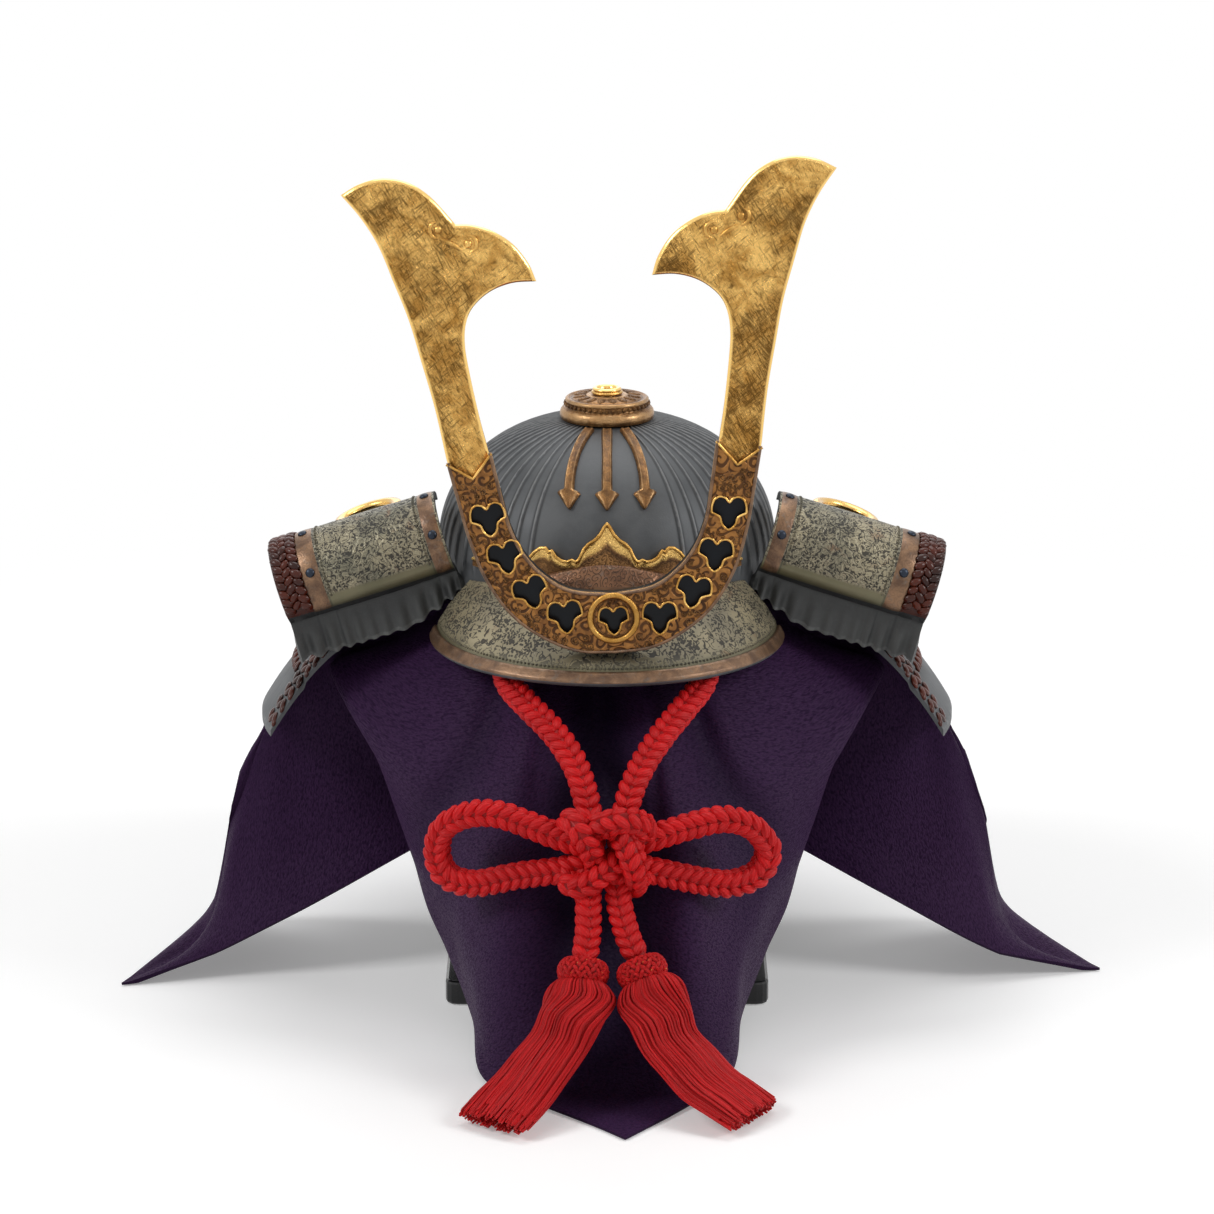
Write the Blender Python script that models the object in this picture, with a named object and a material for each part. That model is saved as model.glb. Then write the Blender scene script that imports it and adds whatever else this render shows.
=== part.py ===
"""Half-size display helmet in porcelain on a draped stand, with a tied cord.

Metres, +Z up. The wearer's front faces -Y. The origin is the middle of the
underside of the stand's board. Every length below is a named dimension, and
pieces that meet share the same values with a fitting gap between them.
"""

import math

import bmesh
import bpy
from mathutils import Matrix, Vector

MM = 0.001
FIT = 0.3 * MM

# Stand: board, turned post and domed head that carries the helmet
BOARD_SIDE = 134 * MM
BOARD_THICK = 10 * MM
BOARD_CORNER = 5 * MM
POST_RADIUS = 13 * MM
HEAD_RADIUS = 36 * MM
HEAD_BASE = 200 * MM
HEAD_SKIRT = 8 * MM
HEAD_RISE = 27.6 * MM
HEAD_TOP = HEAD_BASE + HEAD_RISE
POST_TOP = HEAD_BASE - HEAD_SKIRT
CLOTH_THICK = 1.4 * MM

# Bowl of the helmet: half of a super-ellipsoid above a plain band. Its ceiling
# rests on the head through the cloth, and every other height hangs on its base.
BOWL_X = 70 * MM
BOWL_Y = 74 * MM
BOWL_RISE = 59 * MM
BOWL_POWER = 2.3
BOWL_WALL = 5 * MM
BOWL_REST = 1 * MM
BOWL_BASE = HEAD_TOP + CLOTH_THICK + BOWL_REST + BOWL_WALL - BOWL_RISE
DOME_UNIT = BOWL_RISE / 59
BAND_DROP = 5 * MM
RIB_COUNT = 60
RIB_HEIGHT = 0.8 * MM
PLAIN_SECTOR = 24

# Visor: semicircular outer edge, fastened along the front of the bowl
VISOR_RADIUS = 73 * MM
VISOR_CENTRE_Y = -40 * MM
VISOR_DROP = 24.5 * MM
VISOR_SEAT = 5 * MM
VISOR_EDGE_Z = BOWL_BASE - VISOR_DROP
VISOR_ROOT_Z = BOWL_BASE + VISOR_SEAT
VISOR_ROOT_ANGLE = 53
VISOR_THICK = 3 * MM
VISOR_RIM = 6 * MM

# Neck guard: laced lames that flare like an umbrella
GUARD_X = 145 * MM
GUARD_Y = 143 * MM
GUARD_SEAT = 3 * MM
GUARD_DROP = 63 * MM
GUARD_ROOT_Z = BOWL_BASE - GUARD_SEAT
GUARD_LAMES = 5
GUARD_THICK = 3 * MM
GUARD_FRONT_Y = -37 * MM
GUARD_TAIL_Y = -41 * MM

# Turn-backs: rolled panels with a fluted skirt below
PANEL_Y = GUARD_FRONT_Y + 10 * MM
PANEL_INNER = Vector((4.5 * MM - BOWL_X, PANEL_Y, BOWL_BASE + 14.5 * MM))
PANEL_OUTER = Vector((11 * MM - GUARD_X, PANEL_Y, BOWL_BASE - 7.5 * MM))
PANEL_RADIUS = 19.5 * MM
PANEL_THICK = 3 * MM

# Crest: holder and two horns, leaning together
CREST_SETBACK = 10.5 * MM
CREST_LIFT = 10.8 * MM
CREST_DRAWN = 195.2 * MM
CREST_HEIGHT = 195.2 * MM
CREST_Y = VISOR_CENTRE_Y - VISOR_RADIUS + CREST_SETBACK
CREST_FOOT = VISOR_EDGE_Z + CREST_LIFT
CREST_MIDDLE = 2.6 * MM
CREST_PLATE = 2.0 * MM
HORN_THICK = 3.4 * MM
CREST_LEAN = math.radians(3.2)
CREST_PIVOT = Vector((CREST_MIDDLE, CREST_Y, CREST_FOOT + 14.5 * MM))
LAP_HEIGHT = 70 * MM
LAP_OUT = 0.0596572 * MM
LAP_IN = 0.1202389 * MM
HORN_IN = 0.7241118 * MM
HORN_OUT = 0.1030323 * MM
BRACKET_WIDTH = 16 * MM

# Crown fitting
CROWN_RADIUS = 19.4 * MM
CROWN_RISE = 11.5 * MM
BOSS_RADIUS = 6.6 * MM

# Cord
CORD_DIAMETER = 11 * MM
CORD_RADIUS = CORD_DIAMETER / 2
TASSEL_HEAD_RADIUS = 10 * MM


def mm(*values):
    """Vector from lengths in millimetres."""
    return Vector([value * MM for value in values])


def finish(name, colour, roughness, metallic):
    """One plain Principled material."""
    material = bpy.data.materials.new(name)
    material.use_nodes = True
    shader = material.node_tree.nodes["Principled BSDF"]
    shader.inputs["Base Color"].default_value = (*colour, 1.0)
    shader.inputs["Roughness"].default_value = roughness
    shader.inputs["Metallic"].default_value = metallic
    material.diffuse_color = (*colour, 1.0)
    return material


def keep(name, mesh_edit, material, smooth=35):
    """Turn a bmesh into a named object with outward faces."""
    bmesh.ops.recalc_face_normals(mesh_edit, faces=mesh_edit.faces)
    if mesh_edit.calc_volume(signed=True) < 0:
        bmesh.ops.reverse_faces(mesh_edit, faces=mesh_edit.faces)
    mesh = bpy.data.meshes.new(name)
    mesh_edit.to_mesh(mesh)
    mesh_edit.free()
    mesh.shade_smooth()
    mesh.set_sharp_from_angle(angle=math.radians(smooth))
    obj = bpy.data.objects.new(name, mesh)
    obj.data.materials.append(material)
    bpy.context.scene.collection.objects.link(obj)
    return obj


def union(target, others):
    """Fuse other solids into the target and drop them."""
    for other in others:
        step = target.modifiers.new("fuse", "BOOLEAN")
        step.operation = "UNION"
        step.solver = "EXACT"
        step.object = other
        other.hide_render = True
        other.display_type = "WIRE"


def cut(target, cutters):
    """Cut hidden solids out of the target."""
    for cutter in cutters:
        step = target.modifiers.new("cut", "BOOLEAN")
        step.operation = "DIFFERENCE"
        step.solver = "EXACT"
        step.object = cutter
        cutter.hide_render = True
        cutter.display_type = "WIRE"


def bevel(obj, width, segments=1, angle=40):
    """Round the sharp edges of an object."""
    step = obj.modifiers.new("edge", "BEVEL")
    step.width = width
    step.segments = segments
    step.limit_method = "ANGLE"
    step.angle_limit = math.radians(angle)


def fill_grid(work, rows, closed=False):
    """Quads over rows of vertices; the row direction may close on itself."""
    for first, second in zip(rows, rows[1:]):
        count = len(first)
        last = count if closed else count - 1
        for i in range(last):
            j = (i + 1) % count
            work.faces.new((first[i], first[j], second[j], second[i]))


def solid_between(outer, inner, closed=False):
    """Closed shell between two grids of points with the same shape."""
    work = bmesh.new()
    upper = [[work.verts.new(p) for p in row] for row in outer]
    lower = [[work.verts.new(p) for p in row] for row in inner]
    fill_grid(work, upper, closed)
    fill_grid(work, lower, closed)
    fill_grid(work, [upper[0], lower[0]], closed)
    fill_grid(work, [upper[-1], lower[-1]], closed)
    if not closed:
        fill_grid(work, [[row[0] for row in upper], [row[0] for row in lower]])
        fill_grid(work, [[row[-1] for row in upper], [row[-1] for row in lower]])
    return work


def offset_grid(grid, depth, closed=False):
    """The grid moved by a depth against its own surface normals."""
    rows = len(grid)
    columns = len(grid[0])
    moved = []
    for i in range(rows):
        line = []
        for j in range(columns):
            along = grid[min(i + 1, rows - 1)][j] - grid[max(i - 1, 0)][j]
            if closed:
                across = grid[i][(j + 1) % columns] - grid[i][j - 1]
            else:
                across = grid[i][min(j + 1, columns - 1)] - grid[i][max(j - 1, 0)]
            normal = across.cross(along).normalized()
            line.append(grid[i][j] - normal * depth)
        moved.append(line)
    return moved


def turned(profile, steps, centre=(0, 0)):
    """Lathe a profile of (radius, height) points round a vertical axis."""
    work = bmesh.new()
    rings = []
    for radius, height in profile:
        if radius < 1e-6:
            rings.append([work.verts.new((centre[0], centre[1], height))])
            continue
        rings.append([work.verts.new((centre[0] + radius * math.cos(turn),
                                      centre[1] + radius * math.sin(turn), height))
                      for turn in (2 * math.pi * k / steps for k in range(steps))])
    pairs = list(zip(rings, rings[1:]))
    if len(rings[0]) > 1:
        pairs.append((rings[-1], rings[0]))
    for first, second in pairs:
        for k in range(steps):
            n = (k + 1) % steps
            if len(first) == 1:
                work.faces.new((first[0], second[k], second[n]))
            elif len(second) == 1:
                work.faces.new((first[k], first[n], second[0]))
            else:
                work.faces.new((first[k], first[n], second[n], second[k]))
    return work


def smooth_line(points, steps, closed=False):
    """Catmull-Rom points through the given points."""
    count = len(points)
    spans = count if closed else count - 1
    line = []
    for i in range(spans):
        if closed:
            a, b, c, d = (points[(i + k) % count] for k in (-1, 0, 1, 2))
        else:
            b, c = points[i], points[i + 1]
            a = points[i - 1] if i > 0 else b * 2 - c
            d = points[i + 2] if i + 2 < count else c * 2 - b
        for k in range(steps):
            t = k / steps
            line.append(0.5 * (2 * b + (c - a) * t + (2 * a - 5 * b + 4 * c - d) * t * t
                               + (3 * b - a - 3 * c + d) * t * t * t))
    if not closed:
        line.append(points[-1].copy())
    return line


def plate(outline, front, back):
    """Extrude an outline of (x, z) points between two Y values."""
    work = bmesh.new()
    face = work.faces.new([work.verts.new((p[0], front, p[1])) for p in outline])
    moved = bmesh.ops.extrude_face_region(work, geom=[face])
    verts = [item for item in moved["geom"] if isinstance(item, bmesh.types.BMVert)]
    bmesh.ops.translate(work, vec=(0, back - front, 0), verts=verts)
    return work


def cord(name, points, material, steps=5):
    """Plain round cord along a smooth route, made from a bevelled curve."""
    data = bpy.data.curves.new(name, "CURVE")
    data.dimensions = "3D"
    data.resolution_u = 2
    data.render_resolution_u = 2
    data.bevel_depth = CORD_RADIUS
    data.bevel_resolution = 2
    data.use_fill_caps = True
    route = smooth_line(points, steps)
    spline = data.splines.new("POLY")
    spline.points.add(len(route) - 1)
    for place, point in zip(spline.points, route):
        place.co = (*point, 1.0)
    data.materials.append(material)
    obj = bpy.data.objects.new(name, data)
    bpy.context.scene.collection.objects.link(obj)
    return obj


def bowl_point(azimuth, tilt, grow=0.0):
    """Point of the bowl: azimuth from the front, tilt from rim to crown."""
    power = 2 / BOWL_POWER
    reach = math.cos(tilt) ** power if math.cos(tilt) > 0 else 0.0
    rise = math.sin(tilt) ** power if math.sin(tilt) > 0 else 0.0
    return Vector(((BOWL_X + grow) * reach * math.sin(azimuth),
                   -(BOWL_Y + grow) * reach * math.cos(azimuth),
                   BOWL_BASE + (BOWL_RISE + grow) * rise))


def bowl_tilt_at(height, grow=0.0):
    """Tilt at which the bowl reaches a height."""
    share = min(max((height - BOWL_BASE) / (BOWL_RISE + grow), 0.0), 1.0)
    return math.asin(share ** (BOWL_POWER / 2))


def head_point(turn, grow=0.0):
    """Radius and height on the domed head of the stand."""
    return ((HEAD_RADIUS + grow) * math.cos(turn),
            HEAD_BASE + (HEAD_TOP - HEAD_BASE + grow) * math.sin(turn))


def make_stand(black):
    """Board with rounded corners, turned post and domed head."""
    work = bmesh.new()
    bmesh.ops.create_cube(work, size=1.0)
    bmesh.ops.scale(work, vec=(BOARD_SIDE, BOARD_SIDE, BOARD_THICK), verts=work.verts)
    bmesh.ops.translate(work, vec=(0, 0, BOARD_THICK / 2), verts=work.verts)
    upright = [e for e in work.edges if abs(e.verts[0].co.z - e.verts[1].co.z) > BOARD_THICK / 2]
    bmesh.ops.bevel(work, geom=upright, offset=BOARD_CORNER, segments=3, profile=0.5, affect="EDGES")
    board = keep("stand_board", work, black)
    bevel(board, 1.2 * MM, 2)

    foot = BOARD_THICK + FIT
    post = [(0, foot), (30 * MM, foot), (30 * MM, foot + 4 * MM), (22 * MM, foot + 9 * MM),
            (16 * MM, foot + 12 * MM), (POST_RADIUS, foot + 20 * MM), (POST_RADIUS, POST_TOP - 20 * MM),
            (17 * MM, POST_TOP - 12 * MM), (17 * MM, POST_TOP - 8 * MM), (POST_RADIUS, POST_TOP - 5 * MM),
            (POST_RADIUS, POST_TOP), (0, POST_TOP)]
    keep("stand_post", turned(post, 20), black)

    head = [(0, POST_TOP + FIT), (HEAD_RADIUS - 10 * MM, POST_TOP + FIT),
            (HEAD_RADIUS - 2 * MM, POST_TOP + HEAD_SKIRT / 2)]
    head += [head_point(math.radians(turn)) for turn in (0, 12, 26, 40, 54, 68, 80)]
    head.append((0, HEAD_TOP))
    keep("stand_head", turned(head, 24), black)


def make_bowl(grey):
    """Ribbed bowl with a plain front sector and a plain band at its rim."""
    columns = 2 * RIB_COUNT
    low_band = BOWL_BASE - BAND_DROP
    tilts = [bowl_tilt_at(BOWL_BASE + BOWL_RISE * share)
             for share in (0.0, 0.24, 0.42, 0.58, 0.72, 0.84, 0.925, 0.975)]
    outer = [[bowl_point(2 * math.pi * k / columns, 0.0) + Vector((0, 0, -BAND_DROP))
              for k in range(columns)]]
    for level, tilt in enumerate(tilts):
        row = []
        for k in range(columns):
            azimuth = 2 * math.pi * k / columns
            degrees = min(360 * k / columns, 360 - 360 * k / columns)
            ridge = RIB_HEIGHT if k % 2 and degrees > PLAIN_SECTOR and level > 0 else 0.0
            if level == len(tilts) - 1:
                ridge *= 0.5
            row.append(bowl_point(azimuth, tilt, ridge))
        outer.append(row)
    work = bmesh.new()
    outside = [[work.verts.new(p) for p in row] for row in outer]
    fill_grid(work, outside, True)
    crown = work.verts.new((0, 0, BOWL_BASE + BOWL_RISE))
    half = columns // 2
    inside = [[work.verts.new(bowl_point(2 * math.pi * k / half, tilt, -BOWL_WALL) + drop)
               for k in range(half)]
              for tilt, drop in [(0.0, Vector((0, 0, -BAND_DROP)))]
              + [(math.radians(t), Vector()) for t in (14, 38, 58, 76)]]
    fill_grid(work, inside, True)
    ceiling = work.verts.new((0, 0, BOWL_BASE + BOWL_RISE - BOWL_WALL))
    rim = outside[0]
    for k in range(half):
        n = (k + 1) % half
        work.faces.new((rim[2 * k], rim[2 * k + 1], inside[0][k]))
        work.faces.new((rim[2 * k + 1], inside[0][n], inside[0][k]))
        work.faces.new((rim[2 * k + 1], rim[(2 * k + 2) % columns], inside[0][n]))
        work.faces.new((inside[-1][n], inside[-1][k], ceiling))
    for k in range(columns):
        work.faces.new((outside[-1][k], outside[-1][(k + 1) % columns], crown))
    return keep("bowl", work, grey, 12)


def make_visor(grey):
    """Visor with a raised rim and the lug that holds the crest."""
    def section(turn):
        phi = math.radians(turn)
        root_angle = math.radians(turn * VISOR_ROOT_ANGLE / 90)
        grow = FIT
        root = Vector(((BOWL_X + grow) * math.sin(root_angle),
                       -(BOWL_Y + grow) * math.cos(root_angle), VISOR_ROOT_Z))
        lift = 5 * MM * (1 - math.cos(phi)) * 0.3
        root.z -= lift * 3
        edge = Vector((VISOR_RADIUS * math.sin(phi),
                       VISOR_CENTRE_Y - VISOR_RADIUS * math.cos(phi), VISOR_EDGE_Z))
        run = edge - root
        slope = run.normalized()
        side = Vector((slope.y, -slope.x, 0)).normalized()
        normal = side.cross(slope)
        if normal.z < 0:
            normal.negate()
        points = []
        for share, rise in ((0.0, 0.0), (0.25, 0.9), (0.5, 1.3), (0.74, 0.8)):
            points.append(root + run * share + normal * rise * MM)
        flat = edge - slope * VISOR_RIM
        points.append(flat + normal * 0.1 * MM)
        points.append(flat + normal * 1.0 * MM + slope * 0.8 * MM)
        points.append(edge + normal * 0.6 * MM - slope * 0.8 * MM)
        points.append(edge - normal * 0.6 * MM)
        below = [p - normal * VISOR_THICK for p in points[:6]]
        below[0] = root - Vector((0, 0, VISOR_THICK / normal.z))
        below.append(edge - normal * 2.4 * MM - slope * 1.2 * MM)
        below.append(edge - normal * 1.9 * MM - slope * 0.2 * MM)
        return points, below

    turns = [-90 + 180 * k / 30 for k in range(31)]
    top = []
    bottom = []
    for turn in turns:
        points, below = section(turn)
        top.append(points)
        bottom.append(below)
    visor = keep("visor", solid_between(top, bottom), grey, 30)
    return visor


def guard_height(share):
    """Umbrella curve of the neck guard from root to hem."""
    return GUARD_ROOT_Z - (22 * share + 30 * share ** 2.2 + 11 * share ** 4) * GUARD_DROP / 63


def guard_point(share, azimuth, lift=0.0):
    """Point of the neck guard; azimuth from the front in radians."""
    grow = FIT + (GUARD_X - BOWL_X) * share
    grow_y = FIT + (GUARD_Y - BOWL_Y) * share
    return Vector(((BOWL_X + grow) * math.sin(azimuth), -(BOWL_Y + grow_y) * math.cos(azimuth),
                   guard_height(share) + lift))


def guard_start(share):
    """Azimuth at which a lame ends at the front."""
    tail = max(0.0, (share - 0.65) / 0.35)
    reach = GUARD_FRONT_Y + (GUARD_TAIL_Y - GUARD_FRONT_Y) * tail
    return math.acos(-reach / (BOWL_Y + FIT + (GUARD_Y - BOWL_Y) * share))


def make_guard(grey):
    """Stepped lames from one front end round the back to the other."""
    shares = []
    for lame in range(GUARD_LAMES):
        start = lame / GUARD_LAMES
        stop = (lame + 1) / GUARD_LAMES
        shares.append((start + (0.012 if lame else 0.0), 0.0))
        shares.append((stop, 1.4 * MM))
    columns = 42
    top = []
    for share, lift in shares:
        first = guard_start(share)
        row = []
        for k in range(columns + 1):
            azimuth = first + (2 * math.pi - 2 * first) * k / columns
            row.append(guard_point(share, azimuth, lift))
        top.append(row)
    bottom = [[p - Vector((0, 0, GUARD_THICK)) for p in row] for row in top]
    return keep("neck_guard", solid_between(top, bottom), grey, 30)


def make_turnback(side, name, grey):
    """Rolled panel with a fluted skirt, seated on the front of the guard."""
    axis = (PANEL_OUTER - PANEL_INNER).normalized()
    up = Vector((axis.z, 0, -axis.x))
    forward = Vector((0, -1, 0))
    columns = 34
    top = []
    for k in range(columns + 1):
        share = k / columns
        centre = PANEL_INNER.lerp(PANEL_OUTER, share)
        reach = PANEL_RADIUS * (1 + 0.03 * math.sin(math.pi * share))
        flute = 0.6 * MM * (1 if k % 2 else -1)
        row = []
        for turn in (120, 95, 70, 45, 20, -5, -30):
            angle = math.radians(turn)
            row.append(centre + (forward * math.cos(angle) + up * math.sin(angle)) * reach)
        fall = (8.5 + 8.5 * min(1.0, share * 3)) * MM
        low = centre - up * (reach * 0.5 + 1.6 * MM)
        row.append(low + forward * 13.4 * MM)
        row.append(low + forward * (13.8 * MM + flute * 0.5) - up * fall * 0.45)
        row.append(low + forward * (15.5 * MM + flute) - up * (fall + flute))
        top.append([Vector((p.x * -side, p.y, p.z)) for p in row])
    bottom = offset_grid(top, PANEL_THICK * side)
    return keep(name, solid_between(top, bottom), grey, 30)


def crest_matrix():
    """Lean of the crest about its pivot."""
    return (Matrix.Translation(CREST_PIVOT) @ Matrix.Rotation(-CREST_LEAN, 4, "Y")
            @ Matrix.Translation(-CREST_PIVOT))


def crest_outline(half):
    """Full outline from the right half, given from the foot up."""
    right = [(CREST_MIDDLE + p[0], CREST_FOOT + p[1]) for p in half]
    left = [(CREST_MIDDLE - p[0], CREST_FOOT + p[1]) for p in half[::-1] if p[0] > 1e-6]
    return right + left


def make_crest(bronze, gold):
    """U-shaped holder with half-lapped sockets, two horns and a bracket."""
    def drawn(across, height):
        """Point of the crest's drawing, carried to the crest's height."""
        return mm(across * CREST_HEIGHT / CREST_DRAWN, height * CREST_HEIGHT / CREST_DRAWN)

    def edge_at(line, height):
        """Half width at which an edge of the holder reaches a height."""
        for near, far in zip(line, line[1:]):
            if min(near[1], far[1]) <= height <= max(near[1], far[1]):
                return near[0] + (far[0] - near[0]) * (height - near[1]) / (far[1] - near[1])
        return line[-1][0]

    outer = smooth_line([drawn(0, 0), drawn(14.5, 1.2), drawn(28, 7.2), drawn(40.2, 17.2), drawn(49.6, 31.9),
                         drawn(55.4, 48.7), drawn(59, 65.2), drawn(62.3, 81.2)], 3)
    inner = smooth_line([drawn(44.3, 84.7), drawn(40.6, 64.2), drawn(38.2, 53.2), drawn(33.6, 42.6), drawn(26.2, 33.6),
                         drawn(15.7, 27), drawn(0, 24.7)], 3)
    back = CREST_Y + HORN_THICK / 2
    lap = CREST_Y - HORN_THICK / 2 - FIT
    front = lap - CREST_PLATE
    holder = keep("crest_holder", plate(crest_outline(outer + [drawn(52.2, 74.7)] + inner), front, lap), bronze)
    lap_top = LAP_HEIGHT - FIT
    low = [p for p in outer if p[1] < lap_top]
    low += [Vector((edge_at(outer, lap_top) + LAP_OUT, lap_top)), Vector((edge_at(inner, lap_top) - LAP_IN, lap_top))]
    low += [p for p in inner if p[1] < lap_top]
    rear = keep("holder_rear", plate(crest_outline(low), front + CREST_PLATE * 0.5, back), bronze)
    union(holder, [rear])
    holder.matrix_world = crest_matrix()
    rear.matrix_world = crest_matrix()

    horn = [Vector((edge_at(inner, LAP_HEIGHT) + HORN_IN, LAP_HEIGHT)),
            Vector((edge_at(outer, LAP_HEIGHT) - HORN_OUT, LAP_HEIGHT))]
    horn += smooth_line([drawn(62.3, 82.2), drawn(65.6, 103.2), drawn(69.7, 122.2), drawn(73.4, 138.6), drawn(78.4, 154.2),
                         drawn(83.3, 168.7), drawn(89.5, 180.2), drawn(96.5, 189.6)], 2)[:-1]
    horn += smooth_line([drawn(96.5, 189.6), drawn(89, 193.5), drawn(80, 195.2), drawn(70.5, 193.2), drawn(62, 187.2),
                         drawn(52.7, 175.6)], 2)[:-1]
    horn += smooth_line([drawn(52.7, 175.6), drawn(46.2, 175), drawn(38.6, 172.2), drawn(31, 166.7),
                         drawn(25.3, 158.7), drawn(22.6, 151.4)], 2)[:-1]
    horn += smooth_line([drawn(22.6, 151.4), drawn(32.2, 151.2), drawn(41, 148.2), drawn(47.9, 142.5), drawn(51.1, 136),
                         drawn(52, 127.5), drawn(51, 117), drawn(48.3, 99.2), drawn(45.6, 85.2)], 2)
    for sign, name in ((1, "horn_right"), (-1, "horn_left")):
        line = [(CREST_MIDDLE + sign * p[0], CREST_FOOT + p[1]) for p in horn]
        obj = keep(name, plate(line, CREST_Y - HORN_THICK / 2, CREST_Y + HORN_THICK / 2), gold)
        bevel(obj, 0.9 * MM, 1, 50)
        obj.matrix_world = crest_matrix()

    def visor_top(reach):
        share = (reach - BOWL_Y) / (VISOR_RADIUS - VISOR_CENTRE_Y - BOWL_Y)
        return VISOR_ROOT_Z + (VISOR_EDGE_Z - VISOR_ROOT_Z) * share + 2.1 * MM

    near = -(back + FIT)
    far = BOWL_Y + 3.5 * MM
    side_view = [(near, visor_top(near)), (far, visor_top(far)), (far, visor_top(far) + 3 * MM),
                 (near - 6 * MM, CREST_FOOT + 19 * MM), (near, CREST_FOOT + 19 * MM)]
    work = bmesh.new()
    face = work.faces.new([work.verts.new((CREST_MIDDLE - BRACKET_WIDTH / 2, -y, z)) for y, z in side_view])
    moved = bmesh.ops.extrude_face_region(work, geom=[face])
    verts = [item for item in moved["geom"] if isinstance(item, bmesh.types.BMVert)]
    bmesh.ops.translate(work, vec=(BRACKET_WIDTH, 0, 0), verts=verts)
    keep("crest_bracket", work, bronze)


def make_crown(bronze, gold):
    """Flanged crown fitting and its boss ring."""
    def seat(radius):
        share = min(radius / BOWL_Y, 1.0)
        return BOWL_BASE + BOWL_RISE * (1 - share ** BOWL_POWER) ** (1 / BOWL_POWER) + 2 * FIT

    top = BOWL_BASE + BOWL_RISE + CROWN_RISE
    profile = [(0, seat(0) + 0.1 * MM), (8 * MM, seat(8 * MM) + 0.1 * MM), (14 * MM, seat(14 * MM)),
               (CROWN_RADIUS - MM, seat(CROWN_RADIUS)), (CROWN_RADIUS, seat(CROWN_RADIUS) + MM),
               (CROWN_RADIUS, seat(CROWN_RADIUS) + 3 * MM), (CROWN_RADIUS - 1.2 * MM, top - 7 * MM),
               (CROWN_RADIUS - 1.2 * MM, top - 3.4 * MM), (CROWN_RADIUS - 2.2 * MM, top - 2.6 * MM),
               (BOSS_RADIUS + 2 * MM, top - 2.0 * MM), (0, top - 2.0 * MM)]
    keep("crown_fitting", turned(profile, 32), bronze)
    low = top - 2.0 * MM + FIT
    ring = [(BOSS_RADIUS, low), (BOSS_RADIUS, low + 1.6 * MM), (BOSS_RADIUS - MM, low + 3.6 * MM),
            (BOSS_RADIUS - 2.6 * MM, low + 3.8 * MM), (2.2 * MM, low + 2.4 * MM), (2.2 * MM, low)]
    keep("crown_boss", turned(ring, 24), gold)


def make_arrow(name, azimuth_deg, spread_deg, bronze):
    """Raised arrow that runs down the plain sector of the bowl."""
    sections = [(57.4, 2.3), (55.6, 2.3), (52, 2.3), (46.5, 2.3), (40.6, 2.3), (40.2, 4.7), (37.6, 3.4), (34.4, 0.5)]
    rows_low = []
    rows_high = []
    for level, (height, half) in enumerate(sections):
        share = level / (len(sections) - 1)
        tilt = bowl_tilt_at(BOWL_BASE + height * DOME_UNIT)
        azimuth = math.radians(azimuth_deg + spread_deg * (1 - share))
        low = bowl_point(azimuth, tilt, 1.5 * FIT)
        across = Vector((math.cos(azimuth), math.sin(azimuth), 0))
        high = bowl_point(azimuth, tilt, FIT + 1.5 * MM)
        rows_low.append([low - across * half * MM, low, low + across * half * MM])
        rows_high.append([high - across * (half - 0.4) * MM, high + (high - low) * 0.3,
                          high + across * (half - 0.4) * MM])
    keep(name, solid_between(rows_high, rows_low), bronze, 30)


def brow_top(degrees):
    """Upper outline of the brow band at an angle from the front."""
    knots = ((0, 29.5), (2.5, 25.5), (6, 22.5), (8, 20.5), (9.5, 16), (13, 15), (17, 16.5),
             (20, 19.5), (23, 18.5), (26, 15), (32, 13), (50, 11))
    angle = abs(degrees)
    for (a, low), (b, high) in zip(knots, knots[1:]):
        if angle <= b:
            return BOWL_BASE + (low + (high - low) * (angle - a) / (b - a)) * DOME_UNIT
    return BOWL_BASE + knots[-1][1] * DOME_UNIT


def make_brow(gold):
    """Gilt brow band with an ogee peak, laid on the bowl."""
    angles = [-50, -44, -38, -32, -29, -26, -24.5, -23, -21.5, -20, -17, -13, -9.5, -8, -6, -4, -2.5, -1.2, 0]
    angles = angles + [-a for a in angles[-2::-1]]
    low_line = BOWL_BASE + 7.2 * DOME_UNIT
    seat = RIB_HEIGHT + FIT
    rows_low = []
    rows_high = []
    for degrees in angles:
        azimuth = math.radians(degrees)
        top = brow_top(degrees)
        inner = []
        outer = []
        for share in (0.0, 0.5, 1.0):
            tilt = bowl_tilt_at(low_line + (top - low_line) * share)
            inner.append(bowl_point(azimuth, tilt, seat))
            outer.append(bowl_point(azimuth, tilt, seat + (1.2 + 0.5 * math.sin(math.pi * share)) * MM))
        rows_low.append(inner)
        rows_high.append(outer)
    keep("brow_band", solid_between(rows_high, rows_low), gold, 30)


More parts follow.
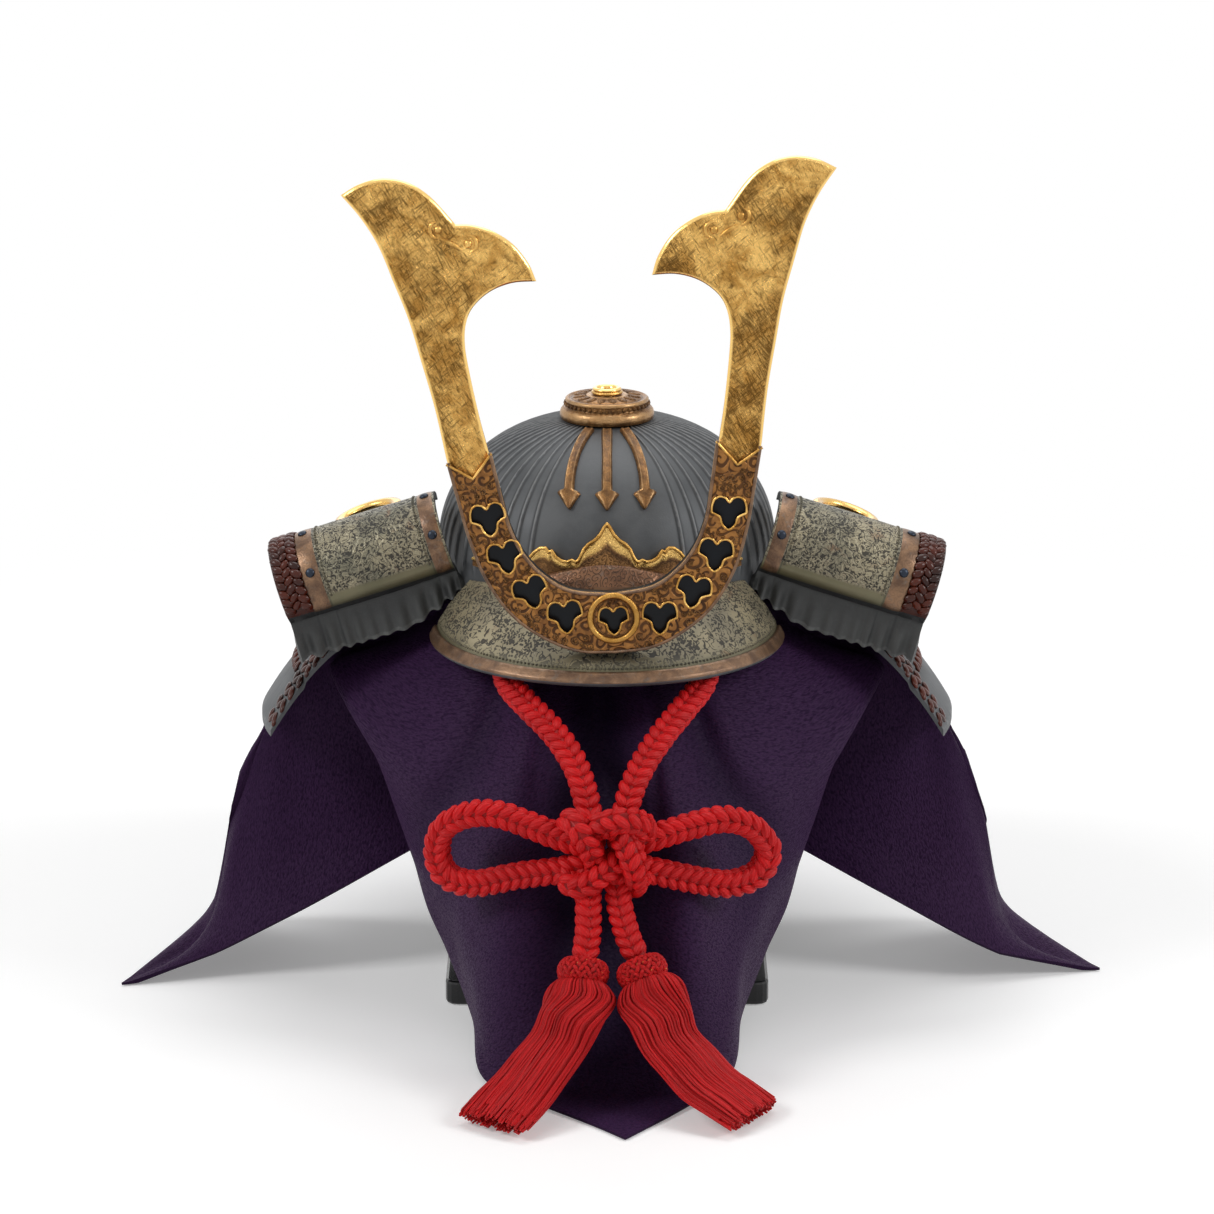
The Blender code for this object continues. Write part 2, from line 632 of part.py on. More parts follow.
# Fold lines of the cloth: flat angle from the front corner, then stations
# from the mouth of the bowl out to the hem. X is the outward side. They are
# drawn for the helmet's own sizes, and place_fold() carries them to others.
FRONT_FOLDS = (
    (0.0, ((0, -56, 168), (0, -82, 150), (0, -116, 115), (0, -139, 76), (0, -179, 3), (7, -222, 1.6))),
    (11.5, ((11, -55, 168), (20, -80, 149), (28, -111, 114), (34, -132, 76), (42, -158, 14), (47, -162, 1.6))),
    (22.5, ((21, -52, 168), (42, -72, 147), (54, -98, 112), (56, -108, 80), (58, -116, 46), (55, -117, 13))),
    (32.0, ((30, -47, 168), (66, -54, 145), (86, -62, 112), (80, -72, 84), (72, -82, 56), (66, -82, 28))),
    (40.7, ((38, -41, 168), (84, -30, 147), (116, -19, 131), (99, -28, 103), (89, -38, 79), (77, -46, 49))),
    (50.0, ((46, -32, 168), (88, -19, 144), (112, -8, 122), (84, -6, 100), (66, -2, 80), (52, 0, 62))),
    (64.0, ((53, -21, 168), (100, -12, 140), (124, -6, 117), (122, -8, 84), (118, -15, 56), (114, -27, 37))),
    (78.0, ((56, -11, 168), (108, -8, 137), (134, -3, 108), (150, -4, 72), (160, -16, 38), (166, -35, 12))),
    (90.0, ((57, 0, 168), (114, -3, 133), (138, 0, 104), (160, 2, 62), (173, -12, 14), (204, -43, 1.6))),
)
HEAD_RINGS = (78, 61, 42, 12)


def place_fold(stations, front=1.0):
    """Stations of one fold: the first in the bowl's mouth, the rest under the guard."""
    wide = [BOWL_X / 70] + [GUARD_X / 145] * (len(stations) - 1)
    deep = [BOWL_Y / 74] + [GUARD_Y / 143] * (len(stations) - 1)
    return [Vector((p[0] * x, p[1] * y * front, p[2] * BOWL_BASE / 176))
            for p, x, y in zip(stations, wide, deep)]


def fold_lines():
    """All fold lines round the cloth, mirrored to the back and the left."""
    lines = []
    for angle, stations in FRONT_FOLDS:
        lines.append((angle, place_fold(stations)))
    for angle, stations in FRONT_FOLDS[-2::-1]:
        back = place_fold(stations, -0.96)
        back[1].z -= 6 * MM * (90 - angle) / 90
        lines.append((180 - angle, back))
    for angle, stations in list(lines)[-2:0:-1]:
        lines.append((360 - angle, [Vector((-p.x, p.y, p.z)) for p in stations]))
    corner = lines[8][1][-1]
    corner.x += 5 * MM
    corner.y += 19 * MM
    return lines


def span_line(points, closed_steps):
    """Smooth closed line with its own number of steps in each span."""
    line = []
    count = len(points)
    for i, steps in enumerate(closed_steps):
        near = [points[(i + k) % count] for k in (-1, 0, 1, 2)]
        a, b, c, d = near
        for k in range(steps):
            t = k / steps
            line.append(0.5 * (2 * b + (c - a) * t + (2 * a - 5 * b + 4 * c - d) * t * t
                               + (3 * b - a - 3 * c + d) * t * t * t))
    return line


def cloth_grid(along=2):
    """Points of the cloth's upper face: head rings, then the fold lines."""
    lines = []
    for angle, stations in fold_lines():
        turn = math.atan2(stations[0].x, -stations[0].y)
        head = []
        for ring in HEAD_RINGS:
            radius, height = head_point(math.radians(ring), CLOTH_THICK + FIT + 0.1 * MM)
            radius += 1.4 * MM
            head.append(Vector((radius * math.sin(turn), -radius * math.cos(turn), height)))
        lines.append(head + smooth_line(stations, along))
    rows = []
    for station in range(len(lines[0])):
        spans = [2 if k < 8 or k >= len(lines) - 8 else 1 for k in range(len(lines))]
        ring = span_line([line[station] for line in lines], spans)
        for point in ring:
            point.z = max(point.z, CLOTH_THICK + 0.1 * MM)
        rows.append(ring)
    return rows


def make_cloth(purple):
    """Square cloth draped over the stand, as one closed thin solid."""
    rows = cloth_grid()
    crown = Vector((0, 0, HEAD_TOP + FIT + CLOTH_THICK))
    lower = offset_grid(rows, -CLOTH_THICK, True)
    work = bmesh.new()
    upper_rows = [[work.verts.new(p) for p in row] for row in rows]
    lower_rows = [[work.verts.new((p.x, p.y, max(p.z, 0.0))) for p in row] for row in lower]
    fill_grid(work, upper_rows, True)
    fill_grid(work, lower_rows, True)
    fill_grid(work, [upper_rows[-1], lower_rows[-1]], True)
    top = work.verts.new(crown)
    under = work.verts.new(crown - Vector((0, 0, CLOTH_THICK)))
    count = len(upper_rows[0])
    for k in range(count):
        n = (k + 1) % count
        work.faces.new((upper_rows[0][k], upper_rows[0][n], top))
        work.faces.new((lower_rows[0][n], lower_rows[0][k], under))
    return keep("display_cloth", work, purple, 60)


# Routes of the cord, as its centre line, left side then right side
LEADS = {
    "left": (mm(-42.3, -76.4, 155.8), mm(-40.5, -88, 146.5), mm(-33, -102, 141), mm(-21, -115, 132),
             mm(-12.5, -125, 121.5), mm(-8.2, -133, 110)),
    "right": (mm(41.4, -75.4, 156.8), mm(39.5, -88, 146.5), mm(32, -102, 140), mm(22, -115, 131),
              mm(14, -125, 121.5), mm(8.8, -133, 111)),
}
LOOPS = {
    "left": (mm(-16, -141, 96), mm(-31, -138, 101), mm(-43, -137, 105), mm(-53, -135, 103.5), mm(-63, -132, 97),
             mm(-67, -131, 88), mm(-62.5, -132, 79), mm(-52, -135, 76.5), mm(-36, -139, 81), mm(-17, -143, 84)),
    "right": (mm(16, -141, 96), mm(31.5, -138, 100), mm(46, -137, 103), mm(57, -134, 99), mm(64, -131, 88.5),
              mm(59.5, -132, 78.5), mm(48, -135, 75.5), mm(32, -139, 79), mm(16.5, -143, 84)),
}
TAILS = {
    "left": (mm(-7.4, -149, 74), mm(-7.3, -155, 64), mm(-8.8, -162.6, 53)),
    "right": (mm(4.6, -149, 74), mm(7, -155, 64), mm(12, -162.6, 53)),
}
KNOT_CENTRE = mm(-0.5, -143.4, 91)
KNOT_HALF = mm(14.6, 9, 14.6)
TASSEL_HEAD_HALF = 4.6 * MM
SKIRTS = {
    "left": ((-19, -181, 25, 14, 6.5), (-32, -196, 12.5, 15.5, 5.5), (-43, -210, 5.2, 16, 3.4)),
    "right": ((25, -180, 25, 15, 6.5), (39.5, -192, 12.5, 17, 5.5), (55, -202, 5.2, 17.5, 3.4)),
}
SKIRT_TOP = (10.5, 8)


def meet_knot(end, before):
    """Slide a cord's end along its run until its rim just clears the knot."""
    run = (end - before).normalized()
    side = run.orthogonal().normalized()
    other = run.cross(side)
    place = before.copy()
    while True:
        for step in range(24):
            turn = 2 * math.pi * step / 12
            reach = CORD_RADIUS * (1.0 if step < 12 else 0.45)
            rim = place + (side * math.cos(turn) + other * math.sin(turn)) * reach - KNOT_CENTRE
            scaled = Vector((rim.x / KNOT_HALF.x, rim.y / KNOT_HALF.y, rim.z / KNOT_HALF.z)).length
            if (scaled - 1) * rim.length / scaled < 1.3 * FIT:
                return place
        place = place + run * 0.1 * MM


def make_cord(red):
    """Leads, bow loops, knot and tails of the tied cord."""
    for word in ("left", "right"):
        lead = list(LEADS[word])
        lead[-1] = meet_knot(lead[-1], lead[-2])
        cord("cord_lead_" + word, lead, red, 2)
        loop = list(LOOPS[word])
        loop[0] = meet_knot(loop[0], loop[1])
        loop[-1] = meet_knot(loop[-1], loop[-2])
        cord("bow_loop_" + word, loop, red, 2)
        tail = list(TAILS[word])
        tail[0] = meet_knot(tail[0], tail[1])
        cord("cord_tail_" + word, tail, red, 2)
    work = bmesh.new()
    bmesh.ops.create_uvsphere(work, u_segments=20, v_segments=12, radius=1.0)
    bmesh.ops.scale(work, vec=KNOT_HALF, verts=work.verts)
    keep("cord_knot", work, red).location = KNOT_CENTRE


def make_tassel(word, red):
    """Knitted head and thread skirt of one tassel, reaching the floor."""
    tail = TAILS[word]
    run = (tail[-1] - tail[-2]).normalized()
    middle = tail[-1] + run * (FIT + TASSEL_HEAD_HALF)
    half = TASSEL_HEAD_HALF
    wide = TASSEL_HEAD_RADIUS
    work = turned([(0, -half), (wide - 2.4 * MM, -half), (wide, -1.5 * MM), (wide, 1.5 * MM),
                   (wide - 2.4 * MM, half), (0, half)], 16)
    obj = keep("tassel_head_" + word, work, red)
    obj.location = middle
    obj.rotation_mode = "QUATERNION"
    obj.rotation_quaternion = run.to_track_quat("Z", "Y")

    start = middle + run * (FIT + half)
    stations = [(start, SKIRT_TOP[0], SKIRT_TOP[1])]
    for x, y, z, wide, thick in SKIRTS[word]:
        place = mm(x, y, z)
        last = stations[-1]
        stations.append((last[0].lerp(place, 0.5), (last[1] + wide) / 2, (last[2] + thick) / 2))
        stations.append((place, wide, thick))
    rings = []
    for k, (place, wide, thick) in enumerate(stations):
        along = run
        if k:
            along = (stations[min(k + 1, len(stations) - 1)][0] - stations[k - 1][0]).normalized()
        across = Vector((along.y, -along.x, 0)).normalized()
        if k < 2:
            across = Vector((1, 0, 0)) - run * run.x
            across.normalize()
        normal = across.cross(along).normalized()
        turns = [2 * math.pi * step / 14 for step in range(14)]
        rings.append([place + (across * wide * math.cos(t) + normal * thick * math.sin(t)) * MM for t in turns])
    work = bmesh.new()
    made = [[work.verts.new(p) for p in ring] for ring in rings]
    fill_grid(work, made, True)
    work.faces.new(made[0])
    work.faces.new(made[-1])
    keep("tassel_skirt_" + word, work, red)


def main():
    """Clear the scene and build every piece."""
    for obj in list(bpy.data.objects):
        bpy.data.objects.remove(obj, do_unlink=True)
    black = finish("black_lacquer", (0.012, 0.012, 0.014), 0.22, 0.0)
    grey = finish("grey_bisque", (0.07, 0.075, 0.08), 0.62, 0.1)
    field = finish("engraved_bisque", (0.19, 0.175, 0.14), 0.5, 0.2)
    bronze = finish("bronze_lustre", (0.26, 0.13, 0.05), 0.34, 0.7)
    gold = finish("burnished_gold", (0.74, 0.46, 0.13), 0.27, 0.95)
    purple = finish("purple_crepe", (0.03, 0.016, 0.045), 0.85, 0.0)
    red = finish("red_braid", (0.62, 0.008, 0.014), 0.6, 0.0)
    make_stand(black)
    make_bowl(grey)
    make_visor(field)
    make_guard(grey)
    make_turnback(-1, "turnback_left", field)
    make_turnback(1, "turnback_right", field)
    make_crest(bronze, gold)
    make_crown(bronze, gold)
    make_arrow("arrow_middle", 0, 0, bronze)
    make_arrow("arrow_left", -14.5, -6, bronze)
    make_arrow("arrow_right", 14.5, 6, bronze)
    make_brow(gold)
    make_cloth(purple)
    make_cord(red)
    make_tassel("left", red)
    make_tassel("right", red)


main()
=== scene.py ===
"""Dresses the half-size display helmet, its draped stand and its tied cord.

Metres, +Z up, the wearer's front faces -Y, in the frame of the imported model.
Each sub-assembly is a class that holds its sizes as fields and has methods
that build its meshes and dress them. Each finish is a small frozen class, and
an effect that several finishes share is a shader node group. Geometry Nodes
make what repeats: the ribs of the bowl, beads, rivets, lacing, braid stitches,
wires and threads.
"""

from __future__ import annotations

import logging
import math
from collections.abc import Callable, Iterable, Sequence
from dataclasses import dataclass, field
from enum import Enum
from random import Random

import bmesh
import bpy
from bpy.types import ID, Material, NodeSocket, NodeTree, Object
from mathutils import Matrix, Vector, noise

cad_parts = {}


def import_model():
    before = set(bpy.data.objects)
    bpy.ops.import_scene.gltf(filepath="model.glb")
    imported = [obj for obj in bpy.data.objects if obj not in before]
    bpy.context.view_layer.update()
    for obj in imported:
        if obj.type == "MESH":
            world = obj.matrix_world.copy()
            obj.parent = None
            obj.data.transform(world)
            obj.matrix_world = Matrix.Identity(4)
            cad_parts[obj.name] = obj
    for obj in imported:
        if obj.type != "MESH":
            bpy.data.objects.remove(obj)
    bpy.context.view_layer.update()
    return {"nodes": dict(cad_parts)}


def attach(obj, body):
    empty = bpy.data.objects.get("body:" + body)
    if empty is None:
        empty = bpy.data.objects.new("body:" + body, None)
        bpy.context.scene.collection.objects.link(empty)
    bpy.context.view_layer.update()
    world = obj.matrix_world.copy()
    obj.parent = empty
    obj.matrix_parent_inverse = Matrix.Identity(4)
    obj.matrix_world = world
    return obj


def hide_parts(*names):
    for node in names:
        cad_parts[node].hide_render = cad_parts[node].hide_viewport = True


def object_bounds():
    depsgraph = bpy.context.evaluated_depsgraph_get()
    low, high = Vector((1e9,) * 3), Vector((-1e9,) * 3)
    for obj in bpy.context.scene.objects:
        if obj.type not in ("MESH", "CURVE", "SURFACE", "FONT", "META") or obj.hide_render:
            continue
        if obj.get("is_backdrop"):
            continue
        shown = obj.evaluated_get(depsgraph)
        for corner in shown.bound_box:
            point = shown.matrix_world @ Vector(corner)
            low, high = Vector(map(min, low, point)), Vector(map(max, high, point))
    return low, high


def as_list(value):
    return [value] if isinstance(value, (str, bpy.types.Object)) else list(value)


MM = 0.001
LOG = logging.getLogger("display_helmet")
Row = list[Vector]
Pair = tuple[float, float]
Triple = tuple[float, float, float]
Sized = tuple[Vector, float, float]
Place = Callable[[int, int], Pair]
Look = tuple[NodeSocket, ...]
Masks = dict[str, Callable[[int, int], float]]


class Side(Enum):
    """The two sides of the helmet, as the sign of X."""

    LEFT = -1
    RIGHT = 1

    @property
    def word(self) -> str:
        """Name of the side, as the node names use it."""
        return self.name.lower()


class Stamp(Enum):
    """Faces round and along the small rounded shapes that are repeated."""

    BEAD = (8, 5)
    STITCH = (10, 6)
    RIVET = (10, 6)


def mm(*values: float) -> Vector:
    """Vector from lengths in millimetres."""
    return Vector([value * MM for value in values])


def spoke(angle: float) -> Vector:
    """Unit vector at an angle in the XY plane."""
    return Vector((math.cos(angle), math.sin(angle), 0))


def facing(azimuth: float) -> Vector:
    """Level unit vector at an azimuth from the front."""
    return Vector((math.sin(azimuth), -math.cos(azimuth), 0))


def ease(low: float, high: float, value: float) -> float:
    """Smooth step from 0 at low to 1 at high."""
    share = min(max((value - low) / (high - low), 0.0), 1.0)
    return share * share * (3 - 2 * share)


def bump(centre: float, half: float, value: float) -> float:
    """Smooth hill of height 1 at the centre that ends at the half width."""
    return 1.0 - ease(0.0, half, abs(value - centre))


def table(knots: Sequence[Pair], value: float) -> float:
    """Height on a line of knots at a value, straight between the knots.

    Args:
        knots: Pairs of place and height, in order.
        value: The place to read.

    Returns:
        The height there.
    """
    if value <= knots[0][0]:
        return knots[0][1]
    for (a, low), (b, high) in zip(knots, knots[1:]):
        if value <= b:
            return low + (high - low) * (value - a) / (b - a)
    return knots[-1][1]


def smooth_line(points: Sequence[Vector], steps: int, closed: bool = False) -> Row:
    """Catmull-Rom line through the given points.

    Args:
        points: The points it goes through.
        steps: Points made for each span.
        closed: Whether the line joins its own start.

    Returns:
        The points of the line.
    """
    count = len(points)
    line: Row = []
    for i in range(count if closed else count - 1):
        if closed:
            a, b, c, d = (points[(i + k) % count] for k in (-1, 0, 1, 2))
        else:
            b, c = points[i], points[i + 1]
            a = points[i - 1] if i > 0 else b * 2 - c
            d = points[i + 2] if i + 2 < count else c * 2 - b
        for k in range(steps):
            t = k / steps
            line.append(0.5 * (2 * b + (c - a) * t + (2 * a - 5 * b + 4 * c - d) * t * t
                               + (3 * b - a - 3 * c + d) * t * t * t))
    if not closed:
        line.append(points[-1].copy())
    return line


def even_line(points: Sequence[Vector], pitch: float) -> Row:
    """The same line with its points a pitch apart.

    Args:
        points: A fine line.
        pitch: Distance between the new points, in metres.

    Returns:
        The evenly spaced points, from the first to the last.
    """
    total = line_length(points)
    count = max(int(round(total / pitch)), 1)
    step = total / count
    line = [points[0].copy()]
    travelled = 0.0
    for a, b in zip(points, points[1:]):
        span = (b - a).length
        while len(line) < count and travelled + span >= step * len(line):
            line.append(a.lerp(b, (step * len(line) - travelled) / span))
        travelled += span
    line.append(points[-1].copy())
    return line


def line_length(points: Sequence[Vector]) -> float:
    """Length of a line of points."""
    return sum((b - a).length for a, b in zip(points, points[1:]))


def carried_frames(line: Sequence[Vector], start: Vector) -> list[tuple[Vector, Vector, Vector]]:
    """Frames that follow a line without twisting.

    Args:
        line: The points of the line.
        start: Roughly the outward direction at its first point.

    Returns:
        Run, outward and sideways unit vectors for each point.
    """
    frames = []
    outward = start.normalized()
    for i in range(len(line)):
        run = (line[min(i + 1, len(line) - 1)] - line[max(i - 1, 0)]).normalized()
        outward = (outward - run * outward.dot(run)).normalized()
        frames.append((run, outward, run.cross(outward)))
    return frames


def new_object(name: str, data: ID) -> Object:
    """New object in the scene, at the origin."""
    obj = bpy.data.objects.new(name, data)
    bpy.context.scene.collection.objects.link(obj)
    return obj


def join(first: Object, second: Object) -> Object:
    """Join two meshes into the first."""
    with bpy.context.temp_override(active_object=first, object=first, selected_objects=[first, second],
                                   selected_editable_objects=[first, second]):
        bpy.ops.object.join()
    return first


def turn_faces_out(work: bmesh.types.BMesh) -> None:
    """Turn the faces of a closed mesh outwards."""
    bmesh.ops.recalc_face_normals(work, faces=work.faces)
    if work.calc_volume(signed=True) < 0:
        bmesh.ops.reverse_faces(work, faces=work.faces)


class Draft:
    """Points, faces and surface coordinates gathered for one mesh."""

    def __init__(self) -> None:
        """Start with nothing."""
        self.points: list[Vector] = []
        self.faces: list[tuple[int, ...]] = []
        self.corners: list[list[Pair]] = []
        self.slots: list[int] = []
        self.masks: dict[str, dict[int, float]] = {}

    def put(self, point: Vector) -> int:
        """Add one point and give its number."""
        self.points.append(point)
        return len(self.points) - 1

    def face(self, numbers: Sequence[int], corners: Sequence[Pair] | None = None, slot: int = 0) -> None:
        """Add one face.

        Args:
            numbers: Its points.
            corners: Surface coordinates of its corners.
            slot: Its material.
        """
        self.faces.append(tuple(numbers))
        self.corners.append(list(corners) if corners else [(0.0, 0.0)] * len(numbers))
        self.slots.append(slot)

    def grid(self, rows: Sequence[Row], closed: bool = False, place: Place | None = None,
             masks: Masks | None = None, slot: Callable[[int], int] | None = None) -> list[list[int]]:
        """Add rows of points with quads between them.

        Args:
            rows: Rows of points, all as long.
            closed: Whether each row joins its own start.
            place: Surface coordinates from row and column.
            masks: Mask values from row and column.
            slot: Material from the row that a band starts at.

        Returns:
            The numbers of the points, row by row.
        """
        numbers = [[self.put(point) for point in row] for row in rows]
        for name, value in (masks or {}).items():
            for i, row in enumerate(numbers):
                for j, number in enumerate(row):
                    self.masks.setdefault(name, {})[number] = value(i, j)
        for i in range(len(rows) - 1):
            self.strip(numbers[i], numbers[i + 1], closed, i, place, slot(i) if slot else 0)
        return numbers

    def strip(self, first: Sequence[int], second: Sequence[int], closed: bool = False, row: int = 0,
              place: Place | None = None, slot: int = 0) -> None:
        """Join two rows of points with quads."""
        count = len(first)
        for j in range(count if closed else count - 1):
            n = (j + 1) % count
            corners = None
            if place:
                corners = [place(row, j), place(row, j + 1), place(row + 1, j + 1), place(row + 1, j)]
            self.face((first[j], first[n], second[n], second[j]), corners, slot)

    def cap(self, ring: Sequence[int], slot: int = 0) -> None:
        """Close a ring with a fan about its middle."""
        middle = Vector()
        for number in ring:
            middle += self.points[number]
        centre = self.put(middle / len(ring))
        for j in range(len(ring)):
            self.face((ring[j], ring[(j + 1) % len(ring)], centre), None, slot)

    def build(self, name: str, finishes: Sequence[Material], angle: float = 40.0) -> Object:
        """Make the object, with its faces outwards.

        Args:
            name: Name of the piece.
            finishes: Its materials, by slot.
            angle: Edges sharper than this stay sharp, in degrees.

        Returns:
            The new object, linked to the scene.
        """
        mesh = bpy.data.meshes.new(name)
        mesh.from_pydata([tuple(p) for p in self.points], [], self.faces)
        layer = mesh.uv_layers.new(name="surface")
        flat = [value for face in self.corners for corner in face for value in corner]
        layer.data.foreach_set("uv", flat)
        mesh.polygons.foreach_set("material_index", self.slots)
        for mask_name, values in self.masks.items():
            attribute = mesh.attributes.new(mask_name, "FLOAT", "POINT")
            attribute.data.foreach_set("value", [values.get(i, 0.0) for i in range(len(self.points))])
        work = bmesh.new()
        work.from_mesh(mesh)
        bmesh.ops.remove_doubles(work, verts=work.verts, dist=1e-7)
        turn_faces_out(work)
        work.to_mesh(mesh)
        work.free()
        mesh.shade_smooth()
        mesh.set_sharp_from_angle(angle=math.radians(angle))
        for finish in finishes:
            mesh.materials.append(finish)
        return new_object(name, mesh)


def normals_of(rows: Sequence[Row], closed: bool = False) -> list[Row]:
    """Unit normals of a grid of points, across columns and then along rows."""
    count = len(rows[0])
    made = []
    for i in range(len(rows)):
        line = []
        for j in range(count):
            along = rows[min(i + 1, len(rows) - 1)][j] - rows[max(i - 1, 0)][j]
            right = rows[i][(j + 1) % count] if closed else rows[i][min(j + 1, count - 1)]
            left = rows[i][j - 1] if closed else rows[i][max(j - 1, 0)]
            line.append((right - left).cross(along).normalized())
        made.append(line)
    return made


def shell(draft: Draft, outer: Sequence[Row], inner: Sequence[Row], closed: bool = False,
          place: Place | None = None, masks: Masks | None = None,
          slot: Callable[[int], int] | None = None, under: int = 0) -> None:
    """Closed wall between two grids of points of the same shape.

    Args:
        draft: Where it is added.
        outer: The side that shows.
        inner: The other side.
        closed: Whether the rows join their own start.
        place: Surface coordinates of the outer side.
        masks: Masks of the outer side.
        slot: Material of each band of the outer side.
        under: Material of the inner side and the edges.
    """
    top = draft.grid(outer, closed, place, masks, slot)
    low = draft.grid(inner, closed, place, None, lambda row: under)
    draft.strip(top[0], low[0], closed, slot=under)
    draft.strip(top[-1], low[-1], closed, slot=under)
    if not closed:
        draft.strip([row[0] for row in top], [row[0] for row in low], slot=under)
        draft.strip([row[-1] for row in top], [row[-1] for row in low], slot=under)


def settle(obj: Object, slot: str, *nodes: str) -> Object:
    """Let a finished piece ride on the body, in a slot, for the nodes it stands for.

    Args:
        obj: The piece, at the origin.
        slot: The material slot of the record.
        nodes: CAD nodes that it replaces.

    Returns:
        The same piece.
    """
    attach(obj, "root")
    if nodes:
        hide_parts(*nodes)
    LOG.info("%s: %d faces", obj.name, len(obj.data.polygons))
    return obj


class Graph:
    """Adds and links nodes in one tree."""

    def __init__(self, tree: NodeTree) -> None:
        """Work in a tree."""
        self.tree = tree

    def feed(self, socket: NodeSocket, value: object) -> None:
        """Link a socket to an input, or set its value."""
        if isinstance(value, NodeSocket):
            self.tree.links.new(value, socket)
        else:
            socket.default_value = value

    def node(self, kind: str, inputs: dict[str | int, object] | None = None,
             **settings: object) -> bpy.types.Node:
        """Add a node.

        Args:
            kind: Type of the node.
            inputs: Values or sockets for its inputs, by name or number.
            settings: Its own properties.

        Returns:
            The node.
        """
        made = self.tree.nodes.new(kind)
        for key, value in settings.items():
            setattr(made, key, value)
        for key, value in (inputs or {}).items():
            self.feed(made.inputs[key], value)
        return made

    def calc(self, operation: str, *values: object) -> NodeSocket:
        """Result of a Math node."""
        made = self.node("ShaderNodeMath", operation=operation)
        for number, value in enumerate(values):
            self.feed(made.inputs[number], value)
        return made.outputs[0]

    def times(self, first: object, second: object) -> NodeSocket:
        """Product of two values."""
        return self.calc("MULTIPLY", first, second)

    def plus(self, first: object, second: object) -> NodeSocket:
        """Sum of two values."""
        return self.calc("ADD", first, second)

    def minus(self, first: object, second: object) -> NodeSocket:
        """Difference of two values."""
        return self.calc("SUBTRACT", first, second)

    def most(self, first: object, *others: object) -> NodeSocket:
        """Largest of the values."""
        for other in others:
            first = self.calc("MAXIMUM", first, other)
        return first

    def seen(self) -> NodeSocket:
        """One for the rays of the camera, gloss and glass."""
        path = self.node("ShaderNodeLightPath")
        return self.most(*(path.outputs[f"Is {ray} Ray"] for ray in ("Glossy", "Transmission", "Camera")))

    def tint(self, colour: object, mask: object, share: float, over: object) -> NodeSocket:
        """A colour with another laid over it by a share of a mask."""
        return self.mix(self.times(mask, share), colour, over)

    def store(self, geometry: NodeSocket, name: str, value: NodeSocket, domain: str,
              data_type: str = "FLOAT") -> NodeSocket:
        """Geometry with a value stored as a named attribute."""
        return self.node("GeometryNodeStoreNamedAttribute",
                         {"Geometry": geometry, "Name": name, "Value": value}, data_type=data_type,
                         domain=domain).outputs[0]

    def stored(self, name: str, data_type: str = "FLOAT") -> NodeSocket:
        """Value of a named attribute."""
        made = self.node("GeometryNodeInputNamedAttribute", {"Name": name}, data_type=data_type)
        return made.outputs["Attribute"]

    def vector(self, operation: str, *values: object) -> NodeSocket:
        """Result of a Vector Math node."""
        made = self.node("ShaderNodeVectorMath", operation=operation)
        for number, value in enumerate(values):
            self.feed(made.inputs["Scale"] if operation == "SCALE" and number == 1
                      else made.inputs[number], value)
        return made.outputs["Value" if operation in ("LENGTH", "DOT_PRODUCT", "DISTANCE") else "Vector"]

    def step(self, value: object, low: float, high: float) -> NodeSocket:
        """Smooth step of a value from 0 at low to 1 at high."""
        made = self.node("ShaderNodeMapRange", {"Value": value, "From Min": low, "From Max": high},
                         interpolation_type="SMOOTHSTEP")
        return made.outputs["Result"]

    def mix(self, share: object, first: object, second: object, blend: str = "MIX") -> NodeSocket:
        """Mix of two colours."""
        made = self.node("ShaderNodeMix", data_type="RGBA", blend_type=blend)
        self.feed(made.inputs[0], share)
        for number, value in ((6, first), (7, second)):
            if not isinstance(value, NodeSocket):
                value = (*value, 1.0)
            self.feed(made.inputs[number], value)
        return made.outputs[2]

    def blend(self, share: object, first: object, second: object) -> NodeSocket:
        """Mix of two numbers."""
        made = self.node("ShaderNodeMix", data_type="FLOAT")
        self.feed(made.inputs[0], share)
        self.feed(made.inputs[2], first)
        self.feed(made.inputs[3], second)
        return made.outputs[0]

    def xyz(self, *parts: object) -> NodeSocket:
        """Vector of its parts."""
        return self.node("ShaderNodeCombineXYZ", dict(enumerate(parts))).outputs[0]

    def noise(self, vector: object, scale: object, detail: float = 4.0, rough: float = 0.55,
              twist: float = 0.0) -> NodeSocket:
        """Value of a Noise Texture."""
        made = self.node("ShaderNodeTexNoise", {"Vector": vector, "Scale": scale, "Detail": detail,
                                                "Roughness": rough, "Distortion": twist})
        return made.outputs["Fac"]

    def bump(self, height: object, distance: float, strength: float = 1.0,
             normal: NodeSocket | None = None) -> NodeSocket:
        """Normal of a Bump node."""
        made = self.node("ShaderNodeBump", {"Height": height, "Distance": distance, "Strength": strength})
        if normal is not None:
            self.tree.links.new(normal, made.inputs["Normal"])
        return made.outputs["Normal"]


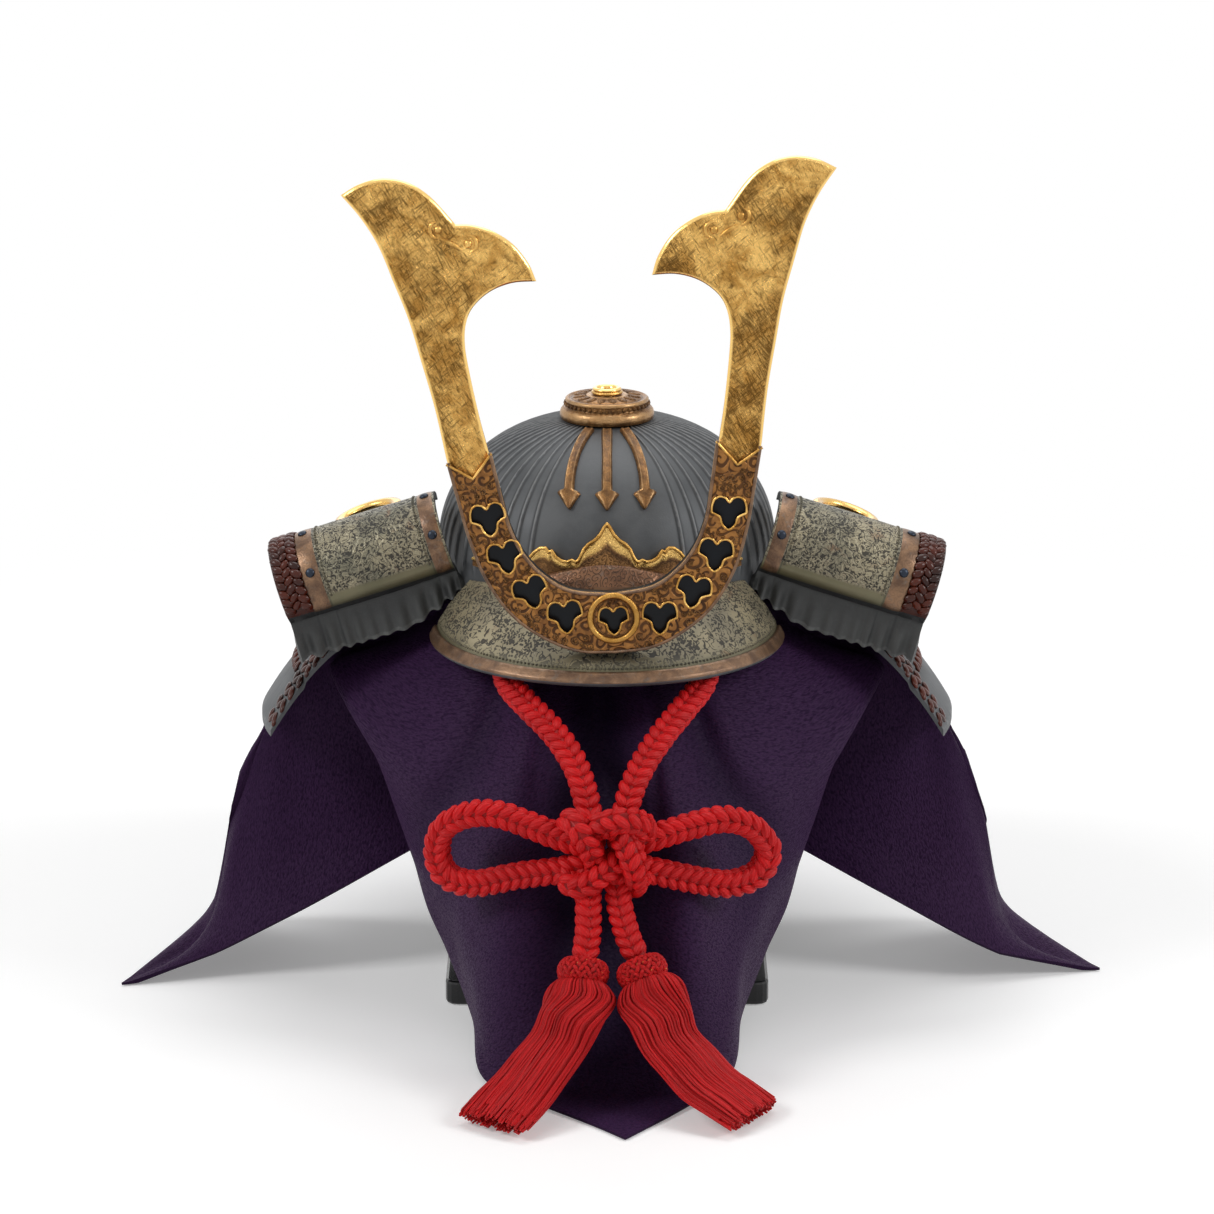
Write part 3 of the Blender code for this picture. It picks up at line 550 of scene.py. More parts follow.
class Recipe:
    """A node group with named inputs and outputs."""

    def __init__(self, name: str, kind: str, inputs: Sequence[tuple[str, str, object]],
                 outputs: Sequence[tuple[str, str]]) -> None:
        """Make the group's sockets.

        Args:
            name: Name of the group.
            kind: ShaderNodeTree or GeometryNodeTree.
            inputs: Name, socket type and default of each input.
            outputs: Name and socket type of each output.
        """
        self.tree = bpy.data.node_groups.new(name, kind)
        self.graph = Graph(self.tree)
        for label, socket_type, default in inputs:
            made = self.tree.interface.new_socket(
                label, in_out="INPUT", socket_type="NodeSocket" + socket_type)
            if default is not None:
                made.default_value = default
        for label, socket_type in outputs:
            self.tree.interface.new_socket(label, in_out="OUTPUT", socket_type="NodeSocket" + socket_type)
        self.source = self.graph.node("NodeGroupInput").outputs
        self.sink = self.graph.node("NodeGroupOutput").inputs

    def give(self, label: str, value: NodeSocket) -> None:
        """Link a socket to one of the group's outputs."""
        self.tree.links.new(value, self.sink[label])

    def close(self, label: str, geometry: NodeSocket) -> None:
        """Smooth, realise and dress a geometry, and give it."""
        graph = self.graph
        smooth = graph.node("GeometryNodeSetShadeSmooth", {"Geometry": geometry})
        real = graph.node("GeometryNodeRealizeInstances", {"Geometry": smooth.outputs[0]})
        done = graph.node(
            "GeometryNodeSetMaterial", {"Geometry": real.outputs[0], "Material": self.source["Finish"]})
        self.give(label, done.outputs[0])

    def identifier(self, label: str) -> str:
        """Identifier of a named input."""
        for item in self.tree.interface.items_tree:
            if item.item_type == "SOCKET" and item.in_out == "INPUT" and item.name == label:
                return item.identifier
        raise KeyError(label)

    def run(self, obj: Object, name: str, values: dict[str, object]) -> Object:
        """Apply a geometry group to an object and keep the plain result.

        Args:
            obj: Carries the places or curves, and is removed afterwards.
            name: Name of the result.
            values: Values of the named inputs.

        Returns:
            A new mesh object at the origin.
        """
        step = obj.modifiers.new("make", "NODES")
        step.node_group = self.tree
        for label, value in values.items():
            step[self.identifier(label)] = value
        bpy.context.view_layer.update()
        depsgraph = bpy.context.evaluated_depsgraph_get()
        mesh = bpy.data.meshes.new_from_object(obj.evaluated_get(depsgraph))
        obj.modifiers.clear()
        bpy.data.objects.remove(obj, do_unlink=True)
        mesh.name = name
        return new_object(name, mesh)


class Effects:
    """Shader node groups that several finishes share, each made once."""

    def __init__(self) -> None:
        """Make every group."""
        self.grain = self._grain()
        self.wear = self._wear()
        self.scrolls = self._scrolls()
        self.stipple = self._stipple()
        self.crepe = self._crepe()
        self.leaf = self._leaf()
        self.strands = self._strands()

    @staticmethod
    def _grain() -> Recipe:
        """Fine fired grain and the slow change of tone under it."""
        made = Recipe(
            "fired_grain", "ShaderNodeTree", [("Vector", "Vector", None), ("Scale", "Float", 900.0)],
            [("Mottle", "Float"), ("Height", "Float")])
        graph, source = made.graph, made.source
        slow = graph.times(source["Scale"], 0.06)
        made.give("Mottle", graph.step(graph.noise(source["Vector"], slow, 5.0), 0.3, 0.72))
        made.give("Height", graph.noise(source["Vector"], source["Scale"], 3.0, 0.65))
        return made

    @staticmethod
    def _wear() -> Recipe:
        """Edges rubbed back, broken up by noise."""
        made = Recipe("rubbed_edges", "ShaderNodeTree",
                      [("Vector", "Vector", None), ("Edge", "Float", 0.0), ("Scale", "Float", 260.0),
                       ("Reach", "Float", 0.5)], [("Mask", "Float")])
        graph, source = made.graph, made.source
        broken = graph.times(graph.minus(graph.noise(source["Vector"], source["Scale"], 6.0), 0.5), 1.1)
        level = graph.plus(graph.plus(source["Edge"], broken), graph.minus(source["Reach"], 0.5))
        made.give("Mask", graph.step(level, 0.38, 0.8))
        return made

    @staticmethod
    def _scrolls() -> Recipe:
        """Vine scrolls: a spiral in each cell, turning either way."""
        made = Recipe("vine_scrolls", "ShaderNodeTree",
                      [("Vector", "Vector", None), ("Scale", "Float", 280.0), ("Turns", "Float", 3.0),
                       ("Width", "Float", 0.35)], [("Lines", "Float"), ("Relief", "Float")])
        graph, source = made.graph, made.source
        place = graph.vector("SCALE", source["Vector"], source["Scale"])
        swirl = graph.node(
            "ShaderNodeTexNoise", {"Vector": place, "Scale": 0.6, "Detail": 1.0}).outputs["Color"]
        shift = graph.vector("SCALE", graph.vector("SUBTRACT", swirl, (0.5, 0.5, 0.5)), 0.8)
        place = graph.vector("ADD", place, shift)
        cells = graph.node("ShaderNodeTexVoronoi", {"Vector": place, "Scale": 1.0, "Randomness": 0.85},
                           voronoi_dimensions="2D")
        offset = graph.vector("SUBTRACT", place, cells.outputs["Position"])
        parts = graph.node("ShaderNodeSeparateXYZ", {0: offset})
        angle = graph.calc("DIVIDE", graph.calc("ARCTAN2", parts.outputs[1], parts.outputs[0]), 2 * math.pi)
        shade = graph.node("ShaderNodeSeparateColor", {0: cells.outputs["Color"]})
        hand = graph.minus(graph.times(graph.calc("GREATER_THAN", shade.outputs[0], 0.5), 2.0), 1.0)
        reach = graph.times(cells.outputs["Distance"], source["Turns"])
        phase = graph.calc("FRACT", graph.plus(graph.times(angle, hand), reach))
        tent = graph.times(graph.calc("ABSOLUTE", graph.minus(phase, 0.5)), 2.0)
        soft = graph.node(
            "ShaderNodeMapRange",
            {"Value": tent, "From Min": source["Width"], "From Max": graph.plus(source["Width"], 0.3),
             "To Min": 1.0, "To Max": 0.0}, interpolation_type="SMOOTHSTEP")
        made.give("Lines", soft.outputs["Result"])
        made.give("Relief", graph.minus(1.0, graph.times(tent, tent)))
        return made

    @staticmethod
    def _stipple() -> Recipe:
        """Punched dots and short cut strokes of an engraver."""
        made = Recipe("punched_ground", "ShaderNodeTree",
                      [("Vector", "Vector", None), ("Scale", "Float", 900.0), ("Dots", "Float", 0.36),
                       ("Length", "Float", 0.5)], [("Dots", "Float"), ("Strokes", "Float")])
        graph, source = made.graph, made.source
        cells = graph.node("ShaderNodeTexVoronoi", {"Vector": source["Vector"], "Scale": source["Scale"]},
                           voronoi_dimensions="2D")
        patch = graph.step(graph.noise(source["Vector"], graph.times(source["Scale"], 0.1), 2.0), 0.44, 0.6)
        size = graph.times(source["Dots"], patch)
        made.give("Dots", graph.step(graph.minus(size, cells.outputs["Distance"]), -0.02, 0.08))
        waves = graph.noise(source["Vector"], graph.times(source["Scale"], 0.5), 1.0, 0.5, 0.9)
        line = graph.minus(1.0, graph.step(graph.calc("ABSOLUTE", graph.minus(waves, 0.5)), 0.035, 0.065))
        breaks = graph.noise(graph.vector("ADD", source["Vector"], (0.37, 0.11, 0.0)),
                             graph.times(source["Scale"], 0.55), 1.0)
        kept = graph.step(graph.plus(breaks, source["Length"]), 0.98, 1.03)
        made.give("Strokes", graph.times(line, kept))
        return made

    @staticmethod
    def _crepe() -> Recipe:
        """Crinkled crepe: short wavy pebbles that run along the weft."""
        made = Recipe(
            "crepe_weave", "ShaderNodeTree", [("Vector", "Vector", None), ("Scale", "Float", 700.0)],
            [("Height", "Float"), ("Tone", "Float")])
        graph, source = made.graph, made.source
        wide = graph.vector("MULTIPLY", source["Vector"], (0.55, 1.25, 1.0))
        pebbles = graph.noise(wide, source["Scale"], 3.0, 0.6, 0.9)
        cells = graph.node(
            "ShaderNodeTexVoronoi", {"Vector": wide, "Scale": graph.times(source["Scale"], 1.3)},
            feature="SMOOTH_F1", voronoi_dimensions="2D")
        height = graph.minus(
            graph.times(pebbles, 1.4), graph.calc("MULTIPLY", cells.outputs["Distance"], 0.5))
        made.give("Height", height)
        made.give("Tone", graph.step(height, 0.2, 0.72))
        return made

    @staticmethod
    def _leaf() -> Recipe:
        """Laid metal leaf: overlapping patches, brushed scratches and rubbed spots."""
        made = Recipe(
            "metal_leaf", "ShaderNodeTree",
            [("Vector", "Vector", None), ("Scale", "Float", 60.0), ("Wear", "Float", 0.0)],
            [("Patches", "Float"), ("Scratches", "Float"), ("Rubbed", "Float")])
        graph, source = made.graph, made.source
        made.give("Patches", graph.step(graph.noise(source["Vector"], source["Scale"], 5.0, 0.6, 0.8),
                                        0.3, 0.7))
        strokes = []
        for turn, stretch in ((0.7, 9.0), (-0.9, 7.0), (2.0, 11.0)):
            turned = graph.node("ShaderNodeVectorRotate", {"Vector": source["Vector"], "Angle": turn},
                                rotation_type="Y_AXIS").outputs[0]
            thin = graph.vector("MULTIPLY", turned, (1.0, 1.0, stretch))
            strokes.append(graph.noise(thin, graph.times(source["Scale"], 1.6), 4.0, 0.6))
        both = graph.most(graph.most(strokes[0], strokes[1]), strokes[2])
        made.give("Scratches", graph.step(graph.plus(both, source["Wear"]), 0.58, 0.74))
        made.give("Rubbed", graph.step(graph.noise(source["Vector"], graph.times(source["Scale"], 2.6),
                                                   7.0, 0.7, 0.4), 0.53, 0.7))
        return made

    @staticmethod
    def _strands() -> Recipe:
        """Fine parallel filaments along a thread, from its own surface coordinates."""
        made = Recipe("silk_filaments", "ShaderNodeTree",
                      [("Vector", "Vector", None), ("Count", "Float", 10.0)], [("Height", "Float")])
        graph, source = made.graph, made.source
        parts = graph.node("ShaderNodeSeparateXYZ", {0: source["Vector"]})
        turn = graph.times(graph.times(parts.outputs[0], source["Count"]), 2 * math.pi)
        slip = graph.times(graph.noise(source["Vector"], 9.0, 2.0), 3.0)
        wave = graph.calc("SINE", graph.plus(turn, slip))
        made.give("Height", graph.plus(graph.times(wave, 0.5), 0.5))
        return made


@dataclass(frozen=True)
class Finish:
    """Base of the finishes: a name and the shader's constant settings."""

    name: str = "finish"
    roughness: float = 0.5
    metallic: float = 0.0
    coat: float = 0.0
    coat_roughness: float = 0.1
    sheen: float = 0.0
    specular: float = 0.5
    sheen_roughness: float = 0.5
    sheen_tint: Triple = (1.0, 1.0, 1.0)

    def dress(self, graph: Graph, effects: Effects) -> Look:
        """Colour, roughness and normal; each finish has its own."""
        raise NotImplementedError

    def make(self, effects: Effects) -> Material:
        """Build the material.

        Args:
            effects: The shared node groups.

        Returns:
            The material.
        """
        material = bpy.data.materials.new(self.name)
        material.use_nodes = True
        shader = material.node_tree.nodes["Principled BSDF"].inputs
        for label, value in (("Roughness", self.roughness), ("Metallic", self.metallic),
                             ("Coat Weight", self.coat), ("Coat Roughness", self.coat_roughness),
                             ("Sheen Weight", self.sheen), ("Sheen Roughness", self.sheen_roughness),
                             ("Sheen Tint", (*self.sheen_tint, 1.0)),
                             ("Specular IOR Level", self.specular)):
            shader[label].default_value = value
        graph = Graph(material.node_tree)
        for label, value in zip(("Base Color", "Roughness", "Normal"), self.dress(graph, effects)):
            graph.feed(shader[label], value)
        return material

    @staticmethod
    def object_place(graph: Graph) -> NodeSocket:
        """Object coordinates, in metres."""
        return graph.node("ShaderNodeTexCoord").outputs["Object"]

    @staticmethod
    def surface_place(graph: Graph) -> NodeSocket:
        """The piece's own surface coordinates."""
        return graph.node("ShaderNodeUVMap", uv_map="surface").outputs["UV"]

    @staticmethod
    def mask(graph: Graph, name: str) -> NodeSocket:
        """A mask that the piece carries."""
        return graph.node("ShaderNodeAttribute", attribute_name=name).outputs["Fac"]

    @staticmethod
    def group(graph: Graph, recipe: Recipe, inputs: dict[str, object]) -> dict[str, NodeSocket]:
        """Place a shared effect and give its outputs."""
        node = graph.node("ShaderNodeGroup", node_tree=recipe.tree)
        for label, value in inputs.items():
            graph.feed(node.inputs[label], value)
        return node.outputs


@dataclass(frozen=True)
class Lacquer(Finish):
    """Gloss black lacquer with a little orange peel and dust."""

    name: str = "black_gloss_lacquer"
    colour: Triple = (0.006, 0.006, 0.007)
    coat: float = 0.3
    roughness: float = 0.3
    specular: float = 0.3

    def dress(self, graph: Graph, effects: Effects) -> Look:
        """Faint dust over black, and a ripple in the gloss."""
        place = self.object_place(graph)
        grain = self.group(graph, effects.grain, {"Vector": place, "Scale": 420.0})
        dust = graph.times(graph.step(graph.noise(place, 2600.0, 2.0), 0.62, 0.8), 0.35)
        colour = graph.mix(grain["Mottle"], self.colour, (0.012, 0.012, 0.013))
        return (graph.mix(dust, colour, (0.05, 0.05, 0.05)),
                graph.blend(grain["Mottle"], 0.22, 0.36),
                graph.bump(grain["Height"], 0.00002))


@dataclass(frozen=True)
class Bisque(Finish):
    """Unglazed dark grey porcelain, matt, with paler rubbed ridges."""

    name: str = "matt_grey_porcelain"
    colour: Triple = (0.088, 0.093, 0.098)
    deep: Triple = (0.058, 0.062, 0.067)
    pale: Triple = (0.24, 0.245, 0.25)
    metallic: float = 0.25
    roughness: float = 0.55

    def dress(self, graph: Graph, effects: Effects) -> Look:
        """Fired grain, slow mottling and paler ridges."""
        place = self.object_place(graph)
        grain = self.group(graph, effects.grain, {"Vector": place, "Scale": 1500.0})
        worn = self.group(
            graph, effects.wear, {"Vector": place, "Edge": self.mask(graph, "wear"), "Scale": 300.0,
                                  "Reach": 0.5})
        hollow = self.mask(graph, "hollow")
        colour = graph.mix(grain["Mottle"], self.deep, self.colour)
        speck = graph.times(graph.step(grain["Height"], 0.55, 0.8), 0.35)
        colour = graph.mix(speck, colour, (0.09, 0.092, 0.095))
        colour = graph.tint(colour, hollow, 0.9, (0.01, 0.011, 0.012))
        colour = graph.tint(colour, worn["Mask"], 0.6, self.pale)
        return colour, graph.blend(grain["Mottle"], 0.46, 0.6), graph.bump(grain["Height"], 0.00007)


@dataclass(frozen=True)
class EngravedField(Finish):
    """Stone-coloured glaze, engraved all over with vines and punched dots."""

    name: str = "engraved_stone_glaze"
    pale: Triple = (0.38, 0.33, 0.215)
    olive: Triple = (0.17, 0.16, 0.11)
    rust: Triple = (0.19, 0.09, 0.04)
    line: Triple = (0.011, 0.010, 0.010)
    moulding: Triple = (0.135, 0.125, 0.06)
    metallic: float = 0.3
    roughness: float = 0.42
    scroll_scale: float = 120.0
    dot_scale: float = 760.0
    vine: float = 0.4
    curl: float = 0.35
    length: float = 0.68

    def dress(self, graph: Graph, effects: Effects) -> Look:
        """Vine lines over a punched ground, with olive and rusty clouds."""
        surface = self.surface_place(graph)
        place = self.object_place(graph)
        grain = self.group(graph, effects.grain, {"Vector": place, "Scale": 900.0})
        vines = self.group(graph, effects.scrolls,
                           {"Vector": surface, "Scale": self.scroll_scale, "Turns": 3.4, "Width": 0.12})
        curls = self.group(
            graph, effects.scrolls, {"Vector": surface, "Scale": self.scroll_scale * 2.6, "Turns": 2.2,
                                     "Width": 0.1})
        ground = self.group(
            graph, effects.stipple, {"Vector": surface, "Scale": self.dot_scale, "Dots": 0.34,
                                     "Length": self.length})
        clouds = graph.step(graph.noise(place, 46.0, 4.0, 0.6), 0.36, 0.66)
        rusty = graph.times(graph.step(graph.noise(place, 62.0, 3.0, 0.6, 0.5), 0.6, 0.72), 0.75)
        colour = graph.mix(clouds, self.olive, self.pale)
        colour = graph.mix(grain["Mottle"], graph.mix(0.25, colour, self.line), colour)
        colour = graph.mix(rusty, colour, self.rust)
        plain = self.mask(graph, "plain")
        free = graph.minus(1.0, plain)
        vine_lines = graph.times(graph.times(vines["Lines"], self.vine), free)
        lit = graph.times(vine_lines, 0.9)
        colour = graph.tint(colour, plain, 0.75, self.moulding)
        colour = graph.mix(lit, colour, (0.40, 0.36, 0.25))
        open_ground = graph.times(graph.minus(1.0, vine_lines), free)
        cuts = graph.most(
            ground["Dots"], graph.most(ground["Strokes"], graph.times(curls["Lines"], self.curl)))
        cuts = graph.times(cuts, open_ground)
        colour = graph.tint(colour, cuts, 0.9, self.line)
        colour = graph.tint(colour, self.mask(graph, "hollow"), 0.85, (0.02, 0.02, 0.018))
        height = graph.minus(vine_lines, cuts)
        return colour, graph.blend(cuts, 0.36, 0.62), graph.bump(height, 0.00022, 0.8)


@dataclass(frozen=True)
class CopperLustre(Finish):
    """Worn copper lustre of the rims, strips and root band."""

    name: str = "worn_copper_lustre"
    pale: Triple = (0.27, 0.155, 0.085)
    deep: Triple = (0.11, 0.06, 0.036)
    grey: Triple = (0.15, 0.14, 0.125)
    metallic: float = 0.55
    roughness: float = 0.38
    cut: float = 0.25

    def dress(self, graph: Graph, effects: Effects) -> Look:
        """Copper with grey rubbed clouds, fine scratches and faint curls."""
        surface = self.surface_place(graph)
        place = self.object_place(graph)
        grain = self.group(graph, effects.grain, {"Vector": place, "Scale": 1100.0})
        leaf = self.group(graph, effects.leaf, {"Vector": place, "Scale": 120.0})
        curls = self.group(
            graph, effects.scrolls, {"Vector": surface, "Scale": 330.0, "Turns": 2.4, "Width": 0.08})
        colour = graph.mix(leaf["Patches"], self.deep, self.pale)
        colour = graph.tint(colour, leaf["Rubbed"], 0.55, self.grey)
        colour = graph.mix(graph.times(curls["Lines"], self.cut), colour, (0.04, 0.022, 0.013))
        worn = self.group(
            graph, effects.wear, {"Vector": place, "Edge": self.mask(graph, "wear"), "Scale": 340.0,
                                  "Reach": 0.45})
        colour = graph.tint(colour, worn["Mask"], 0.5, (0.42, 0.30, 0.21))
        colour = graph.tint(colour, self.mask(graph, "hollow"), 0.8, (0.02, 0.013, 0.01))
        height = graph.plus(graph.times(grain["Height"], 0.4),
                            graph.times(curls["Relief"], self.cut))
        return colour, graph.blend(leaf["Scratches"], 0.34, 0.5), graph.bump(height, 0.00009)


@dataclass(frozen=True)
class BronzeRelief(Finish):
    """Brown-gold lustre over vine relief, dark in the ground between."""

    name: str = "bronze_vine_relief"
    high: Triple = (0.37, 0.165, 0.042)
    mid: Triple = (0.17, 0.07, 0.02)
    ground: Triple = (0.024, 0.011, 0.007)
    metallic: float = 0.75
    roughness: float = 0.32
    scroll_scale: float = 175.0
    depth: float = 0.9

    def dress(self, graph: Graph, effects: Effects) -> Look:
        """Vine relief, darkened ground, bright rubbed edges and gilt masks."""
        surface = self.surface_place(graph)
        place = self.object_place(graph)
        vines = self.group(graph, effects.scrolls,
                           {"Vector": surface, "Scale": self.scroll_scale, "Turns": 1.9, "Width": 0.46})
        grain = self.group(graph, effects.grain, {"Vector": place, "Scale": 1300.0})
        leaf = self.group(graph, effects.leaf, {"Vector": place, "Scale": 150.0})
        plain = self.mask(graph, "plain")
        shown = graph.most(vines["Lines"], plain)
        colour = graph.mix(leaf["Patches"], self.mid, self.high)
        deep = graph.mix(grain["Mottle"], self.ground, graph.mix(0.45, self.ground, self.mid))
        colour = graph.mix(graph.blend(self.depth, 1.0, shown), deep, colour)
        colour = graph.tint(colour, leaf["Rubbed"], 0.35, self.ground)
        worn = self.group(
            graph, effects.wear, {"Vector": place, "Edge": self.mask(graph, "wear"), "Scale": 300.0,
                                  "Reach": 0.5})
        colour = graph.tint(colour, worn["Mask"], 0.6, (0.52, 0.32, 0.15))
        gilt = self.mask(graph, "gilt")
        colour = graph.mix(gilt, colour, (0.86, 0.55, 0.17))
        colour = graph.tint(colour, self.mask(graph, "hollow"), 0.85, (0.012, 0.008, 0.006))
        height = graph.plus(graph.times(shown, self.depth), graph.times(grain["Height"], 0.12))
        return colour, graph.blend(gilt, graph.blend(shown, 0.5, 0.3), 0.2), graph.bump(height, 0.0003, 0.9)


@dataclass(frozen=True)
class GoldLeaf(Finish):
    """Burnished gold leaf with dark brushed wear and polished edges."""

    name: str = "burnished_gold_leaf"
    bright: Triple = (0.88, 0.55, 0.17)
    warm: Triple = (0.42, 0.21, 0.045)
    dark: Triple = (0.035, 0.015, 0.004)
    metallic: float = 1.0
    roughness: float = 0.28
    rubbed: float = 0.9

    def dress(self, graph: Graph, effects: Effects) -> Look:
        """Leaf patches, dark brushed strokes and a polished edge."""
        place = self.object_place(graph)
        slow = graph.step(graph.noise(place, 24.0, 3.0, 0.6, 0.5), 0.36, 0.62)
        leaf = self.group(
            graph, effects.leaf, {"Vector": place, "Scale": 105.0, "Wear": graph.blend(slow, 0.01, 0.12)})
        fine = self.group(
            graph, effects.leaf, {"Vector": place, "Scale": 230.0, "Wear": graph.blend(slow, 0.0, 0.1)})
        polish = self.mask(graph, "polish")
        dull = graph.times(graph.minus(1.0, polish), self.rubbed)
        colour = graph.mix(leaf["Patches"], self.warm, self.bright)
        colour = graph.tint(colour, slow, 0.6, self.warm)
        streaks = graph.most(graph.times(fine["Scratches"], 0.95),
                             graph.times(leaf["Scratches"], 0.85))
        spots = graph.most(graph.times(fine["Rubbed"], 0.7), graph.times(leaf["Rubbed"], 0.8))
        worn = graph.times(graph.most(streaks, spots), dull)
        colour = graph.mix(worn, colour, self.dark)
        colour = graph.mix(polish, colour, (0.93, 0.62, 0.22))
        rough = graph.blend(worn, graph.blend(fine["Patches"], 0.2, 0.34), 0.5)
        height = graph.times(graph.plus(leaf["Patches"], fine["Scratches"]), dull)
        return colour, graph.blend(polish, rough, 0.14), graph.bump(height, 0.00012, 0.9)


@dataclass(frozen=True)
class CrepeCloth(Finish):
    """Deep purple crepe with a soft bloom on its folds."""

    name: str = "purple_crepe_cloth"
    colour: Triple = (0.019, 0.0055, 0.027)
    pale: Triple = (0.064, 0.023, 0.082)
    roughness: float = 0.66
    sheen: float = 0.03
    sheen_roughness: float = 0.45
    sheen_tint: Triple = (0.7, 0.4, 0.85)
    specular: float = 0.09

    def dress(self, graph: Graph, effects: Effects) -> Look:
        """Crepe pebbles on the cloth's own coordinates, with a fine thread grain."""
        surface = self.surface_place(graph)
        crepe = self.group(graph, effects.crepe, {"Vector": surface, "Scale": 900.0})
        slow = graph.noise(surface, 14.0, 4.0)
        colour = graph.mix(graph.times(crepe["Tone"], 0.6), self.colour, self.pale)
        colour = graph.tint(colour, slow, 0.4, (0.01, 0.003, 0.024))
        colour = graph.tint(colour, self.mask(graph, "hollow"), 0.7, (0.004, 0.0015, 0.012))
        return colour, graph.blend(crepe["Tone"], 0.72, 0.46), graph.bump(crepe["Height"], 0.00038, 0.85)


@dataclass(frozen=True)
class SilkBraid(Finish):
    """Bright red silk: filaments along each strand, and each strand its own tone."""

    name: str = "red_silk_braid"
    colour: Triple = (0.78, 0.006, 0.009)
    deep: Triple = (0.48, 0.003, 0.005)
    roughness: float = 0.5
    sheen: float = 0.08
    sheen_roughness: float = 0.35
    sheen_tint: Triple = (1.0, 0.45, 0.4)
    specular: float = 0.3
    filaments: float = 9.0
    relief: float = 0.00018

    def dress(self, graph: Graph, effects: Effects) -> Look:
        """Filaments, tone by strand and fuzz."""
        surface = self.surface_place(graph)
        place = self.object_place(graph)
        strands = self.group(graph, effects.strands, {"Vector": surface, "Count": self.filaments})
        tone = self.mask(graph, "tone")
        colour = graph.mix(tone, self.deep, self.colour)
        colour = graph.tint(colour, graph.minus(1.0, strands["Height"]), 0.45, self.deep)
        fuzz = graph.noise(place, 2400.0, 3.0)
        colour = graph.tint(colour, graph.step(fuzz, 0.55, 0.8), 0.3, (0.78, 0.05, 0.05))
        height = graph.plus(strands["Height"], graph.times(fuzz, 0.4))
        return colour, graph.blend(strands["Height"], 0.62, 0.42), graph.bump(height, self.relief)


@dataclass(frozen=True)
class PlainLustre(Finish):
    """Small glossy parts in one colour, clouded and worn."""

    name: str = "small_parts"
    colour: Triple = (0.1, 0.1, 0.1)
    deep: Triple = (0.03, 0.03, 0.03)
    grain_scale: float = 700.0

    def dress(self, graph: Graph, effects: Effects) -> Look:
        """Clouded colour with a fine grain, and the tone of each stamp."""
        place = self.object_place(graph)
        grain = self.group(graph, effects.grain, {"Vector": place, "Scale": self.grain_scale})
        share = graph.times(graph.plus(grain["Mottle"], self.mask(graph, "tone")), 0.5)
        return (graph.mix(share, self.deep, self.colour),
                graph.blend(grain["Mottle"], self.roughness * 0.8, self.roughness * 1.3),
                graph.bump(grain["Height"], 0.00006))


@dataclass(frozen=True)
class PaleStudio(Finish):
    """White floor that keeps the object's soft shadow and fades out far away."""

    name: str = "pale_studio_floor"
    colour: Triple = (0.9, 0.9, 0.9)
    roughness: float = 0.8
    specular: float = 0.1
    lift: float = 0.24
    fade: Pair = (0.35, 0.8)

    def dress(self, graph: Graph, effects: Effects) -> Look:
        """White paper."""
        paper = graph.noise(self.object_place(graph), 300.0, 3.0)
        return (graph.mix(paper, self.colour, (0.92, 0.92, 0.92)),)

    def make(self, effects: Effects) -> Material:
        """The paper, which the camera, gloss and glass see a little lighter and far off fully white."""
        material = super().make(effects)
        graph = Graph(material.node_tree)
        seen = graph.seen()
        far = graph.step(graph.vector("LENGTH", self.object_place(graph)), *self.fade)
        glow = graph.node("ShaderNodeEmission", {"Color": (1, 1, 1, 1), "Strength": 1.0})
        extra = graph.node(
            "ShaderNodeEmission", {"Color": (1, 1, 1, 1), "Strength": graph.times(seen, self.lift)})
        nodes = material.node_tree.nodes
        both = graph.node(
            "ShaderNodeAddShader", {0: nodes["Principled BSDF"].outputs[0], 1: extra.outputs[0]})
        mixed = graph.node(
            "ShaderNodeMixShader", {0: graph.times(far, seen), 1: both.outputs[0], 2: glow.outputs[0]})
        graph.feed(nodes["Material Output"].inputs["Surface"], mixed.outputs[0])
        return material


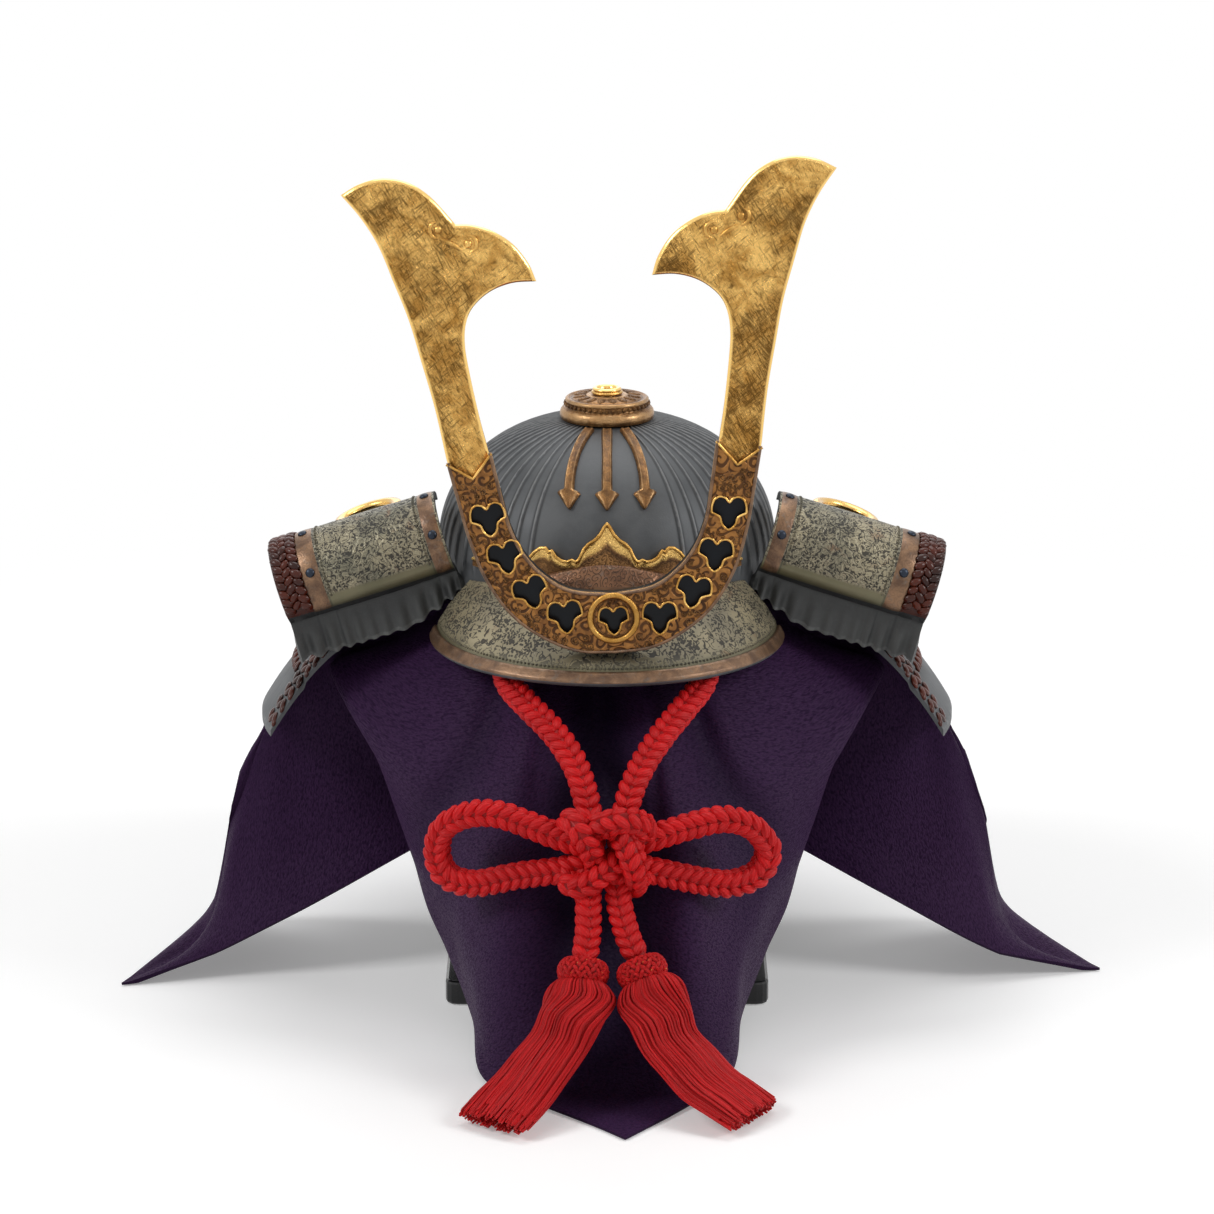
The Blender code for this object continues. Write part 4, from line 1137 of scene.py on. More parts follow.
class Palette:
    """Every finish of the object, made once."""

    def __init__(self) -> None:
        """Make the materials."""
        effects = Effects()
        self.lacquer = Lacquer().make(effects)
        self.bisque = Bisque().make(effects)
        self.pleats = Bisque(name="dark_grey_pleats", colour=(0.05, 0.052, 0.051),
                             deep=(0.028, 0.029, 0.029), pale=(0.12, 0.122, 0.118)).make(effects)
        self.engraved = EngravedField().make(effects)
        self.punched = EngravedField(name="punched_visor_glaze", pale=(0.38, 0.325, 0.205),
                                     olive=(0.24, 0.21, 0.14), rust=(0.24, 0.14, 0.075), vine=0.0,
                                     curl=0.0, dot_scale=660.0, length=0.6).make(effects)
        self.copper = CopperLustre().make(effects)
        self.root_copper = CopperLustre(name="root_copper_scrolls", pale=(0.26, 0.125, 0.062),
                                        deep=(0.12, 0.055, 0.028), cut=0.9).make(effects)
        self.bronze = BronzeRelief().make(effects)
        self.fine_bronze = BronzeRelief(name="bronze_fine_relief", high=(0.33, 0.165, 0.055),
                                        mid=(0.14, 0.066, 0.024), scroll_scale=420.0,
                                        depth=0.55).make(effects)
        self.gold = GoldLeaf().make(effects)
        self.bright_gold = GoldLeaf(name="polished_gilding", rubbed=0.3).make(effects)
        self.crepe = CrepeCloth().make(effects)
        self.braid = SilkBraid().make(effects)
        self.core = SilkBraid(name="red_braid_core", colour=(0.42, 0.003, 0.005),
                              deep=(0.25, 0.002, 0.003)).make(effects)
        self.thread = SilkBraid(name="red_tassel_thread", colour=(0.8, 0.008, 0.012),
                                deep=(0.46, 0.003, 0.005), filaments=4.0, relief=0.00006).make(effects)
        self.lacing = PlainLustre(name="oxblood_lacing", colour=(0.115, 0.018, 0.006),
                                  deep=(0.014, 0.004, 0.003), roughness=0.26, coat=0.08,
                                  specular=0.25).make(effects)
        self.rivet = PlainLustre(name="blue_black_rivet", colour=(0.03, 0.042, 0.065),
                                 deep=(0.008, 0.012, 0.022), roughness=0.3, metallic=0.6).make(effects)
        self.recess = PlainLustre(name="blue_black_recess", colour=(0.006, 0.009, 0.015),
                                  deep=(0.001, 0.002, 0.004), roughness=0.35, specular=0.2).make(effects)
        self.floor = PaleStudio().make(effects)


@dataclass
class Spot:
    """Where one stamp goes: its place, its long axis, its side and its size."""

    place: Vector
    axis: Vector
    side: Vector
    size: float = 1.0
    tone: float = 0.5


class Workshop:
    """The geometry groups that make what repeats."""

    def __init__(self, palette: Palette, nodes: dict[str, Object]) -> None:
        """Make the groups.

        Args:
            palette: Every finish.
            nodes: The CAD nodes by name.
        """
        self.palette = palette
        self.nodes = nodes
        self.stamp_recipe = self._stamps()
        self.thread_recipe = self._threads()
        self.rib_recipe = self._ribs()

    @staticmethod
    def _stamps() -> Recipe:
        """Rounded shapes set on points, turned by the points' own axes."""
        made = Recipe("set_stamps", "GeometryNodeTree",
                      [("Places", "Geometry", None), ("Width", "Float", 0.001), ("Height", "Float", 0.001),
                       ("Length", "Float", 0.001), ("Segments", "Int", 8), ("Rings", "Int", 5),
                       ("Finish", "Material", None)], [("Shapes", "Geometry")])
        graph, source = made.graph, made.source
        ball = graph.node("GeometryNodeMeshUVSphere",
                          {"Segments": source["Segments"], "Rings": source["Rings"],
                           "Radius": 1.0}).outputs
        marked = graph.store(ball["Mesh"], "surface", ball["UV Map"], "CORNER", "FLOAT2")
        size = graph.xyz(source["Width"], source["Height"], source["Length"])
        sized = graph.node("GeometryNodeTransform", {"Geometry": marked, "Scale": size})
        turn = graph.node(
            "FunctionNodeAxesToRotation",
            {"Primary Axis": graph.stored("axis", "FLOAT_VECTOR"),
             "Secondary Axis": graph.stored("side", "FLOAT_VECTOR")}, primary_axis="Z",
            secondary_axis="X")
        set_out = graph.node(
            "GeometryNodeInstanceOnPoints", {"Points": source["Places"], "Instance": sized.outputs[0],
                                             "Rotation": turn.outputs[0], "Scale": graph.stored("size")})
        made.close("Shapes", set_out.outputs[0])
        return made

    @staticmethod
    def _threads() -> Recipe:
        """Round threads or wires along curves, each with its own tone."""
        made = Recipe("run_threads", "GeometryNodeTree",
                      [("Curves", "Geometry", None), ("Radius", "Float", 0.0005), ("Sides", "Int", 6),
                       ("Twist", "Float", 0.0), ("Seed", "Int", 7), ("Finish", "Material", None)],
                      [("Threads", "Geometry")])
        graph, source = made.graph, made.source
        index = graph.node("GeometryNodeInputIndex")
        tone = graph.node("FunctionNodeRandomValue", {"ID": index.outputs[0], "Seed": source["Seed"]},
                          data_type="FLOAT")
        toned = graph.store(source["Curves"], "tone", tone.outputs[1], "CURVE")
        share = graph.node("GeometryNodeSplineParameter").outputs
        along = graph.store(toned, "along", share["Length"], "POINT")
        ring = graph.node(
            "GeometryNodeCurvePrimitiveCircle",
            {"Resolution": source["Sides"], "Radius": source["Radius"]})
        marked = graph.store(ring.outputs["Curve"], "around", share["Factor"], "POINT")
        radius = graph.node("GeometryNodeInputRadius")
        tube = graph.node("GeometryNodeCurveToMesh", {"Curve": along, "Profile Curve": marked,
                                                      "Scale": radius.outputs[0], "Fill Caps": True})
        length = graph.stored("along")
        wound = graph.plus(graph.stored("around"), graph.times(length, source["Twist"]))
        place = graph.xyz(wound, length)
        made.close("Threads", graph.store(tube.outputs[0], "surface", place, "CORNER", "FLOAT2"))
        return made

    @staticmethod
    def _ribs() -> Recipe:
        """Skin of the bowl: a super-ellipsoid with thin ribs outside a plain sector."""
        made = Recipe("ribbed_bowl", "GeometryNodeTree",
                      [("Nothing", "Geometry", None), ("Columns", "Int", 720), ("Rows", "Int", 44),
                       ("Radius X", "Float", 0.07), ("Radius Y", "Float", 0.074),
                       ("Rise", "Float", 0.059), ("Base", "Float", 0.176), ("Drop", "Float", 0.005),
                       ("Power", "Float", 2.3), ("Ribs", "Float", 60.0), ("Rib Height", "Float", 0.0009),
                       ("Plain Sector", "Float", 24.0), ("Finish", "Material", None)],
                      [("Bowl", "Geometry")])
        graph, source = made.graph, made.source
        sheet = graph.node("GeometryNodeMeshGrid",
                           {"Size X": 1.0, "Size Y": 1.0, "Vertices X": graph.plus(source["Columns"], 1),
                            "Vertices Y": graph.plus(source["Rows"], 1)})
        parts = graph.node("ShaderNodeSeparateXYZ", {0: graph.node("GeometryNodeInputPosition").outputs[0]})
        round_share = graph.plus(parts.outputs[0], 0.5)
        up_share = graph.plus(parts.outputs[1], 0.5)
        band = graph.calc("MINIMUM", graph.calc("DIVIDE", up_share, 0.05), 1.0)
        rise_share = graph.most(graph.calc("DIVIDE", graph.minus(up_share, 0.05), 0.95), 0.0)
        tilt = graph.times(rise_share, math.pi / 2)
        power = graph.calc("DIVIDE", 2.0, source["Power"])
        reach = graph.calc("POWER", graph.most(graph.calc("COSINE", tilt), 0.0), power)
        lift = graph.calc("POWER", graph.most(graph.calc("SINE", tilt), 0.0), power)
        phase = graph.calc("FRACT", graph.times(round_share, source["Ribs"]))
        away = graph.calc("ABSOLUTE", graph.minus(phase, 0.5))
        tent = graph.most(graph.minus(1.0, graph.calc("DIVIDE", away, 0.15)), 0.0)
        degrees = graph.times(graph.calc("MINIMUM", round_share, graph.minus(1.0, round_share)), 360.0)
        outside = graph.node("ShaderNodeMapRange",
                             {"Value": graph.minus(degrees, source["Plain Sector"]), "From Min": 0.0,
                              "From Max": 1.5}).outputs["Result"]
        ends = graph.times(
            graph.step(rise_share, 0.01, 0.07),
            graph.minus(1.0, graph.times(graph.step(rise_share, 0.82, 1.0), 0.9)))
        ridge = graph.times(graph.times(tent, outside), ends)
        grow = graph.times(ridge, source["Rib Height"])
        azimuth = graph.times(round_share, 2 * math.pi)
        x = graph.times(
            graph.times(graph.plus(source["Radius X"], grow), reach), graph.calc("SINE", azimuth))
        y = graph.times(graph.times(graph.plus(source["Radius Y"], grow), reach),
                        graph.times(graph.calc("COSINE", azimuth), -1.0))
        height = graph.times(graph.plus(source["Rise"], grow), lift)
        low = graph.minus(source["Base"], graph.times(source["Drop"], graph.minus(1.0, band)))
        z = graph.plus(low, height)
        beside = graph.calc("ABSOLUTE", graph.minus(away, 0.19))
        valley = graph.most(graph.minus(1.0, graph.calc("DIVIDE", beside, 0.08)), 0.0)
        hollow = graph.times(graph.times(valley, outside), ends)
        last = sheet.outputs["Mesh"]
        for label, value in (("wear", ridge), ("hollow", hollow)):
            last = graph.store(last, label, value, "POINT")
        flat = graph.xyz(graph.times(round_share, 0.45), graph.times(up_share, 0.12))
        last = graph.store(last, "surface", flat, "CORNER", "FLOAT2")
        moved = graph.node("GeometryNodeSetPosition", {"Geometry": last, "Position": graph.xyz(x, y, z)})
        sewn = graph.node(
            "GeometryNodeMergeByDistance", {"Geometry": moved.outputs[0], "Distance": 0.000002})
        made.close("Bowl", sewn.outputs[0])
        return made

    def dress_node(self, name: str, finish: Material) -> None:
        """Put a finish on a CAD node that keeps its own shape."""
        obj = self.nodes[name]
        if not obj.material_slots:
            obj.data.materials.append(finish)
        for slot_item in obj.material_slots:
            slot_item.material = finish
        LOG.info("%s: finish only", name)

    def stamps(self, name: str, spots: Sequence[Spot], shape: Stamp, size: Triple,
               finish: Material) -> Object:
        """Set a rounded shape on every spot.

        Args:
            name: Name of the piece.
            spots: Where they go.
            shape: Which shape.
            size: Half width, half height and half length, in metres.
            finish: Its material.

        Returns:
            One plain mesh of all of them.
        """
        mesh = bpy.data.meshes.new(name + "_places")
        mesh.from_pydata([tuple(spot.place) for spot in spots], [], [])
        for label in ("axis", "side"):
            layer = mesh.attributes.new(label, "FLOAT_VECTOR", "POINT")
            layer.data.foreach_set("vector", [value for spot in spots for value in getattr(spot, label)])
        for label in ("size", "tone"):
            layer = mesh.attributes.new(label, "FLOAT", "POINT")
            layer.data.foreach_set("value", [getattr(spot, label) for spot in spots])
        obj = new_object(name + "_places", mesh)
        values = {"Width": size[0], "Height": size[1], "Length": size[2], "Segments": shape.value[0],
                  "Rings": shape.value[1], "Finish": finish}
        return self.stamp_recipe.run(obj, name, values)

    def threads(self, name: str, lines: Sequence[Row], radius: float, finish: Material, sides: int = 6,
                closed: bool = False, taper: Callable[[float], float] | None = None, twist: float = 0.0,
                seed: int = 7) -> Object:
        """Run a round thread or wire along each line.

        Args:
            name: Name of the piece.
            lines: The lines.
            radius: Radius of the thread, in metres.
            finish: Its material.
            sides: Faces round it.
            closed: Whether each line joins its own start.
            taper: Share of the radius at a share of the length.
            twist: Turns of the surface coordinates for each metre.
            seed: Seed of the tones.

        Returns:
            One plain mesh of all of them.
        """
        data = bpy.data.curves.new(name + "_lines", "CURVE")
        data.dimensions = "3D"
        for line in lines:
            spline = data.splines.new("POLY")
            spline.points.add(len(line) - 1)
            spline.use_cyclic_u = closed
            for number, (point, place) in enumerate(zip(spline.points, line)):
                point.co = (*place, 1.0)
                point.radius = taper(number / max(len(line) - 1, 1)) if taper else 1.0
        obj = new_object(name + "_lines", data)
        return self.thread_recipe.run(
            obj, name, {"Radius": radius, "Sides": sides, "Twist": twist, "Seed": seed, "Finish": finish})


def lathe(draft: Draft, profile: Sequence[Pair], steps: int, masks: Masks | None = None,
          loop: bool = False) -> None:
    """Turn a profile of radius and height about the vertical axis.

    Args:
        draft: Where it is added.
        profile: Radius and height of each ring, in metres.
        steps: Columns round it.
        masks: Masks from row and column.
        loop: Whether the profile closes on itself, as on a ring.
    """
    rows = [
        [Vector((radius * math.sin(2 * math.pi * k / steps), -radius * math.cos(2 * math.pi * k / steps),
                 height)) for k in range(steps)] for radius, height in profile]
    run = [0.0]
    for (a, b), (c, d) in zip(profile, profile[1:]):
        run.append(run[-1] + math.hypot(c - a, d - b))
    numbers = draft.grid(rows, True, lambda i, j: (0.1 * j / steps, run[i]), masks)
    if loop:
        draft.strip(numbers[-1], numbers[0], True)
    else:
        draft.cap(numbers[0])
        draft.cap(numbers[-1])


def turn_about(points: Iterable[Vector], matrix: Matrix) -> Row:
    """The points under a matrix."""
    return [matrix @ point for point in points]


@dataclass(frozen=True)
class BowlShape:
    """The bowl's form, which the pieces that lie on it share."""

    radius_x: float = 70 * MM
    radius_y: float = 74 * MM
    rise: float = 59 * MM
    base: float = 176 * MM
    power: float = 2.3
    drop: float = 5 * MM
    rib_height: float = 0.9 * MM
    ribs: int = 60
    plain_sector: float = 24.0

    def point(self, azimuth: float, tilt: float, grow: float = 0.0) -> Vector:
        """Point of the bowl: azimuth from the front, tilt from rim to crown."""
        share = 2 / self.power
        reach = max(math.cos(tilt), 0.0) ** share
        lift = max(math.sin(tilt), 0.0) ** share
        return Vector(
            ((self.radius_x + grow) * reach * math.sin(azimuth),
             -(self.radius_y + grow) * reach * math.cos(azimuth), self.base + (self.rise + grow) * lift))

    def tilt_at(self, height: float) -> float:
        """Tilt at which the bowl reaches a height."""
        share = min(max((height - self.base) / self.rise, 0.0), 1.0)
        return math.asin(share ** (self.power / 2))

    def seat(self, radius: float) -> float:
        """Height of the crown at a small radius."""
        return self.base + self.rise * (1 - (radius / self.radius_y) ** self.power) ** (1 / self.power)


@dataclass
class Bowl:
    """Ribbed bowl of the helmet."""

    shape: BowlShape = field(default_factory=BowlShape)
    wall: float = 4.4 * MM
    columns: int = 720
    rows: int = 46

    def build(self, shop: Workshop) -> None:
        """Make the ribbed skin and give it its wall."""
        carrier = new_object("bowl_carrier", bpy.data.meshes.new("bowl_carrier"))
        shape = self.shape
        made = shop.rib_recipe.run(
            carrier, "helmet_bowl",
            {"Columns": self.columns, "Rows": self.rows, "Radius X": shape.radius_x,
             "Radius Y": shape.radius_y, "Rise": shape.rise, "Base": shape.base, "Drop": shape.drop,
             "Power": shape.power, "Ribs": float(shape.ribs), "Rib Height": shape.rib_height,
             "Plain Sector": shape.plain_sector, "Finish": shop.palette.bisque})
        face_out(made)
        wall = made.modifiers.new("wall", "SOLIDIFY")
        wall.thickness = self.wall
        wall.offset = -1.0
        settle(made, "grey_bisque", "bowl")


def face_out(obj: Object) -> None:
    """Turn the faces of a mesh outwards from its middle."""
    work = bmesh.new()
    work.from_mesh(obj.data)
    bmesh.ops.recalc_face_normals(work, faces=work.faces)
    middle = sum((v.co for v in work.verts), Vector()) / len(work.verts)
    if sum((f.calc_center_median() - middle).dot(f.normal) * f.calc_area() for f in work.faces) < 0:
        bmesh.ops.reverse_faces(work, faces=work.faces)
    work.to_mesh(obj.data)
    work.free()


@dataclass
class CrownFitting:
    """Flanged fitting on the crown, with beads, petals and a gilt boss."""

    shape: BowlShape = field(default_factory=BowlShape)
    radius: float = 19.4 * MM
    top: float = 244.5 * MM
    boss_radius: float = 6.6 * MM
    petals: int = 16
    beads: int = 44
    seat_gap: float = 0.6 * MM
    seats: tuple[float, ...] = (2, 8, 14, 18.2)
    profile: tuple[Pair, ...] = (
        (19.1, 234.8), (19.5, 235.8), (19.6, 236.9), (19.3, 238.2), (18.6, 239.2), (17.6, 239.7),
        (17.3, 240.1), (17.2, 241.9), (17.4, 242.3), (17.3, 243.0), (16.7, 243.5), (16.0, 243.5),
        (15.5, 243.1), (14.8, 243.1), (14.2, 243.6), (12, 244.0), (9, 244.2), (8.2, 244.6), (7.2, 244.6),
        (3, 244.5))

    def build(self, shop: Workshop) -> None:
        """Turn the fitting and set its ornament."""
        seat = self.shape.seat
        profile = [(r * MM, seat(r * MM) + self.seat_gap) for r in self.seats]
        profile += [(r * MM, h * MM) for r, h in self.profile]
        edge = {5: 0.5, 6: 0.7, 7: 0.8, 8: 0.6, 12: 0.8, 13: 0.8, 14: 0.6, 21: 0.9, 22: 0.8}
        draft = Draft()
        lathe(draft, profile, 96,
              {"wear": lambda i, j: edge.get(i, 0.1),
               "hollow": lambda i, j: 0.7 if i in (10, 17) else 0.0,
               "plain": lambda i, j: 0.55})
        settle(draft.build("crown_fitting_fine", [shop.palette.fine_bronze], 50), "bronze_lustre",
               "crown_fitting")
        spots = [self.spot(2 * math.pi * k / self.beads, 17.4 * MM, 241.0 * MM) for k in range(self.beads)]
        settle(shop.stamps("crown_beads", spots, Stamp.BEAD, (1.0 * MM, 0.9 * MM, 0.7 * MM),
                           shop.palette.fine_bronze), "bronze_lustre")
        spots = [self.spot(2 * math.pi * (k + 0.5) / self.petals, 11.4 * MM, 244.0 * MM, 0.12)
                 for k in range(self.petals)]
        settle(shop.stamps("crown_petals", spots, Stamp.STITCH, (1.75 * MM, 0.65 * MM, 2.9 * MM),
                           shop.palette.fine_bronze), "bronze_lustre")
        self.boss(shop)

    @staticmethod
    def spot(turn: float, radius: float, height: float, dip: float = 0.0) -> Spot:
        """Spot on a ring, with its axis outwards and down by a dip."""
        outward = facing(turn)
        axis = (outward - Vector((0, 0, dip))).normalized()
        return Spot(outward * radius + Vector((0, 0, height)), axis, spoke(turn))

    def boss(self, shop: Workshop) -> None:
        """Gilt ring with its hole."""
        base = self.top + 0.3 * MM
        profile = [(5.9, 0.0), (6.5, 0.4), (6.6, 0.9), (6.2, 1.3), (5.7, 1.5), (6.0, 1.8), (5.9, 2.3),
                   (5.3, 2.7), (4.6, 2.8), (4.0, 2.5), (3.6, 1.9), (3.4, 1.2), (3.3, 0.2)]
        draft = Draft()
        lathe(draft, [(r * MM, base + h * MM) for r, h in profile], 64,
              {"polish": lambda i, j: 1.0 if 5 < i < 11 else 0.3}, True)
        settle(draft.build("crown_boss_fine", [shop.palette.bright_gold], 60), "burnished_gold",
               "crown_boss")


@dataclass
class Arrows:
    """Three raised arrows that run down the plain sector."""

    shape: BowlShape = field(default_factory=BowlShape)
    sections: tuple[Pair, ...] = (
        (233.4, 2.3), (231.6, 2.25), (228, 2.1), (222.5, 2.15), (217.4, 2.2), (216.7, 2.5), (216.2, 4.6),
        (215.6, 4.9), (214.4, 3.7), (212.8, 2.5), (211.2, 1.3), (210.3, 0.35))
    spread: float = 6.0
    turns: tuple[tuple[str, float], ...] = (("left", -14.5), ("middle", 0.0), ("right", 14.5))

    def build(self, shop: Workshop) -> None:
        """Make the three arrows."""
        fine: list[Pair] = []
        for (a, b), (c, d) in zip(self.sections, self.sections[1:]):
            steps = 6 if a - c > 2 else 3
            fine += [(a + (c - a) * k / steps, b + (d - b) * k / steps) for k in range(steps)]
        fine.append(self.sections[-1])
        for word, turn in self.turns:
            spread = self.spread * (turn > 0) - self.spread * (turn < 0)
            outer, inner = [], []
            for height, half in fine:
                share = (self.sections[0][0] - height) / (self.sections[0][0] - self.sections[-1][0])
                azimuth = math.radians(turn + spread * (1 - share))
                tilt = self.shape.tilt_at(height * MM)
                across = spoke(azimuth)
                low = self.shape.point(azimuth, tilt, 0.4 * MM)
                out = (self.shape.point(azimuth, tilt, 1.4 * MM) - low).normalized()
                top, bottom = [], []
                for step in range(-6, 7):
                    t = step / 6
                    lift = 1.25 * (1 - abs(t) ** 6) + 0.35 * bump(0.68, 0.3, abs(t)) - 0.1 * bump(
                        0.0, 0.5, t)
                    top.append(low + across * half * t * MM + out * lift * MM)
                    bottom.append(low + across * half * t * 0.98 * MM)
                outer.append(top)
                inner.append(bottom)
            draft = Draft()
            shell(draft, outer, inner, False, lambda i, j: (0.001 * j, 0.001 * i),
                  {"wear": lambda i, j: 0.75 * bump(4, 2.2, abs(j - 6)), "plain": lambda i, j: 0.35,
                   "hollow": lambda i, j: 0.35 * bump(0, 3, abs(j - 6))})
            settle(draft.build("arrow_fine_" + word, [shop.palette.fine_bronze], 60), "bronze_lustre",
                   "arrow_" + word)


@dataclass
class BrowBand:
    """Gilt brow band with its ogee peak, and the copper band at the visor's root."""

    shape: BowlShape = field(default_factory=BowlShape)
    low: float = 183.2 * MM
    seat: float = 1.1 * MM
    half_angle: float = 50.0
    root_half: float = 37.0
    arch_half: float = 28.0
    columns: int = 300
    root_columns: int = 120
    outline: tuple[Pair, ...] = (
        (0, 205.6), (1.0, 204.3), (2.3, 201.8), (4.2, 199.6), (6.2, 198.2), (7.6, 196.4), (8.4, 194.2),
        (9.2, 192.2), (10.2, 191.3), (11.6, 192.0), (13.0, 191.2), (15.0, 191.5), (17.0, 192.8),
        (18.4, 195.0), (19.6, 194.3), (20.6, 195.8), (22.6, 195.6), (24.6, 193.8), (26.5, 191.0),
        (32, 189), (50, 187))

    def top(self, degrees: float) -> float:
        """Height of the upper outline at an angle from the front."""
        return table(self.outline, abs(degrees)) * MM

    def build(self, shop: Workshop) -> None:
        """Make the band with its raised gilt edge."""
        outer, inner = [], []
        for k in range(self.columns + 1):
            degrees = -self.half_angle + 2 * self.half_angle * k / self.columns
            azimuth = math.radians(degrees)
            top = self.top(degrees)
            above, below = [], []
            for step in range(15):
                share = step / 14
                height = self.low + (top - self.low) * share
                from_top = (top - height) / MM
                lift = 0.9 + 0.9 * bump(0.9, 1.1, from_top) + 0.3 * bump(0.0, 0.12, share)
                if step in (0, 14):
                    lift = 0.6
                tilt = self.shape.tilt_at(height)
                above.append(self.shape.point(azimuth, tilt, self.seat + lift * MM))
                below.append(self.shape.point(azimuth, tilt, self.seat - 0.6 * MM))
            outer.append(above)
            inner.append(below)
        draft = Draft()
        shell(draft, outer, inner, False, lambda i, j: (0.0004 * i, 0.0014 * j),
              {"gilt": lambda i, j: 1.0 if j > 10 else (0.75 if j > 9 else 0.0),
               "hollow": lambda i, j: 0.6 if j == 8 else 0.0, "wear": lambda i, j: 0.6 if j < 2 else 0.15})
        settle(draft.build("brow_band_fine", [shop.palette.fine_bronze], 60), "burnished_gold", "brow_band")
        crest = []
        for k in range(361):
            degrees = self.half_angle * 0.8 * (k / 180 - 1)
            top = self.top(degrees) - 0.5 * MM
            crest.append(
                self.shape.point(math.radians(degrees), self.shape.tilt_at(top), self.seat + 1.5 * MM))
        settle(shop.threads("brow_edge_wire", [crest], 0.75 * MM, shop.palette.bright_gold, 8),
               "burnished_gold")
        self.root(shop)

    def root(self, shop: Workshop) -> None:
        """Arched copper band that covers the joint of visor and bowl."""
        outer, inner = [], []
        for k in range(self.root_columns + 1):
            degrees = -self.root_half + 2 * self.root_half * k / self.root_columns
            azimuth = math.radians(degrees)
            ends = abs(degrees) >= self.root_half - 0.1
            open_share = 0.0 if ends else math.cos(math.radians(degrees / self.root_half * 90)) ** 0.6
            arch = max(0.0, 1 - (degrees / self.arch_half) ** 2)
            upper = self.shape.point(
                azimuth, self.shape.tilt_at((182.4 + 7.6 * arch * open_share) * MM), 3.2 * MM)
            lower = self.shape.point(azimuth, 0.0, (4.2 + 3.4 * open_share) * MM)
            lower.z = (180.8 - 0.6 * open_share - 2.2 * (degrees / self.root_half) ** 2) * MM
            above, below = [], []
            for step in range(9):
                share = step / 8
                point = upper.lerp(lower, share)
                swell = math.sin(math.pi * share) * 1.1 + 0.35 * (
                    bump(0.12, 0.1, share) + bump(0.88, 0.1, share))
                out = Vector((math.sin(azimuth), -math.cos(azimuth), 0.55)).normalized()
                above.append(point + out * swell * MM)
                below.append(point - out * 0.9 * MM)
            outer.append(above)
            inner.append(below)
        draft = Draft()
        shell(draft, outer, inner, False, lambda i, j: (0.0008 * i, 0.0011 * j),
              {"wear": lambda i, j: 0.55 if j in (1, 7) else 0.1})
        settle(draft.build("visor_root_band", [shop.palette.root_copper], 60), "bronze_lustre")


